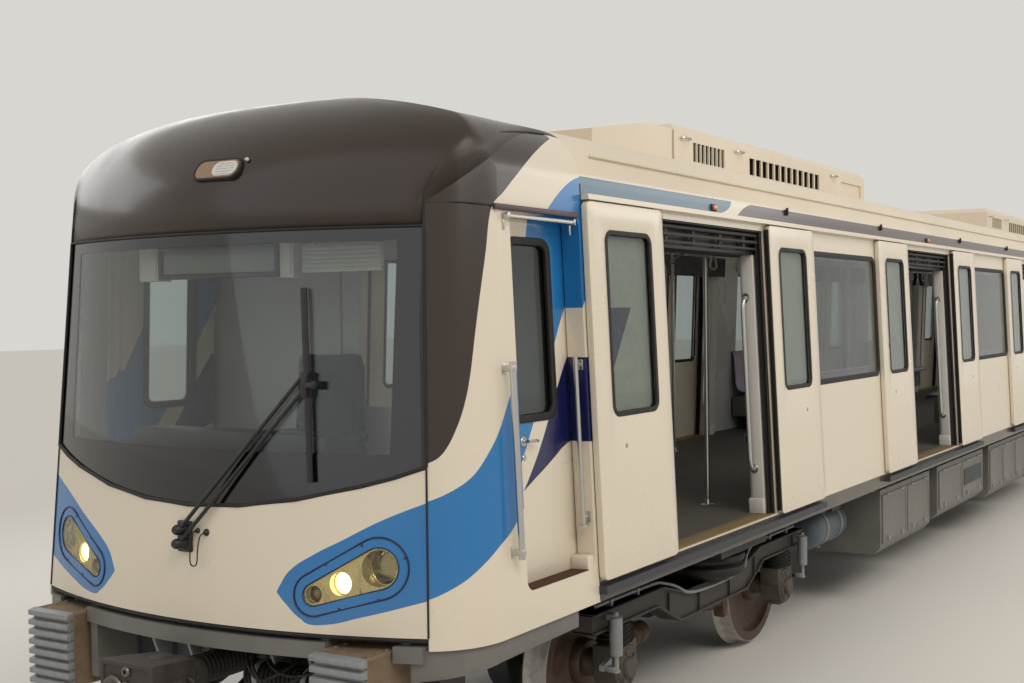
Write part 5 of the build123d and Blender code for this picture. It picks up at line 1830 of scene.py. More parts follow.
@dataclass
class Benches:
    """Longitudinal seats: moulded shells with a dished place for each passenger, on a closed box."""

    floor: float = FLOOR_Z
    pitch: float = 0.41
    profile: Sequence[Pair] = (
        (0.448, 0.372), (0.456, 0.398), (0.448, 0.424), (0.420, 0.437), (0.360, 0.432), (0.280, 0.424),
        (0.200, 0.420), (0.140, 0.426), (0.100, 0.448), (0.083, 0.500), (0.074, 0.580), (0.062, 0.680),
        (0.050, 0.780), (0.040, 0.835), (0.022, 0.858), (0.004, 0.852))

    def build(self) -> None:
        """Model a bench of each length and copy it to both sides."""
        shells = {}
        for x, length in BENCH_PLACES:
            if length not in shells:
                shells[length] = (self.shell(length), self.support(length))
            for side in Side:
                hand = 1.0 if side is Side.LEFT else -1.0
                place = shift(x) @ Matrix.Diagonal((1.0, hand, 1.0, 1.0))
                tag = f"{side.word}_{abs(int(x * 100))}"
                shell, support = shells[length]
                twin = copy_to(shell, f"seat_shell_{tag}", place)
                hand_over(twin, SEAT_SHELL, "carbody", ("benches",), 50.0)
                hand_over(copy_to(support, f"seat_box_{tag}", place), CASE_GREY, "carbody")
        for pair in shells.values():
            for mesh in pair:
                bpy.data.objects.remove(mesh)

    def wall(self, height: float) -> float:
        """Inside of the left wall at a height above the floor."""
        return skin_y(self.floor + height, 0.0605)

    def shell(self, length: float) -> Obj:
        """Grid laid along the profile, dished at every place, and given its thickness."""
        places = round(length / self.pitch)
        across = places * 8
        along = len(self.profile) - 1
        bpy.ops.mesh.primitive_grid_add(x_subdivisions=across, y_subdivisions=along, size=1.0)
        obj = bpy.context.active_object
        obj.name = obj.data.name = "seat_shell"

        def lay(point: Vector) -> Vector:
            """Place of a grid point on the bench."""
            row = round((point.y + 0.5) * along)
            deep, height = self.profile[row]
            share = (point.x + 0.5) * places
            dish = 0.5 - 0.5 * math.cos(2 * math.pi * share)
            x = point.x * length
            if 3 <= row <= 8:
                height -= 0.020 * dish
            elif row > 8:
                deep -= 0.018 * dish * min(1.0, (14 - row) / 3 if row > 11 else 1.0)
            return Vector((x, self.wall(height) - max(deep, 0.001), self.floor + height))

        bend_to(obj, lay)
        solid(obj, 0.010, -1.0)
        return soften(obj, 0.003, 2, 60.0)

    def support(self, length: float) -> Obj:
        """Box under the shell with a set-back kick plate and a louvred heater grille."""
        half = length / 2 - 0.03
        front = self.wall(0.3) - 0.36
        case = block(
            "seat_box", (-half, front, self.floor + 0.14), (half, self.wall(0.4) - 0.02, self.floor + 0.36))
        sink(case, lambda c, n: n.y < -0.5, 0.03, (0.0, 0.012, 0.0))
        parts = [soften(case, 0.006, 3)]
        for i in range(6):
            z = self.floor + 0.180 + i * 0.024
            slat = block("slat", (-half + 0.04, front + 0.004, z), (half - 0.04, front + 0.016, z + 0.011))
            parts.append(soften(slat, 0.003, 1))
        kick = block(
            "kick", (-half + 0.02, front + 0.10, self.floor + 0.0005),
            (half - 0.02, front + 0.13, self.floor + 0.145))
        parts.append(soften(kick, 0.003, 2))
        return join("seat_box", parts)


@dataclass
class SaloonTrim:
    """Ceiling panels with light diffusers, ceiling rails with handles, and the fittings of the poles."""

    floor: float = FLOOR_Z
    front: float = 8.140
    rear: float = -9.420
    rail_y: float = 0.560
    rail_z: float = 2.990
    panel_z: float = 3.180
    handle_pitch: float = 0.44

    def build(self) -> None:
        """Model each system and its mirror."""
        length = self.front - self.rear
        middle = (self.front + self.rear) / 2
        ceiling = block(
            "ceiling_panels", (self.rear, -0.72, self.panel_z), (self.front, 0.72, self.panel_z + 0.022))
        edit(ceiling)
        pick_faces(ceiling, lambda c, n: n.z < -0.5)
        bpy.ops.mesh.subdivide(number_cuts=3)
        pick_faces(ceiling, lambda c, n: n.z < -0.5)
        bpy.ops.mesh.inset(thickness=0.012, depth=0.0, use_individual=True)
        push((0.0, 0.0, 0.005))
        done()
        hand_over(soften(ceiling, 0.003, 2), LINING, "carbody")
        for hand in (1, -1):
            word = "left" if hand > 0 else "right"
            lamp = block(f"ceiling_light_{word}", (self.rear + 0.3, hand * 0.44 - 0.06, self.panel_z - 0.030),
                         (self.front - 0.3, hand * 0.44 + 0.06, self.panel_z + 0.004))
            round_edges(lamp, lambda c, d: abs(d.x) > 0.9 and c.z < self.panel_z - 0.01, 0.018, 4)
            hand_over(lamp, DIFFUSER, "carbody")
            hand_over(self.rail(word, hand, length, middle), STAINLESS, "carbody")
            hand_over(self.handles(word, hand), GREY_PLASTIC, "carbody")
            hand_over(self.fittings(word, hand), STAINLESS, "carbody")

    def rail(self, word: str, hand: int, length: float, middle: float) -> Obj:
        """Ceiling rail on its hangers."""
        y = hand * self.rail_y
        parts = [tube(
            "rail", ((self.rear + 0.1, y, self.rail_z), (self.front - 0.1, y, self.rail_z)), 0.0155, False,
            6)]
        count = 12
        for i in range(count):
            x = middle - length / 2 + 0.4 + i * (length - 0.8) / (count - 1)
            parts.append(rod("hanger", (x, y, self.rail_z), (x, y, self.panel_z + 0.004), 0.011, 12))
            cap = turned(
                "cap", ((0.0, -0.012), (0.018, -0.010), (0.028, -0.002), (0.030, 0.006), (0.0, 0.006)),
                (0, 0, 1), (x, y, self.panel_z - 0.004), 16)
            clamp = turned(
                "clamp", ((0.017, -0.022), (0.021, -0.018), (0.021, 0.018), (0.017, 0.022), (0.017, -0.022)),
                (1, 0, 0), (x, y, self.rail_z), 16)
            parts += [cap, clamp]
        return join(f"ceiling_rail_{word}", parts)

    def handles(self, word: str, hand: int) -> Obj:
        """Rigid swing handles on the rail: collar, stem and triangular grip."""
        y, top = hand * self.rail_y, self.rail_z
        collar = turned(
            "collar", ((0.0165, -0.020), (0.022, -0.018), (0.022, 0.018), (0.0165, 0.020), (0.0165, -0.020)),
            (1, 0, 0), (0, y, top), 14)
        stem = block("stem", (-0.012, y - 0.005, top - 0.150), (0.012, y + 0.005, top - 0.018))
        soften(stem, 0.003, 2)
        low = top - 0.150
        grip = tube("grip", (
            (0.0, y, low + 0.006), (0.022, y, low - 0.010), (0.052, y, low - 0.070), (0.050, y, low - 0.096),
            (0.022, y, low - 0.104), (0.0, y, low - 0.104), (-0.022, y, low - 0.104),
            (-0.050, y, low - 0.096), (-0.052, y, low - 0.070), (-0.022, y, low - 0.010),
            (0.0, y, low + 0.006)), 0.0085, True, 4)
        one = join("handle", (collar, stem, grip))
        parts = []
        for centre in (4.570, 0.170, -4.230, -8.300):
            for i in range(4):
                parts.append(copy_to(one, "handle", shift(centre + (i - 1.5) * self.handle_pitch)))
        bpy.data.objects.remove(one)
        return join(f"hand_straps_{word}", parts)

    def fittings(self, word: str, hand: int) -> Obj:
        """Flanges at the foot of each pole and the tie from pole to ceiling rail."""
        parts = []
        for door in DOOR_X:
            for dx in (-0.841, 0.841):
                x, y = door + dx, hand * 0.840
                profile = (
                    (0.0175, 0.0), (0.045, 0.0), (0.047, 0.004), (0.040, 0.010), (0.024, 0.014),
                    (0.021, 0.040), (0.0175, 0.042), (0.0175, 0.0))
                parts.append(turned("foot", profile, (0, 0, 1), (x, y, self.floor + 0.0005), 20))
                tie = tube("tie", (
                    (x, y, self.rail_z - 0.10), (x, hand * 0.74, self.rail_z - 0.03),
                    (x, hand * 0.64, self.rail_z), (x, hand * self.rail_y, self.rail_z)), 0.0125, True, 5)
                ball = turned("ball", (
                    (0.0, -0.026), (0.016, -0.022), (0.0255, -0.008), (0.0255, 0.008), (0.016, 0.022),
                    (0.0, 0.026)), (0, 0, 1), (x, y, self.rail_z - 0.10), 18)
                parts += [tie, ball]
        return join(f"pole_fittings_{word}", parts)


@dataclass
class CabInside:
    """Driver's place: console on the desk, seat with its pads, header box and card behind the windscreen."""

    floor: float = FLOOR_Z
    seat: Pair = (8.600, -0.200)
    desk_top: float = 1.790

    def build(self) -> None:
        """Model the cab's own pieces."""
        self.console()
        self.seat_frame()
        self.pad("driver_seat_cushion", (0.455, 0.440, 0.120), Matrix.Translation(
            (self.seat[0] + 0.015, self.seat[1], self.floor + 0.485)))
        tilt = Matrix.Rotation(math.radians(-96.0), 4, "Y")
        self.pad("driver_seat_back", (0.620, 0.430, 0.105), Matrix.Translation(
            (self.seat[0] - 0.195, self.seat[1], self.floor + 0.800)) @ tilt)
        self.behind_screen()

    def console(self) -> None:
        """Sloping instrument binnacle, display, lever and switches."""
        parts = []
        hump = block("binnacle", (9.070, -0.62, self.desk_top - 0.004), (9.300, 0.62, self.desk_top + 0.105))
        round_edges(hump, lambda c, d: abs(d.y) > 0.9 and c.x < 9.1 and c.z > self.desk_top + 0.05, 0.080, 5)
        parts.append(soften(hump, 0.010, 3))
        for y, half in ((-0.46, 0.09), (-0.20, 0.13), (0.10, 0.11), (0.38, 0.10)):
            bezel = block(
                "bezel", (9.060, y - half, self.desk_top + 0.016), (9.088, y + half, self.desk_top + 0.076))
            sink(bezel, lambda c, n: n.x < -0.5, 0.010, (0.008, 0.0, 0.0))
            parts.append(soften(bezel, 0.003, 2))
        for i in range(7):
            profile = ((0.0, 0.012), (0.008, 0.012), (0.010, 0.009), (0.010, 0.0), (0.0, 0.0))
            parts.append(turned("button", profile, (0, 0, 1), (9.020, -0.60 + i * 0.055, self.desk_top), 14))
        lever = turned("lever", ((0.0, 0.135), (0.022, 0.130), (0.026, 0.112), (0.016, 0.092), (0.008, 0.080),
                                 (0.008, 0.012), (0.020, 0.006), (0.024, 0.0), (0.0, 0.0)), (-0.15, 0, 1),
                       (8.990, 0.16, self.desk_top), 20)
        parts.append(lever)
        hand_over(join("desk_console", parts), BLACK_PLASTIC, "carbody")

    def seat_frame(self) -> None:
        """Turned pedestal, pan, back shell and armrests of the driver's seat."""
        x, y = self.seat
        pedestal = turned("pedestal", (
            (0.0, 0.0), (0.165, 0.0), (0.170, 0.006), (0.160, 0.020), (0.075, 0.045), (0.055, 0.080),
            (0.050, 0.20), (0.046, 0.32), (0.070, 0.38), (0.100, 0.405), (0.0, 0.410)), (0, 0, 1),
            (x, y, self.floor + 0.0005), 32)
        pan = block(
            "pan", (x - 0.215, y - 0.215, self.floor + 0.398), (x + 0.225, y + 0.215, self.floor + 0.430))
        soften(pan, 0.012, 3)
        back = block(
            "back_shell", (x - 0.262, y - 0.205, self.floor + 0.44),
            (x - 0.238, y + 0.205, self.floor + 1.07))
        round_edges(back, lambda c, d: abs(d.x) > 0.9, 0.055, 5)
        soften(back, 0.004, 2)
        stay = tube("stay", ((x - 0.20, y, self.floor + 0.41), (x - 0.255, y, self.floor + 0.43),
                             (x - 0.262, y, self.floor + 0.52), (x - 0.255, y, self.floor + 0.62)), 0.020)
        parts = [pedestal, pan, back, stay]
        for hand in (-1, 1):
            arm = block("arm", (x - 0.20, y + hand * 0.245 - 0.022, self.floor + 0.655),
                        (x + 0.10, y + hand * 0.245 + 0.022, self.floor + 0.690))
            parts.append(soften(arm, 0.012, 3))
            post = tube("arm_post", (
                (x - 0.245, y + hand * 0.19, self.floor + 0.60),
                (x - 0.235, y + hand * 0.235, self.floor + 0.62),
                (x - 0.215, y + hand * 0.245, self.floor + 0.665)), 0.011, True, 5)
            parts.append(post)
        hand_over(join("driver_seat_frame", parts), BLACK_PLASTIC, "carbody", ("driver_seat",))

    def pad(self, name: str, size: Point, place: Matrix) -> None:
        """Cushion: a crowned block with drawn-in sides, swollen by cloth pressure, and its piping.

        Args:
            name: Name of the piece.
            size: Length, width and thickness.
            place: Where its middle lies.
        """
        obj = block(name, [-v / 2 for v in size], [v / 2 for v in size])
        edit(obj)
        bpy.ops.mesh.select_all(action="SELECT")
        bpy.ops.mesh.subdivide(number_cuts=5)
        done()

        def crown(point: Vector) -> Vector:
            """Thinner towards the rim, with sides drawn in between the corners."""
            u, v = 2 * point.x / size[0], 2 * point.y / size[1]
            lift = (1 - abs(u) ** 2.6) * (1 - abs(v) ** 2.6)
            x = point.x * (1 - 0.035 * (1 - v * v))
            y = point.y * (1 - 0.035 * (1 - u * u))
            return Vector((x, y, point.z * (0.62 + 0.38 * lift)))

        bend_to(obj, crown)
        activate(obj)
        smooth = obj.modifiers.new("smooth", "SUBSURF")
        smooth.levels = smooth.render_levels = 2
        bpy.ops.object.modifier_apply(modifier="smooth")
        self.inflate(obj)
        obj.data.transform(place)
        outward(obj)
        hand_over(obj, SEAT_CLOTH, "carbody", (), 180.0)
        rim = []
        steps = 12
        for i in range(4 * steps):
            edge, share = divmod(i, steps)
            t = -1 + 2 * share / steps
            u, v = ((t, -1), (1, t), (-t, 1), (-1, -t))[edge]
            round_off = 1 - 0.10 * (abs(u) * abs(v)) ** 3
            x = u * size[0] / 2 * (1 - 0.035 * (1 - v * v)) * 0.965 * round_off
            y = v * size[1] / 2 * (1 - 0.035 * (1 - u * u)) * 0.965 * round_off
            rim.append(tuple(place @ Vector((x, y, size[2] * 0.30))))
        piping = bead(name + "_piping", rim + rim[:1], 0.0045, 2)
        hand_over(piping, BLACK_RUBBER, "carbody")

    def inflate(self, obj: Obj) -> None:
        """Let cloth pressure fill the pad, with the rise of each point capped."""
        rest = [vertex.co.copy() for vertex in obj.data.vertices]
        activate(obj)
        cloth = obj.modifiers.new("cloth", "CLOTH")
        cloth.settings.use_pressure = True
        cloth.settings.uniform_pressure_force = 4.0
        cloth.settings.effector_weights.gravity = 0.0
        cloth.point_cache.frame_start, cloth.point_cache.frame_end = 1, 20
        for step in range(1, 21):
            bpy.context.scene.frame_set(step)
        bpy.ops.object.modifier_apply(modifier="cloth")
        bpy.context.scene.frame_set(1)
        cap = 0.010
        for vertex, start in zip(obj.data.vertices, rest):
            rise = vertex.co - start
            if rise.length > cap:
                vertex.co = start + rise.normalized() * cap

    def behind_screen(self) -> None:
        """Route display with its side cheeks, and the louvred card, at the head of the windscreen."""
        case = block("route_display", (9.020, -0.640, 2.618), (9.120, 0.170, 2.782))
        sink(case, lambda c, n: n.x > 0.5, 0.022, (-0.018, 0.0, 0.0))
        parts = [soften(case, 0.006, 3)]
        for y in (-0.50, 0.03):
            parts.append(rod("stay", (9.075, y, 2.775), (9.075, y, 2.88), 0.012, 12))
        hand_over(join("route_display", parts), BLACK_PLASTIC, "carbody")
        pane = plate("display_pane", (0.762, 0.116), 0.004, (0.0, 0.006), steps=2)
        pane.data.transform(Matrix(((0, 0, 1, 9.100), (1, 0, 0, -0.235), (0, 1, 0, 2.700), (0, 0, 0, 1))))
        hand_over(outward(pane), DISPLAY_PANE, "carbody")
        cheeks = []
        for y0, y1 in ((-0.785, -0.648), (0.178, 0.262)):
            cheek = block("cheek", (9.030, y0, 2.610), (9.110, y1, 2.790))
            sink(cheek, lambda c, n: n.x > 0.5, 0.010, (0.006, 0.0, 0.0))
            cheeks.append(soften(cheek, 0.006, 3))
        back = block("louvre_back", (9.070, 0.288, 2.632), (9.078, 0.777, 2.760))
        cheeks.append(soften(back, 0.003, 2))
        for i in range(6):
            z = 2.640 + i * 0.0196
            slat = block("slat", (9.077, 0.292, z), (9.088, 0.773, z + 0.0145))
            edit(slat)
            pick_faces(slat, lambda c, n: n.z > 0.5)
            bpy.ops.transform.translate(value=(-0.004, 0.0, 0.0))
            done()
            cheeks.append(soften(slat, 0.002, 1))
        for y in (0.36, 0.70):
            cheeks.append(rod("stay", (9.072, y, 2.755), (9.072, y, 2.88), 0.006, 10))
        hand_over(join("louvre_card", cheeks), LINING, "carbody")


# ---- Under the front -----------------------------------------------------------------------------

@dataclass
class AntiClimbers:
    """Ribbed anti-climbers: a fabricated box each, with stacked plates on its face."""

    y: Pair = (0.770, 1.060)
    z: Pair = (0.650, 1.020)
    back: float = 9.230
    face: float = 9.582
    depth: float = 0.034
    plates: int = 8
    gap: float = 0.007

    def build(self) -> None:
        """Model the left one and mirror it."""
        box_part, ribs = self.box(), self.ribs()
        for side in Side:
            place = shift() if side is Side.LEFT else mirror_y()
            body = copy_to(box_part, f"climber_box_{side.word}", place)
            hand_over(body, CLIMBER_PAINT, "carbody", ("anti_climbers",))
            stack = copy_to(ribs, f"climber_plates_{side.word}", place)
            hand_over(stack, GALVANISED, "carbody")
        bpy.data.objects.remove(box_part)
        bpy.data.objects.remove(ribs)

    def box(self) -> Obj:
        """Box with cheek plates standing a little proud and a row of bolts along the top."""
        face = self.face - self.depth
        body = block(
            "climber_box", (self.back, self.y[0] + 0.004, self.z[0] + 0.004),
            (face, self.y[1] - 0.004, self.z[1] - 0.004))
        edit(body)
        pick_faces(body, lambda c, n: abs(n.y) > 0.5 or n.z > 0.5)
        bpy.ops.mesh.inset(thickness=0.016, depth=0.0, use_individual=True)
        bpy.ops.mesh.extrude_region_shrink_fatten(TRANSFORM_OT_shrink_fatten={"value": -0.003})
        done()
        parts = [soften(body, 0.002, 2)]
        for i in range(5):
            x = self.back + 0.04 + i * (face - self.back - 0.08) / 4
            for y in (self.y[0] + 0.03, self.y[1] - 0.03):
                bolt = turned("bolt", (
                    (0.0, 0.012), (0.010, 0.012), (0.012, 0.009), (0.012, 0.002), (0.018, 0.002),
                    (0.018, -0.004), (0.0, -0.004)), (0, 0, 1), (x, y, self.z[1] - 0.012), 6)
                parts.append(bolt)
        return join("climber_box", parts)

    def ribs(self) -> Obj:
        """Plates with tapered noses, close together."""
        pitch = (self.z[1] - self.z[0] + self.gap) / self.plates
        parts = []
        for i in range(self.plates):
            low = self.z[0] + i * pitch
            face = self.face - self.depth
            rib = block("rib", (face - 0.004, self.y[0], low), (self.face, self.y[1], low + pitch - self.gap))
            edit(rib)
            pick_faces(rib, lambda c, n: n.x > 0.5)
            bpy.ops.transform.resize(value=(1.0, 0.985, 0.62))
            done()
            parts.append(soften(rib, 0.0025, 2))
        backing = block("backing", (self.face - self.depth - 0.006, self.y[0] + 0.01, self.z[0] + 0.004),
                        (self.face - self.depth + 0.008, self.y[1] - 0.01, self.z[1] - 0.004))
        parts.append(backing)
        return join("climber_plates", parts)


@dataclass
class BehindValance:
    """Headstock panels, tapered fins, louvred heater, ribbed canister and the cables around it."""

    face: float = 9.231
    fins: Sequence[float] = (-0.450, -0.210, 0.330, 0.560)

    def build(self) -> None:
        """Model the pieces on the headstock's front face."""
        self.panels()
        self.fin_row()
        self.heater()
        self.canister()
        self.gap_seal()
        self.aprons()

    def panels(self) -> None:
        """Dark cover panels with a raised rim and screws."""
        parts = []
        for y0, y1 in ((-0.690, -0.462), (-0.438, -0.222), (0.342, 0.548), (0.572, 0.690)):
            panel = block("panel", (self.face, y0, 0.728), (self.face + 0.014, y1, 0.958))
            sink(panel, lambda c, n: n.x > 0.5, 0.014, (-0.007, 0.0, 0.0))
            parts.append(soften(panel, 0.0025, 2))
            for y in (y0 + 0.007, y1 - 0.007):
                for z in (0.737, 0.843, 0.949):
                    head = turned(
                        "screw", ((0.0, 0.004), (0.004, 0.0035), (0.006, 0.001), (0.006, -0.001),
                        (0.0, -0.001)), (1, 0, 0), (self.face + 0.014, y, z), 8)
                    parts.append(head)
        hand_over(join("headstock_panels", parts), CASE_DARK, "carbody")

    def fin_row(self) -> None:
        """Tapered gusset plates between the valance and the headstock's lower edge."""
        parts = []
        for y in self.fins:
            fin = block("fin", (self.face - 0.001, y - 0.010, 0.690), (self.face + 0.150, y + 0.010, 0.9635))
            edit(fin)
            pick_faces(fin, lambda c, n: n.z < -0.5)
            bpy.ops.transform.resize(value=(0.36, 0.55, 1.0), center_override=(self.face, y, 0.690))
            done()
            parts.append(soften(fin, 0.003, 2))
            foot = block("foot", (self.face - 0.001, y - 0.024, 0.686), (self.face + 0.060, y + 0.024, 0.694))
            parts.append(soften(foot, 0.002, 2))
        hand_over(join("headstock_fins", parts), GALVANISED, "carbody")

    def heater(self) -> None:
        """Small louvred box beside the coupler and a perforated cover on the other side."""
        low, high = (self.face, -0.205, 0.735), (self.face + 0.055, -0.150, 0.955)
        case = block("heater", low, high)
        parts = [soften(case, 0.004, 2)]
        for i in range(14):
            z = low[2] + 0.012 + i * 0.0142
            slat = block(
                "slat", (high[0] - 0.004, low[1] + 0.006, z), (high[0] + 0.006, high[1] - 0.006, z + 0.008))
            parts.append(soften(slat, 0.002, 1))
        cover = block("cover", (self.face, 0.150, 0.905), (self.face + 0.018, 0.318, 0.958))
        parts.append(soften(cover, 0.003, 2))
        for row in range(4):
            for column in range(13):
                pip = turned(
                    "pip", ((0.0, 0.001), (0.0038, 0.001), (0.0048, -0.002), (0.0, -0.002)), (1, 0, 0),
                    (self.face + 0.0185, 0.160 + column * 0.0123, 0.912 + row * 0.0132), 8)
                parts.append(pip)
        hand_over(join("heater_louvres", parts), CASE_GREY, "carbody")

    def canister(self) -> None:
        """Ribbed canister on two clamps, with cables looping over it and back into the headstock."""
        y0, y1, x, z = 0.165, 0.640, self.face + 0.098, 0.800
        profile = [(0.0, 0.0), (0.040, 0.0), (0.046, 0.006)]
        count = 17
        pitch = (y1 - y0 - 0.03) / count
        for i in range(count):
            start = 0.015 + i * pitch
            profile += [
                (0.048, start), (0.063, start + 0.25 * pitch), (0.063, start + 0.6 * pitch),
                (0.048, start + 0.85 * pitch)]
        profile += [(0.046, y1 - y0 - 0.006), (0.040, y1 - y0), (0.0, y1 - y0)]
        duct = turned("duct", profile, (0, 1, 0), (x, y0, z), 28)
        hand_over(duct, BLACK_RUBBER, "carbody")
        duct.name = duct.data.name = "ribbed_canister"
        parts = []
        for y in (y0 + 0.09, y1 - 0.09):
            strap = turned(
                "strap", ((0.064, -0.014), (0.068, -0.014), (0.068, 0.014), (0.064, 0.014), (0.064, -0.014)),
                (0, 1, 0), (x, y, z), 28)
            foot = block("foot", (self.face, y - 0.014, z - 0.040), (x - 0.050, y + 0.014, z + 0.040))
            parts += [strap, soften(foot, 0.004, 2)]
        hand_over(join("canister_clamps", parts), GALVANISED, "carbody")
        start = self.face - 0.006
        loops = (
            (0.175, 0.480, 0.205, 0.060, 0.008), (0.230, 0.600, 0.235, 0.085, 0.0075),
            (0.290, 0.655, 0.190, 0.020, 0.006))
        for number, (ya, yb, reach, drop, radius) in enumerate(loops, 1):
            za, zb = 0.930, 0.905
            points = (
                (start, ya, za), (start + 0.06, ya + 0.004, za + 0.002),
                (start + 0.13, ya + 0.018, za - 0.010), (start + reach, ya + 0.07, za - 0.050),
                (start + reach + 0.012, (ya + yb) / 2, za - 0.070 - drop),
                (start + reach, yb - 0.06, za - 0.065 - drop / 2), (start + 0.13, yb - 0.012, zb - 0.030),
                (start + 0.06, yb, zb - 0.004), (start, yb, zb))
            cord_piece(f"front_cable_{number}", points, radius, "carbody")

    def corner_path(self, z: float, inset: float, end: float) -> list[Pair]:
        """Plan of the nose's left corner behind the skin: front, corner arc and side, as x and y."""
        apex = nose_front(0.0, z, inset)
        big, small = NOSE_RADIUS - inset, CORNER_RADIUS - inset
        wide = skin_y(z, inset)
        cy = wide - small
        cx = apex - big + math.sqrt((big - small) ** 2 - cy ** 2)
        start = math.atan2(cy, cx - apex + big)
        path = []
        for i in range(4):
            y = 1.124 + i * (cy + small * math.sin(start) - 1.124) / 4
            if y < cy + small * math.sin(start):
                path.append((apex - big + math.sqrt(big ** 2 - y ** 2), y))
        for i in range(13):
            angle = start + (math.pi / 2 - start) * i / 12
            path.append((cx + small * math.cos(angle), cy + small * math.sin(angle)))
        return path + [(cx - (cx - end) * i / 4, wide) for i in range(1, 5)]

    def aprons(self) -> None:
        """Side aprons that carry the valance round the corners under the cab's sides."""
        low, high, rows = 0.872, 1.0165, 3
        path = self.corner_path(0.95, 0.030, 8.420)
        columns = len(path) - 1
        bpy.ops.mesh.primitive_grid_add(x_subdivisions=columns, y_subdivisions=rows, size=1.0)
        apron = bpy.context.active_object
        apron.name = apron.data.name = "corner_apron"

        def lay(point: Vector) -> Vector:
            """Place of a grid point on the corner, its lower edge rising towards the rear."""
            place = round((point.x + 0.5) * columns)
            x, y = path[place]
            foot = low + 0.060 * place / columns
            return Vector((x, y, foot + (high - foot) * (point.y + 0.5)))

        bend_to(apron, lay)
        solid(apron, 0.008, 0.0)
        soften(apron, 0.003, 2, 60.0)
        for side in Side:
            place = shift() if side is Side.LEFT else mirror_y()
            twin = copy_to(apron, f"corner_apron_{side.word}", place)
            hand_over(outward(twin), CASE_GREY, "carbody")
        bpy.data.objects.remove(apron)

    def gap_seal(self) -> None:
        """Dark rubber bead in the gap between the front panel and the valance, standing in for the shadow
        line there: painted shade.
        """
        parts = []
        points = []
        for i in range(-16, 17):
            y = i * skin_y(1.060, 0.190) / 16
            points.append((nose_front(y, 1.060) - 0.014, y, 1.060))
        # The bead is painted shade: a dark line where the gap is in shadow.
        parts.append(bead("gap", points, 0.011, 2))
        hand_over(join("valance_gap_seal", parts), BLACK_RUBBER, "carbody")


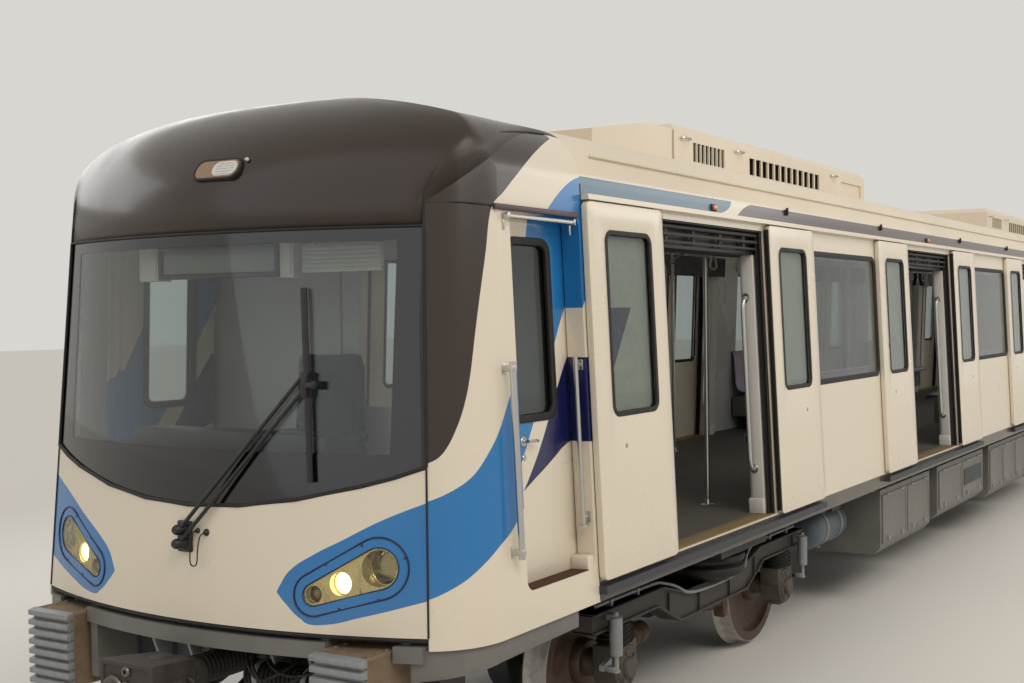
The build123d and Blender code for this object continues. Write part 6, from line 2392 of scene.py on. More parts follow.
@dataclass
class FrontCoupler:
    """Automatic coupler: eye, shank with bellows, head with cone, cup and electric box, and air hoses."""

    pivot: float = 8.950
    z: float = 0.825
    face: float = 9.885
    half: float = 0.170

    def build(self) -> None:
        """Model the coupler's pieces; all swing together."""
        body = "front_coupler"
        hand_over(self.shank(), BOGIE_STEEL, body, ("coupler_front",))
        hand_over(self.head(), BOGIE_STEEL, body)
        hand_over(self.bright(), COUPLER_FACE, body)
        hand_over(self.bellows(), BLACK_RUBBER, body)
        for number, y in enumerate((-0.120, 0.120), 1):
            hand = 1 if y > 0 else -1
            points = (
                (9.590, y, 0.775), (9.555, y + hand * 0.004, 0.768), (9.500, y + hand * 0.006, 0.740),
                (9.440, y - hand * 0.005, 0.715), (9.370, y - hand * 0.030, 0.708),
                (9.300, y - hand * 0.050, 0.718), (9.245, y - hand * 0.058, 0.745),
                (9.205, y - hand * 0.062, 0.775))
            cord_piece(f"coupler_hose_{number}", points, 0.013, body)

    def shank(self) -> Obj:
        """Eye on the anchor's pin, stepped shank and its collars."""
        eye = turned("eye", (
            (0.0365, -0.0447), (0.100, -0.0447), (0.105, -0.038), (0.105, 0.038), (0.100, 0.0448),
            (0.0365, 0.0448), (0.0365, -0.0447)), (0, 0, 1), (self.pivot, 0.0, self.z), 40)
        bar = turned("bar", (
            (0.0, 0.090), (0.040, 0.090), (0.044, 0.100), (0.044, 0.172), (0.072, 0.182), (0.072, 0.235),
            (0.050, 0.243), (0.050, 0.530), (0.072, 0.540), (0.072, 0.600), (0.062, 0.606), (0.062, 0.660),
            (0.0, 0.660)), (1, 0, 0), (self.pivot, 0.0, self.z), 32)
        parts = [eye, bar]
        for x in (0.200, 0.568):
            for i in range(8):
                angle = 2 * math.pi * i / 8
                y, z = 0.062 * math.cos(angle), self.z + 0.062 * math.sin(angle)
                parts.append(rod(
                    "bolt", (self.pivot + x - 0.026, y, z), (self.pivot + x + 0.050, y, z), 0.006, 6))
        lug = block("lug", (9.190, -0.075, self.z - 0.060), (9.222, 0.075, self.z - 0.030))
        parts.append(soften(lug, 0.004, 2))
        return join("coupler_shank", parts)

    def bellows(self) -> Obj:
        """Ribbed rubber gaiter over the shank's draw gear."""
        profile = [(0.0505, 0.0), (0.060, 0.0)]
        count, length = 12, 0.285
        for i in range(count):
            start = 0.004 + i * (length - 0.008) / count
            step = (length - 0.008) / count
            profile += [
                (0.058, start), (0.070, start + 0.35 * step), (0.070, start + 0.55 * step),
                (0.058, start + 0.95 * step)]
        profile += [(0.060, length), (0.0505, length), (0.0505, 0.0)]
        return turned("coupler_bellows", profile, (1, 0, 0), (9.194, 0.0, self.z), 32)

    def head(self) -> Obj:
        """Cast head: a body that flares to the face, side lugs, hook horn and the electric box under it."""
        body = block("head", (9.600, -0.120, 0.735), (9.850, 0.120, 0.925))
        edit(body)
        pick_faces(body, lambda c, n: n.x > 0.5)
        bpy.ops.transform.resize(value=(1.0, 1.36, 1.32))
        push((0.020, 0.0, 0.0))
        bpy.ops.mesh.inset(thickness=0.022, depth=0.0)
        push((-0.008, 0.0, 0.0))
        done()
        parts = [soften(body, 0.010, 3)]
        for hand in (-1, 1):
            lug = block("lug", (9.700, hand * 0.135 - 0.022, 0.790), (9.800, hand * 0.135 + 0.022, 0.860))
            parts.append(soften(lug, 0.010, 3))
        horn = block("horn", (9.640, -0.030, 0.915), (9.760, 0.060, 0.950))
        edit(horn)
        pick_faces(horn, lambda c, n: n.z > 0.5)
        bpy.ops.transform.resize(value=(0.6, 0.7, 1.0))
        done()
        parts.append(soften(horn, 0.006, 2))
        shutter = block("electric_box", (9.690, -0.110, 0.697), (9.862, 0.110, 0.738))
        sink(shutter, lambda c, n: n.x > 0.5, 0.006, (-0.005, 0.0, 0.0))
        parts.append(soften(shutter, 0.004, 2))
        handle = tube(
            "release", ((9.660, 0.118, 0.850), (9.660, 0.150, 0.852), (9.650, 0.163, 0.835),
            (9.640, 0.165, 0.790)), 0.007)
        parts.append(handle)
        return join("coupler_head", parts)

    def bright(self) -> Obj:
        """Machined cone, cup ring, hook plate and air valves of the face."""
        x = 9.861
        cone = turned(
            "cone", ((0.0, 0.022), (0.020, 0.019), (0.040, 0.008), (0.055, -0.006), (0.058, -0.014),
            (0.0, -0.014)), (1, 0, 0), (x, 0.085, self.z), 32)
        cup = turned("cup", (
            (0.052, 0.014), (0.062, 0.014), (0.066, 0.008), (0.066, -0.014), (0.020, -0.010), (0.0, -0.010),
            (0.0, -0.006), (0.030, -0.002), (0.052, 0.014)), (1, 0, 0), (x, -0.085, self.z), 32)
        hook = block("hook_plate", (x - 0.004, -0.012, self.z - 0.080), (x + 0.016, 0.012, self.z + 0.050))
        parts = [cone, cup, soften(hook, 0.005, 2)]
        for y, z in ((0.0, 0.916), (0.0, 0.752)):
            parts.append(turned("valve", (
                (0.010, 0.014), (0.020, 0.014), (0.024, 0.008), (0.024, -0.006), (0.0, -0.006), (0.0, 0.002),
                (0.010, 0.002), (0.010, 0.014)), (1, 0, 0), (x, y, z), 20))
        return join("coupler_face", parts)


# ---- On the roof and its edge ---------------------------------------------------------------------

@dataclass
class RoofDetails:
    """Lids, handles, cables and grilles of the roof units, lamps over the doors and clips on the cantrail."""

    units: Sequence[float] = (4.440, -3.780)
    half_length: float = 1.845
    half_width: float = 0.800
    top: float = 3.650
    lamp_z: float = 3.043
    panels: Sequence[Sequence[float]] = (
        (-0.725, 0.667, 3.418, 3.540, 12, 0.026, 0.040), (1.092, 1.572, 3.424, 3.550, 8, 0.014, 0.022))

    def build(self) -> None:
        """Model every system."""
        for number, x in enumerate(self.units, 1):
            self.unit(number, x)
        self.door_lamps()
        self.clips()
        self.ribs()

    def unit(self, number: int, x: float) -> None:
        """Fans with guards on top, lid seams, painted shade in the fan wells and behind the grille bars, side
        handles and bolts of one unit.
        """
        # dark gathers the lid seams and the painted shade: near-black discs in the fan wells and near-black
        # sheets behind the grille bars.
        metal, dark, fans = [], [], []
        for dx in (-1.20, -0.40, 0.40, 1.20):
            place = (x + dx, 0.0, self.top)
            bowl = turned("fan_ring", (
                (0.270, -0.004), (0.300, -0.004), (0.305, 0.012), (0.296, 0.022), (0.278, 0.022),
                (0.270, 0.012), (0.270, -0.004)), (0, 0, 1), place, 40)
            fans.append(bowl)
            # Near-black disc inside the fan ring: painted shade of the fan opening.
            dark.append(turned(
                "fan_well", ((0.0, 0.0012), (0.272, 0.0012), (0.272, -0.002), (0.0, -0.002)), (0, 0, 1),
                place, 40))
            for radius in (0.06, 0.11, 0.16, 0.21, 0.25):
                metal.append(turned("guard", (
                    (radius - 0.003, 0.018), (radius, 0.021), (radius + 0.003, 0.018), (radius, 0.015),
                    (radius - 0.003, 0.018)), (0, 0, 1), place, 32))
            for i in range(4):
                angle = math.pi * i / 4
                dx2, dy2 = 0.275 * math.cos(angle), 0.275 * math.sin(angle)
                metal.append(rod(
                    "spoke", (place[0] - dx2, -dy2, self.top + 0.0145),
                    (place[0] + dx2, dy2, self.top + 0.0145), 0.004, 6))
        for dx in (-1.62, -0.80, 0.0, 0.80, 1.62):
            seam = block(
                "seam", (x + dx - 0.004, -0.735, self.top - 0.001), (x + dx + 0.004, 0.735, self.top + 0.004))
            dark.append(seam)
        for hand in (-1, 1):
            # Near-black sheets at the back of the grille recesses: painted shade behind the bars.
            for x0, x1, z0, z1, count, bar, depth in self.panels:
                pitch = (x1 - x0 + bar) / count
                inner = sorted((
                    hand * (self.half_width - depth - 0.0005), hand * (self.half_width - depth + 0.003)))
                for i in range(count):
                    start = x + x0 + i * pitch
                    back = block("back", (start + 0.0008, inner[0], z0 + 0.0008),
                                 (start + pitch - bar - 0.0008, inner[1], z1 - 0.0008))
                    dark.append(back)
            y = hand * self.half_width
            for dx in (-1.05, 0.86, 1.70):
                z = 3.560
                grip = tube("grip", (
                    (x + dx - 0.06, y, z), (x + dx - 0.055, y + hand * 0.030, z),
                    (x + dx, y + hand * 0.036, z), (x + dx + 0.055, y + hand * 0.030, z),
                    (x + dx + 0.06, y, z)), 0.007, True, 6)
                metal.append(grip)
            for i in range(12):
                bx = x - self.half_length + 0.08 + i * (2 * self.half_length - 0.16) / 11
                metal.append(turned(
                    "bolt", ((0.0, 0.009), (0.009, 0.009), (0.011, 0.006), (0.011, -0.003), (0.0, -0.003)),
                    (0, hand, 0), (bx, y, 3.405), 6))
        hand_over(join(f"roof_unit_fans_{number}", fans), ROOF_PAINT, "carbody")
        hand_over(join(f"roof_unit_metal_{number}", metal), STAINLESS, "carbody")
        hand_over(join(f"roof_unit_wells_{number}", dark), SHADE_AND_SEAM_BLACK, "carbody")
        front = x - self.half_length
        for index, (y0, reach) in enumerate(((0.30, 0.30), (0.42, 0.24)), 1):
            z0 = 3.560 - index * 0.03
            floor = 3.478 - (y0 ** 2) / 8.4
            points = (
                (front + 0.008, y0, z0), (front - 0.06, y0, z0), (front - 0.13, y0 + 0.01, z0 - 0.010),
                (front - 0.20, y0 + 0.05, floor + 0.055), (front - reach, y0 + 0.16, floor + 0.030),
                (front - 0.20, y0 + 0.27, floor + 0.020), (front - 0.13, y0 + 0.31, z0 - 0.045),
                (front - 0.06, y0 + 0.32, z0 - 0.030), (front + 0.008, y0 + 0.32, z0 - 0.030))
            cord_piece(f"roof_cable_{number}_{index}", points, 0.010, "carbody")

    def door_lamps(self) -> None:
        """Orange door lamps on the cantrail, each a moulded lens on its base."""
        for side in Side:
            bases, lenses = [], []
            for x in DOOR_X:
                v = lean_v(self.lamp_z)
                base = block("base", (x - 0.034, v - 0.020, -0.002), (x + 0.034, v + 0.020, 0.008))
                sink(base, lambda c, n: n.z > 0.5, 0.004, (0.0, 0.0, 0.002))
                bases.append(soften(base, 0.003, 2))
                lens = plate("lens", (0.052, 0.028), 0.010, (0.006, 0.022), (x, v), 6)
                lenses.append(soften(lens, 0.006, 3))
            base = move(join(f"door_lamp_bases_{side.word}", bases), side.place())
            lens = move(join(f"door_lamps_{side.word}", lenses), side.place())
            hand_over(base, BLACK_PLASTIC, "carbody")
            hand_over(lens, ORANGE_LENS, "carbody")

    def clips(self) -> None:
        """Small folded clips on the bronze band."""
        for side in Side:
            parts = []
            for door in DOOR_X:
                for dx in (-1.118, -3.091):
                    v = lean_v(3.086)
                    pad = block(
                        "pad", (door + dx - 0.022, v - 0.022, -0.002), (door + dx + 0.022, v + 0.018, 0.005))
                    fold = block(
                        "fold", (door + dx - 0.006, v - 0.018, 0.003), (door + dx + 0.006, v + 0.030, 0.020))
                    parts += [soften(pad, 0.002, 2), soften(fold, 0.003, 2)]
            piece = move(join(f"cantrail_clips_{side.word}", parts), side.place())
            hand_over(piece, BLACK_PLASTIC, "carbody")

    def ribs(self) -> None:
        """Drip strips along the roof, left and right, and the aerial pad between the units."""
        for hand in (1, -1):
            points = []
            for i in range(41):
                x = 8.10 - i * (8.10 + 9.40) / 40
                points.append((x, hand * 1.2705, 3.214))
            strip = bead(f"roof_drip_{'left' if hand > 0 else 'right'}", points, 0.006, 2)
            hand_over(strip, ROOF_PAINT, "carbody")
        base = 3.4735
        pad = turned(
            "pad", ((0.0, 0.030), (0.060, 0.028), (0.082, 0.018), (0.090, 0.0), (0.090, -0.012),
            (0.0, -0.012)), (0, 0, 1), (0.30, 0.0, base), 32)
        fin = turned(
            "fin", ((0.0, 0.110), (0.012, 0.104), (0.018, 0.080), (0.024, 0.030), (0.034, 0.014),
            (0.0, 0.014)), (0, 0, 1), (0.30, 0.0, base + 0.010), 20)
        hand_over(join("roof_aerial", (pad, fin)), BLACK_PLASTIC, "carbody")


# ---- Running gear ----------------------------------------------------------------------------------

@dataclass
class Wheelsets:
    """Four wheelsets turned in one profile: flange, tread, dished web, hub, axle and journal."""

    radius: float = 0.425
    back: float = 0.680
    steps: int = 72

    def build(self) -> None:
        """Turn one wheelset and copy it to the four axles."""
        half = (
            (0.0, 1.075), (0.058, 1.075), (0.065, 1.066), (0.065, 0.912), (0.072, 0.900), (0.080, 0.835),
            (0.118, 0.835), (0.125, 0.828), (0.130, 0.775), (0.150, 0.760), (0.300, 0.752), (0.335, 0.760),
            (0.350, 0.780), (0.355, 0.815), (0.418, 0.815), (0.421, 0.812), (0.423, 0.760), (0.425, 0.730),
            (0.430, 0.718), (0.440, 0.706), (0.4495, 0.696), (0.453, 0.690), (0.4495, 0.683), (0.444, 0.680),
            (0.360, 0.680), (0.352, 0.690), (0.345, 0.715), (0.300, 0.728), (0.150, 0.732), (0.130, 0.722),
            (0.125, 0.665), (0.118, 0.660), (0.084, 0.660), (0.080, 0.640))
        profile = list(half) + [(r, -y) for r, y in reversed(half)]
        one = turned("wheelset", profile, (0, 1, 0), (0.0, 0.0, 0.0), self.steps)
        number = 0
        for bogie in (BOGIE_X, -BOGIE_X):
            for dx in (AXLE_X, -AXLE_X):
                number += 1
                twin = copy_to(one, f"wheels_{number}", shift(bogie + dx, 0.0, AXLE_Z))
                node = f"wheelset_{number}"
                hand_over(twin, WHEEL_FINISH, node, (node,), 40.0)
        bpy.data.objects.remove(one)


@dataclass
class Bogies:
    """Welded bogie with flanged side beams, axleboxes, springs, motors, brake units and dampers."""

    end_z: Pair = (0.702, 0.812)
    mid_z: Pair = (0.560, 0.730)
    reach: float = 1.480
    beam_y: float = 1.000
    half_width: float = 0.080
    axle: float = AXLE_X
    flange: float = 0.014

    def build(self) -> None:
        """Model one bogie and copy every part to both ends."""
        parts = {
            "frame": (self.frame(), BOGIE_STEEL, "bogie_steel", "bogie_frame_"),
            "boxes": (self.boxes(), AXLEBOX_PAINT, "bogie_steel", "axleboxes_"),
            "springs": (self.springs(), BLACK_RUBBER, "rubber", "springs_"),
            "motors": (self.motors(), CASE_DARK, "bogie_steel", "motors_"),
            "brakes": (self.brakes(), BRAKE_IRON, "bogie_steel", ""),
            "dampers": (self.dampers(), GALVANISED, "bogie_steel", ""),
        }
        for word, x in (("front", BOGIE_X), ("rear", -BOGIE_X)):
            for part, (mesh, finish, slot, stem) in parts.items():
                twin = copy_to(mesh, f"bogie_{part}_{word}", shift(x))
                hand_over(twin, finish, f"bogie_{word}", (stem + word,) if stem else (), 38.0)
        for mesh, *_ in parts.values():
            bpy.data.objects.remove(mesh)

    def frame(self) -> Obj:
        """Side beams as web and flanges, transom with its pivot hole, and gussets."""
        (e0, e1), (m0, m1), t = self.end_z, self.mid_z, self.flange
        low = [(0.0, m0), (0.48, m0), (0.76, e0), (self.reach, e0)]
        high = [(self.reach, e1), (0.70, e1), (0.42, m1), (0.0, m1)]
        low = [(-x, z) for x, z in reversed(low[1:])] + low
        high = high + [(-x, z) for x, z in reversed(high[:-1])]
        web = low + high
        under = low + [(x, z + t) for x, z in reversed(low)]
        over = [(x, z - t) for x, z in reversed(high)] + high
        parts = []
        for hand in (-1, 1):
            y = hand * self.beam_y
            parts.append(slab("web", web, y - self.half_width + 0.022, y + self.half_width - 0.022))
            for strip in (under, over):
                parts.append(soften(
                    slab("flange", strip, y - self.half_width, y + self.half_width), 0.003, 2))
            for x in (-1.30, -0.62, -0.22, 0.22, 0.62, 1.30):
                z0, z1 = (e0, e1) if abs(x) > 0.72 else ((m0 + 0.07, e1 - 0.04) if abs(x) > 0.5 else (m0, m1))
                rib = block(
                    "rib", (x - 0.006, y - self.half_width + 0.006, z0 + t),
                    (x + 0.006, y + self.half_width - 0.006, z1 - t))
                parts.append(rib)
        transom = block("transom", (-0.220, -0.930, 0.500), (0.220, 0.930, 0.690))
        edit(transom)
        pick_faces(transom, lambda c, n: abs(n.x) > 0.5)
        bpy.ops.mesh.inset(thickness=0.022, depth=0.0)
        bpy.ops.mesh.extrude_region_shrink_fatten(TRANSFORM_OT_shrink_fatten={"value": -0.020})
        done()
        soften(transom, 0.004, 2)
        tool = rod("tool", (0.0, 0.0, 0.40), (0.0, 0.0, 0.80), 0.086, 48)
        activate(transom)
        cut = transom.modifiers.new("cut", "BOOLEAN")
        cut.object = tool
        cut.solver = "EXACT"
        bpy.ops.object.modifier_apply(modifier="cut")
        bpy.data.objects.remove(tool)
        parts.append(transom)
        collar = turned(
            "collar", ((0.088, 0.0), (0.130, 0.0), (0.136, -0.008), (0.136, -0.030), (0.088, -0.030),
            (0.088, 0.0)), (0, 0, 1), (0.0, 0.0, 0.718), 40)
        parts.append(collar)
        return join("bogie_frame", parts)

    def boxes(self) -> Obj:
        """Axleboxes with rounded cases, ribs and bolted end covers round the bore."""
        parts = []
        for dx in (-self.axle, self.axle):
            for hand in (-1, 1):
                y = hand * self.beam_y
                case = turned("case", (
                    (0.0652, -0.080), (0.112, -0.080), (0.120, -0.072), (0.120, 0.072), (0.112, 0.080),
                    (0.0652, 0.080), (0.0652, -0.080)), (0, 1, 0), (dx, y, AXLE_Z), 40)
                wing = slab("wing", (
                    (dx - 0.125, AXLE_Z + 0.02), (dx - 0.125, AXLE_Z + 0.135), (dx + 0.125, AXLE_Z + 0.135),
                    (dx + 0.125, AXLE_Z + 0.02), (dx + 0.105, AXLE_Z + 0.045), (dx + 0.060, AXLE_Z + 0.108),
                    (dx, AXLE_Z + 0.124), (dx - 0.060, AXLE_Z + 0.108), (dx - 0.105, AXLE_Z + 0.045)),
                    y - 0.070, y + 0.070)
                parts += [case, soften(wing, 0.004, 2)]
                cover = turned("cover", (
                    (0.0, 0.030), (0.050, 0.030), (0.058, 0.022), (0.062, 0.006), (0.100, 0.006),
                    (0.104, 0.0), (0.104, -0.002), (0.0, -0.002)), (0, hand, 0),
                    (dx, y + hand * 0.0815, AXLE_Z), 36)
                parts.append(cover)
                for i in range(6):
                    angle = math.pi * i / 3 + 0.26
                    bx, bz = dx + 0.084 * math.cos(angle), AXLE_Z + 0.084 * math.sin(angle)
                    parts.append(turned(
                        "bolt", ((0.0, 0.016), (0.009, 0.016), (0.011, 0.013), (0.011, 0.004), (0.0, 0.004)),
                        (0, hand, 0), (bx, y + hand * 0.0815, bz), 6))
                foot = slab("foot", (
                    (dx - 0.070, AXLE_Z - 0.098), (dx + 0.070, AXLE_Z - 0.098), (dx + 0.050, AXLE_Z - 0.134),
                    (dx - 0.050, AXLE_Z - 0.134)), y - 0.050, y + 0.050)
                parts.append(soften(foot, 0.005, 2))
        return join("axleboxes", parts)

    def springs(self) -> Obj:
        """Layered rubber springs on the boxes and two-fold air bellows on the beams."""
        parts = []
        low, high = AXLE_Z + 0.1355, self.end_z[0] - 0.0005
        for hand in (-1, 1):
            y = hand * self.beam_y
            for dx in (-self.axle, self.axle):
                profile = [(0.0, 0.0)]
                layers = 4
                step = (high - low) / layers
                for i in range(layers):
                    start = i * step
                    profile += [
                        (0.100, start + 0.002), (0.105, start + 0.005), (0.105, start + 0.009),
                        (0.092, start + 0.012), (0.088, start + 0.6 * step), (0.092, start + step - 0.002)]
                profile += [(0.098, high - low), (0.0, high - low)]
                parts.append(turned("spring", profile, (0, 0, 1), (dx, y, low), 36))
            base, top = self.mid_z[1] + 0.0005, 0.9245
            tall = top - base
            profile = (
                (0.0, 0.0), (0.165, 0.0), (0.170, 0.010), (0.180, 0.022), (0.228, 0.030), (0.252, 0.050),
                (0.258, 0.072), (0.250, 0.092), (0.226, 0.102), (0.222, 0.107), (0.228, 0.112),
                (0.250, 0.122), (0.258, 0.140), (0.250, 0.160), (0.228, 0.172), (0.215, 0.176), (0.215, tall),
                (0.0, tall))
            parts.append(turned("air_spring", profile, (0, 0, 1), (0.0, y, base), 56))
        return join("bogie_springs", parts)

    def motors(self) -> Obj:
        """Finned traction motors with terminal boxes, and gear cases with split flange."""
        parts = []
        for side in (1, -1):
            mx, ax = side * 0.585, side * self.axle
            y0, y1 = -0.330 * side, 0.250 * side
            profile = [(0.0, 0.0), (0.150, 0.0), (0.165, 0.006), (0.168, 0.040)]
            fins = 15
            for i in range(fins):
                start = 0.050 + i * 0.032
                profile += [
                    (0.172, start), (0.190, start + 0.003), (0.190, start + 0.013), (0.172, start + 0.016)]
            profile += [(0.168, 0.540), (0.165, 0.574), (0.150, 0.580), (0.0, 0.580)]
            parts.append(turned("motor", profile, (0, side, 0), (mx, y0, AXLE_Z), 40))
            box_part = block(
                "terminal", (mx - 0.09, min(y0, y1) + 0.16, AXLE_Z + 0.150),
                (mx + 0.09, max(y0, y1) - 0.22, AXLE_Z + 0.205))
            parts.append(soften(box_part, 0.008, 2))
            arm = slab(
                "arm", ((side * 0.2205, 0.520), (side * 0.585, 0.400), (side * 0.585, 0.560),
                (side * 0.2205, 0.640)), min(y0, y1) + 0.10, max(y0, y1) - 0.10)
            parts.append(soften(arm, 0.006, 2))
            g0, g1 = sorted((0.262 * side, 0.420 * side))
            case = turned("gear", (
                (0.086, g0), (0.200, g0), (0.216, g0 + 0.010), (0.225, g0 + 0.030), (0.225, g1 - 0.030),
                (0.216, g1 - 0.010), (0.200, g1), (0.086, g1), (0.086, g0)), (0, 1, 0), (ax, 0.0, AXLE_Z), 44)
            nose = turned(
                "nose", ((0.0, g0), (0.140, g0), (0.150, g0 + 0.012), (0.150, g1 - 0.012), (0.140, g1),
                (0.0, g1)), (0, 1, 0), (mx, 0.0, AXLE_Z), 36)
            link = rod("link", (mx, y1 - 0.005 * side, AXLE_Z), (mx, 0.267 * side, AXLE_Z), 0.100, 32)
            neck = slab("neck", (
                (mx, AXLE_Z - 0.140), (ax - side * 0.140, AXLE_Z - 0.165),
                (ax - side * 0.140, AXLE_Z + 0.165), (mx, AXLE_Z + 0.140)), g0 + 0.004, g1 - 0.004)
            parts += [case, nose, link, soften(neck, 0.006, 2)]
            rim = slab("rim", (
                (mx - side * 0.155, AXLE_Z - 0.008), (ax - side * 0.098, AXLE_Z - 0.008),
                (ax - side * 0.098, AXLE_Z + 0.008), (mx - side * 0.155, AXLE_Z + 0.008)), g0 - 0.010,
                g1 + 0.010)
            parts.append(rim)
        return join("motors", parts)

    def brakes(self) -> Obj:
        """Tread brake units: hanger, cylinder with clamped cover, push rod and a curved shoe."""
        parts = []
        for end in (-1, 1):
            for hand in (-1, 1):
                y = hand * 0.760
                wheel = end * self.axle
                count = 8
                arc = []
                for radius in (0.434, 0.478):
                    ring_points = []
                    for i in range(count + 1):
                        angle = math.radians(-20 + 40 * i / count)
                        ring_points.append((
                            wheel - end * radius * math.cos(angle), AXLE_Z + radius * math.sin(angle)))
                    arc.append(ring_points)
                shoe = slab("shoe", arc[0] + arc[1][::-1], y - 0.040, y + 0.040)
                parts.append(soften(shoe, 0.004, 2))
                head_x = wheel - end * 0.478
                head = block("head", (min(head_x, head_x - end * 0.030), y - 0.028, AXLE_Z - 0.075),
                             (max(head_x, head_x - end * 0.030), y + 0.028, AXLE_Z + 0.075))
                parts.append(soften(head, 0.006, 2))
                cylinder = turned("cylinder", (
                    (0.0, 0.0), (0.018, 0.0), (0.018, 0.050), (0.058, 0.056), (0.070, 0.070), (0.070, 0.120),
                    (0.078, 0.124), (0.078, 0.136), (0.070, 0.140), (0.066, 0.220), (0.050, 0.238),
                    (0.0, 0.240)), (-end, 0, 0), (head_x - end * 0.028, y, AXLE_Z), 28)
                parts.append(cylinder)
                hanger = slab("hanger", (
                    (head_x - end * 0.010, AXLE_Z + 0.06), (head_x - end * 0.034, AXLE_Z + 0.06),
                    (head_x - end * 0.120, 0.660), (head_x - end * 0.085, 0.660)), y + 0.030, y + 0.046)
                bracket = block("bracket", (min(end * 0.21, head_x - end * 0.09), y - 0.030, 0.560),
                                (max(end * 0.21, head_x - end * 0.09), y + 0.050, 0.672))
                edit(bracket)
                pick_faces(bracket, lambda c, n, end=end: n.x * end > 0.5)
                bpy.ops.transform.resize(value=(1.0, 1.0, 0.55), center_override=(0.0, y, 0.672))
                done()
                parts += [hanger, soften(bracket, 0.005, 2)]
        return join("brakes", parts)

    def dampers(self) -> Obj:
        """Vertical dampers at the axleboxes, bolster dampers, and the brake pipe along each beam."""
        parts = []
        for hand in (-1, 1):
            y = hand * (self.beam_y + self.half_width + 0.046)
            for end in (-1, 1):
                x = end * 1.345
                parts.append(turned("damper", (
                    (0.0, 0.0), (0.020, 0.0), (0.020, 0.014), (0.014, 0.018), (0.014, 0.090), (0.034, 0.094),
                    (0.036, 0.100), (0.036, 0.300), (0.028, 0.306), (0.014, 0.310), (0.014, 0.330),
                    (0.0, 0.332)), (0, 0, 1), (x, y, 0.478), 20))
                for z in (0.495, 0.780):
                    ear = block(
                        "ear", (x - 0.022, min(y, y - hand * 0.052), z - 0.016),
                        (x + 0.022, max(y, y - hand * 0.052), z + 0.016))
                    parts.append(soften(ear, 0.004, 2))
                arm = slab("arm", (
                    (x - 0.022, 0.479), (x + 0.022, 0.479), (x + 0.022, 0.511), (end * 1.262, 0.540),
                    (end * 1.262, 0.505)), hand * (self.beam_y + 0.030), hand * (self.beam_y + 0.058))
                parts.append(outward(arm))
            z = 0.838
            pipe = tube("pipe", (
                (-1.40, hand * 1.030, z), (-0.72, hand * 1.030, z), (-0.64, hand * 1.030, z - 0.02),
                (-0.50, hand * 1.056, 0.776), (-0.40, hand * 1.095, 0.700), (0.40, hand * 1.095, 0.700),
                (0.50, hand * 1.056, 0.776), (0.64, hand * 1.030, z - 0.02), (0.72, hand * 1.030, z),
                (1.40, hand * 1.030, z)), 0.011, True, 5)
            parts.append(pipe)
            for x in (-1.25, -0.95, 0.95, 1.25):
                clip = block(
                    "clip", (x - 0.012, hand * 1.030 - 0.018, 0.808),
                    (x + 0.012, hand * 1.030 + 0.018, z + 0.014))
                parts.append(soften(clip, 0.003, 2))
        return join("dampers", parts)


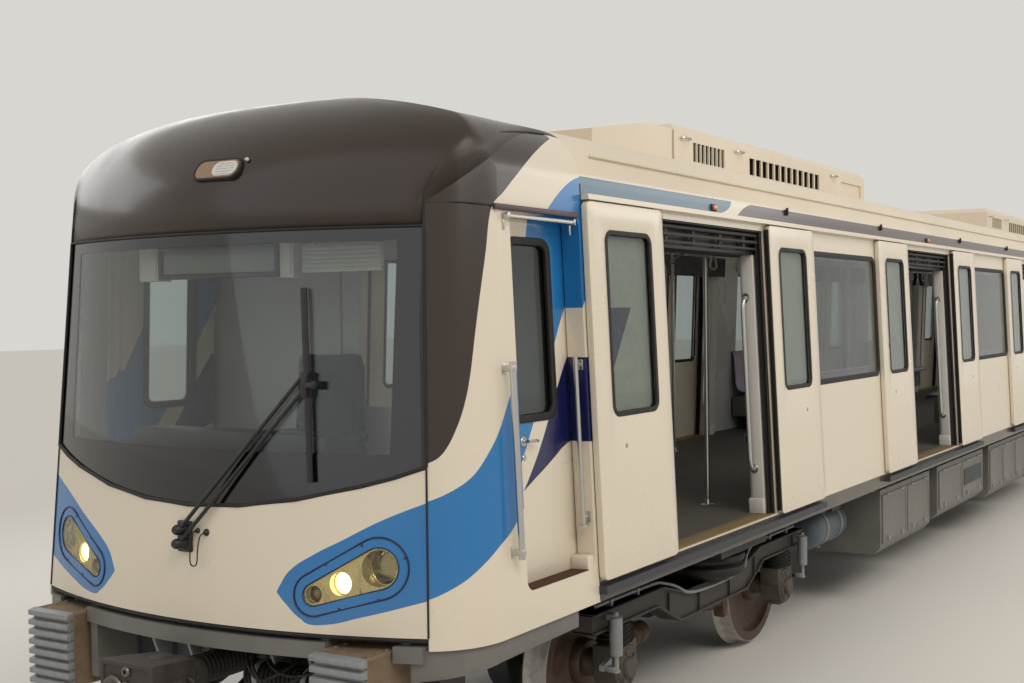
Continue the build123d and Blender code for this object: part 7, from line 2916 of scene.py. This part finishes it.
@dataclass
class Underfloor:
    """Lids, latches and louvres of the equipment cases, reservoirs, pipes and cable trough."""

    bearer: float = 0.960

    def build(self) -> None:
        """Model the fittings of every case, then the tanks and pipes."""
        lids, metal, grilles = [], [], []
        for number in range(7):
            low, high = CASES[number][:2], CASES[number][2:]
            self.case(low, high, lids, metal, grilles, number % 2 == 1)
        hand_over(join("case_lids", lids), CASE_GREY, "carbody")
        hand_over(join("case_latches", metal), GALVANISED, "carbody")
        hand_over(join("case_grilles", grilles), CASE_DARK, "carbody")
        self.tanks()
        self.pipes()

    def case(
        self, x: Pair, place: Sequence[float], lids: list, metal: list, grilles: list, louvred: bool,
    ) -> None:
        """Row of sunk lids with two latches and hinges each, on the outer face of one case."""
        y0, y1, bottom = place
        hand = 1 if y0 > 0 else -1
        face = y1 if hand > 0 else y0
        count = max(2, round((x[1] - x[0]) / 0.70))
        width = (x[1] - x[0] - 0.06) / count
        low, high = bottom + 0.085, self.bearer - 0.045
        for i in range(count):
            left = x[0] + 0.03 + i * width + 0.012
            right = left + width - 0.024
            lid = block(
                "lid", (left, face - 0.002 if hand > 0 else face - 0.012, low),
                (right, face + 0.012 if hand > 0 else face + 0.002, high))
            sink(lid, lambda c, n, hand=hand: n.y * hand > 0.5, 0.028, (0.0, -hand * 0.005, 0.0))
            lids.append(soften(lid, 0.003, 2))
            out = face + hand * 0.012
            for share in (0.22, 0.78):
                cx = left + (right - left) * share
                latch = block(
                    "latch", (cx - 0.018, min(face, out + hand * 0.010), low + 0.006),
                    (cx + 0.018, max(face, out + hand * 0.010), low + 0.052))
                metal.append(soften(latch, 0.004, 2))
                hinge = rod(
                    "hinge", (cx - 0.045, out, high - 0.006), (cx + 0.045, out, high - 0.006), 0.008, 10)
                metal.append(hinge)
            if louvred and i % 2 == 0:
                for k in range(7):
                    z = low + 0.12 + k * (high - low - 0.20) / 7
                    slat = block("slat", (left + 0.07, min(face + hand * 0.004, out + hand * 0.006), z),
                                 (right - 0.07, max(face + hand * 0.004, out + hand * 0.006), z + 0.020))
                    edit(slat)
                    pick_faces(slat, lambda c, n: n.z > 0.5)
                    bpy.ops.transform.translate(value=(0.0, -hand * 0.006, 0.0))
                    done()
                    grilles.append(soften(slat, 0.002, 1))

    def tanks(self) -> None:
        """Air reservoirs with domed ends hung in straps across the middle."""
        parts, straps = [], []
        for x0, x1, y, z, radius in (
            (-4.55, -3.60, -1.02, 0.700, 0.165), (-4.55, -3.60, -0.62, 0.700, 0.165),
            (3.85, 4.55, 0.95, 0.735, 0.150),
        ):
            long = x1 - x0
            profile = (
                (0.0, 0.0), (0.55 * radius, 0.012), (0.85 * radius, 0.040), (radius, 0.085),
                (radius, long - 0.085), (0.85 * radius, long - 0.040), (0.55 * radius, long - 0.012),
                (0.0, long))
            parts.append(turned("tank", profile, (1, 0, 0), (x0, y, z), 40))
            for x in (x0 + 0.20, x1 - 0.20):
                ring_part = turned("strap", (
                    (radius + 0.0005, -0.020), (radius + 0.005, -0.020), (radius + 0.005, 0.020),
                    (radius + 0.0005, 0.020), (radius + 0.0005, -0.020)), (1, 0, 0), (x, y, z), 40)
                stay = block(
                    "stay", (x - 0.020, y - 0.050, z + radius - 0.004), (x + 0.020, y + 0.050, 1.0595))
                straps += [ring_part, soften(stay, 0.004, 2)]
            drain = turned(
                "drain", ((0.0, 0.0), (0.016, 0.0), (0.016, 0.020), (0.024, 0.024), (0.024, 0.034),
                (0.0, 0.036)), (0, 0, -1), ((x0 + x1) / 2, y, z - radius + 0.004), 12)
            straps.append(drain)
        hand_over(join("air_reservoirs", parts), TANK_PAINT, "carbody")
        hand_over(join("reservoir_straps", straps), GALVANISED, "carbody")

    def pipes(self) -> None:
        """Two air pipes and a cable trough under the floor, with clamps."""
        parts = []
        for y, z, radius in ((0.420, 0.936, 0.014), (0.460, 0.936, 0.011), (-0.430, 0.934, 0.016)):
            parts.append(tube("pipe", ((-5.80, y, z), (5.80, y, z)), radius, False, 6))
            for i in range(10):
                x = -4.95 + i * 1.1
                clamp = block(
                    "clamp", (x - 0.014, y - radius - 0.010, z - radius - 0.006),
                    (x + 0.014, y + radius + 0.010, 0.9605))
                parts.append(soften(clamp, 0.003, 1))
        hand_over(join("underfloor_pipes", parts), GALVANISED, "carbody")


@dataclass
class RearEnd:
    """Folded gangway bellows, closed jumper sockets, tail lamps and grab handles of the rear end."""

    half: float = 0.450
    top: float = 3.070
    floor: float = FLOOR_Z
    folds: int = 4

    def build(self) -> None:
        """Model the bellows in the CAD ring's place and the rest around it."""
        self.bellows()
        self.jumpers()
        self.lamps()

    def bellows(self) -> None:
        """Folds as rings in turn wide and narrow, ending in the steel frame."""
        low, high = self.floor - 0.060, self.top + 0.090
        middle = (0.0, (low + high) / 2)
        opening = (2 * self.half, self.top - self.floor)
        hole = (0.0, (self.top + self.floor) / 2)
        turn = Matrix(((0, 0, -1, REAR_X), (1, 0, 0, 0), (0, 1, 0, 0), (0, 0, 0, 1)))
        parts = []
        depth = 0.125 / self.folds
        for i in range(self.folds):
            for wide, share in ((0.172, 0.52), (0.120, 0.52)):
                start = i * depth + (0.0 if wide > 0.15 else 0.48 * depth)
                fold = ring(
                    "fold", (opening[0] + wide, high - low - (0.18 - wide) * 0.5), 0.09, opening, 0.05,
                    (start, start + share * depth), middle, hole, 6)
                parts.append(soften(fold, 0.005, 2))
        folds = join("gangway_folds", parts)
        folds.data.transform(turn)
        hand_over(outward(folds), GANGWAY_RUBBER, "carbody")
        face = ring(
            "gangway_frame", (opening[0] + 0.18, high - low), 0.09, opening, 0.05, (0.127, 0.160), middle,
            hole, 8)
        soften(face, 0.004, 2)
        face.data.transform(turn)
        hand_over(outward(face), ALUMINIUM, "carbody", ("gangway",))

    def jumpers(self) -> None:
        """Closed jumper sockets on the end wall."""
        sockets = []
        for y, z in ((0.720, 1.260), (0.860, 1.260), (-0.720, 1.260), (-0.860, 1.260)):
            socket = turned("socket", (
                (0.0, 0.050), (0.026, 0.050), (0.030, 0.044), (0.030, 0.030), (0.040, 0.026), (0.044, 0.008),
                (0.060, 0.006), (0.060, -0.004), (0.0, -0.004)), (-1, 0, 0), (REAR_X, y, z), 24)
            sockets.append(socket)
        hand_over(join("jumper_sockets", sockets), CASE_DARK, "carbody")

    def lamps(self) -> None:
        """Tail lamps and grab handles on the end wall."""
        lamps, rails = [], []
        for hand in (-1, 1):
            for z, r in ((1.420, 0.055), (1.560, 0.045)):
                lamps.append(turned(
                    "tail", ((0.0, 0.022), (0.6 * r, 0.020), (0.9 * r, 0.012), (r, 0.002), (r, -0.003),
                    (0.0, -0.003)), (-1, 0, 0), (REAR_X, hand * 1.120, z), 28))
            rails.append(tube("rail", (
                (-9.483, hand * 0.66, 1.50), (-9.535, hand * 0.66, 1.505), (-9.545, hand * 0.66, 1.56),
                (-9.545, hand * 0.66, 2.24), (-9.535, hand * 0.66, 2.295), (-9.483, hand * 0.66, 2.30)),
                0.014))
        hand_over(join("tail_lamps", lamps), RED_LENS, "carbody")
        hand_over(join("end_handrails", rails), STAINLESS, "carbody")


# ---- Windows of the saloon ------------------------------------------------------------------

@dataclass
class SaloonWindows:
    """Black gaskets round the fixed side windows."""

    band: float = 0.030
    proud: float = 0.004

    def build(self) -> None:
        """One gasket ring for each window of each side."""
        height = lean_v(WINDOW_Z[1]) - lean_v(WINDOW_Z[0])
        middle = (lean_v(WINDOW_Z[0]) + lean_v(WINDOW_Z[1])) / 2
        for side in Side:
            rings = []
            for i, (x, width) in enumerate(SIDE_WINDOWS):
                lip = ring(
                    f"gasket_{i}", (width + 0.016, height + 0.016), 0.068,
                    (width - 2 * self.band, height - 2 * self.band), 0.040,
                    (-0.006, self.proud), (x, middle), (x, middle), 8)
                soften(lip, 0.003, 3)
                rings.append(lip)
            piece = move(join(f"window_gaskets_{side.word}", rings), side.place())
            hand_over(piece, BLACK_RUBBER, "carbody")


# ---- The studio --------------------------------------------------------------------------------

@dataclass
class Studio:
    """Pale floor, soft light from above and the left, and the camera at the photo's place."""

    eye: Point = (13.473, 4.559, 2.437)
    yaw: float = 3.63473447
    dip: float = 0.0245583
    roll: float = -0.0104275
    lens: float = 44.12
    sideways: float = -0.1465

    def build(self) -> None:
        """Place floor, light and camera."""
        self.camera()
        self.floor()
        self.world()
        self.sun("key", 0.95, 28.0, (0.35, 0.62, 0.70), "FFF4E6")
        self.sun("fill", 0.35, 60.0, (0.85, -0.25, 0.45), "EEF3FF")
        self.strip("strip_left", (1.0, 7.5, 5.6), (22.0, 2.2), 260.0)
        self.strip("strip_right", (1.0, -7.5, 5.6), (22.0, 2.2), 200.0)

    def camera(self) -> None:
        """Camera where the photo was taken from."""
        ahead = Vector((
            math.cos(self.yaw) * math.cos(self.dip), math.sin(self.yaw) * math.cos(self.dip),
            -math.sin(self.dip)))
        right = ahead.cross(Vector((0, 0, 1))).normalized()
        up = right.cross(ahead)
        across = right * math.cos(self.roll) + up * math.sin(self.roll)
        upright = -right * math.sin(self.roll) + up * math.cos(self.roll)
        data = bpy.data.cameras.new("camera")
        data.lens = self.lens
        data.sensor_width = 36.0
        data.sensor_fit = "HORIZONTAL"
        data.shift_x = self.sideways
        data.clip_start = 0.1
        data.clip_end = 400.0
        obj = bpy.data.objects.new("camera", data)
        turn = Matrix((across, upright, -ahead)).transposed().to_4x4()
        obj.matrix_world = Matrix.Translation(self.eye) @ turn
        bpy.context.scene.collection.objects.link(obj)
        bpy.context.scene.camera = obj

    def floor(self) -> None:
        """Plain pale floor that keeps the car's shadow."""
        obj = primitive(bpy.ops.mesh.primitive_plane_add, "studio_floor", size=160.0, location=(0, 0, -0.002))
        material = bpy.data.materials.new("studio_floor_paint")
        material.use_nodes = True
        tree = material.node_tree
        tree.nodes.clear()
        plain = add(tree, "ShaderNodeBsdfPrincipled", {}, {"Base Color": colour("D9D6D0"), "Roughness": 0.75})
        add(tree, "ShaderNodeOutputMaterial", {}, {"Surface": plain.outputs[0]})
        obj.data.materials.append(material)

    def world(self) -> None:
        """Even light from all round, a little brighter above; pale behind the car."""
        world = bpy.data.worlds.new("studio")
        bpy.context.scene.world = world
        world.use_nodes = True
        tree = world.node_tree
        tree.nodes.clear()
        direction = add(tree, "ShaderNodeTexCoord").outputs["Generated"]
        up = add(tree, "ShaderNodeSeparateXYZ", {}, {0: direction}).outputs[2]
        level = add(tree, "ShaderNodeMapRange", {}, {
            "Value": up, "From Min": -0.1, "From Max": 0.9, "To Min": 0.30, "To Max": 0.62})
        light = add(
            tree, "ShaderNodeBackground", {}, {"Color": colour("FFFDF8"), "Strength": level.outputs[0]})
        seen = add(tree, "ShaderNodeBackground", {}, {"Color": colour("D8D6D1"), "Strength": 1.0})
        rays = add(tree, "ShaderNodeLightPath").outputs
        through = compute(tree, "MAXIMUM", rays["Is Glossy Ray"], rays["Is Transmission Ray"])
        shown = compute(tree, "MAXIMUM", rays["Is Camera Ray"], through)
        mix = add(tree, "ShaderNodeMixShader", {}, {0: shown, 1: light.outputs[0], 2: seen.outputs[0]})
        add(tree, "ShaderNodeOutputWorld", {}, {"Surface": mix.outputs[0]})

    def sun(self, name: str, energy: float, spread: float, towards: Point, tint: str) -> None:
        """Soft distant lamp that shines from the given direction."""
        data = bpy.data.lights.new(name, "SUN")
        data.energy = energy
        data.angle = math.radians(spread)
        data.color = colour(tint)[:3]
        obj = bpy.data.objects.new(name, data)
        obj.rotation_euler = Vector(towards).to_track_quat("Z", "Y").to_euler()
        bpy.context.scene.collection.objects.link(obj)

    def strip(self, name: str, place: Point, size: Pair, energy: float) -> None:
        """Long soft box beside the car, for a clean line of light along its side."""
        data = bpy.data.lights.new(name, "AREA")
        data.shape = "RECTANGLE"
        data.size, data.size_y = size
        data.energy = energy
        obj = bpy.data.objects.new(name, data)
        obj.location = place
        aim = Vector((place[0], 0.0, 2.0)) - Vector(place)
        obj.rotation_euler = aim.to_track_quat("-Z", "Y").to_euler()
        bpy.context.scene.collection.objects.link(obj)


# ---- Finishes on the CAD nodes ----------------------------------------------------------------

NODE_FINISHES = {
    "underframe": FRAME_PAINT, "side_wall_left": WALL_PAINT, "side_wall_right": WALL_PAINT,
    "roof_shell": ROOF_PAINT, "rear_end_wall": CREAM_PAINT, "cab_side_left": CAB_PAINT,
    "cab_side_right": CAB_PAINT, "cab_front_panel": FRONT_PAINT, "cab_hood": HOOD_PAINT,
    "windscreen": SCREEN_GLASS, "headlamp_bowls": LAMP_PLATE, "headlamp_lenses": LENS_GLASS,
    "saloon_windows": GLASS, "gangway": BLACK_RUBBER, "coupler_front": BOGIE_STEEL,
    "coupler_rear": BOGIE_STEEL, "anti_climbers": CASE_GREY, "front_valance": CASE_GREY,
    "roof_units": ROOF_PAINT, "underfloor_boxes": CASE_GREY, "benches": SEAT_SHELL,
    "grab_poles": STAINLESS, "cab_partition": LINING, "partition_door": LINING, "cab_desk": BLACK_PLASTIC,
    "driver_seat": BLACK_PLASTIC, "cab_door_left": CAB_PAINT, "cab_door_right": CAB_PAINT,
    "cab_handrails": STAINLESS, "windscreen_wiper": BLACK_PLASTIC, "door_tracks": CREAM_PAINT,
    "door_sills": CASE_DARK,
}


def dress_frame() -> None:
    """Give every CAD node a finish."""
    for node, finish in NODE_FINISHES.items():
        dress(node, finish)
    for end in ("front", "rear"):
        dress("bogie_frame_" + end, BOGIE_STEEL)
        dress("axleboxes_" + end, BOGIE_STEEL)
        dress("springs_" + end, BLACK_RUBBER)
        dress("motors_" + end, BOGIE_STEEL)
    for number in range(1, 5):
        dress(f"wheelset_{number}", WHEEL_STEEL)
        for side in Side:
            for end in ("front", "rear"):
                dress(f"leaf_{side.word}_{number}_{end}", CREAM_PAINT)


def main() -> None:
    """Build the looks around the frame, piece by piece."""
    logging.basicConfig(level=logging.INFO, format="%(name)s: %(message)s")
    bpy.context.scene.view_settings.view_transform = "Standard"
    dress_frame()
    Studio().build()
    DoorLeaves().build()
    SaloonWindows().build()
    CabDoors().build()
    CabRecess().build()
    FrontTrim().build()
    HeadLamps().build()
    WiperDetails().build()
    Doorways().build()
    Benches().build()
    SaloonTrim().build()
    CabInside().build()
    AntiClimbers().build()
    BehindValance().build()
    FrontCoupler().build()
    RoofDetails().build()
    Wheelsets().build()
    Bogies().build()
    Underfloor().build()
    RearEnd().build()


if __name__ == "__main__":
    main()
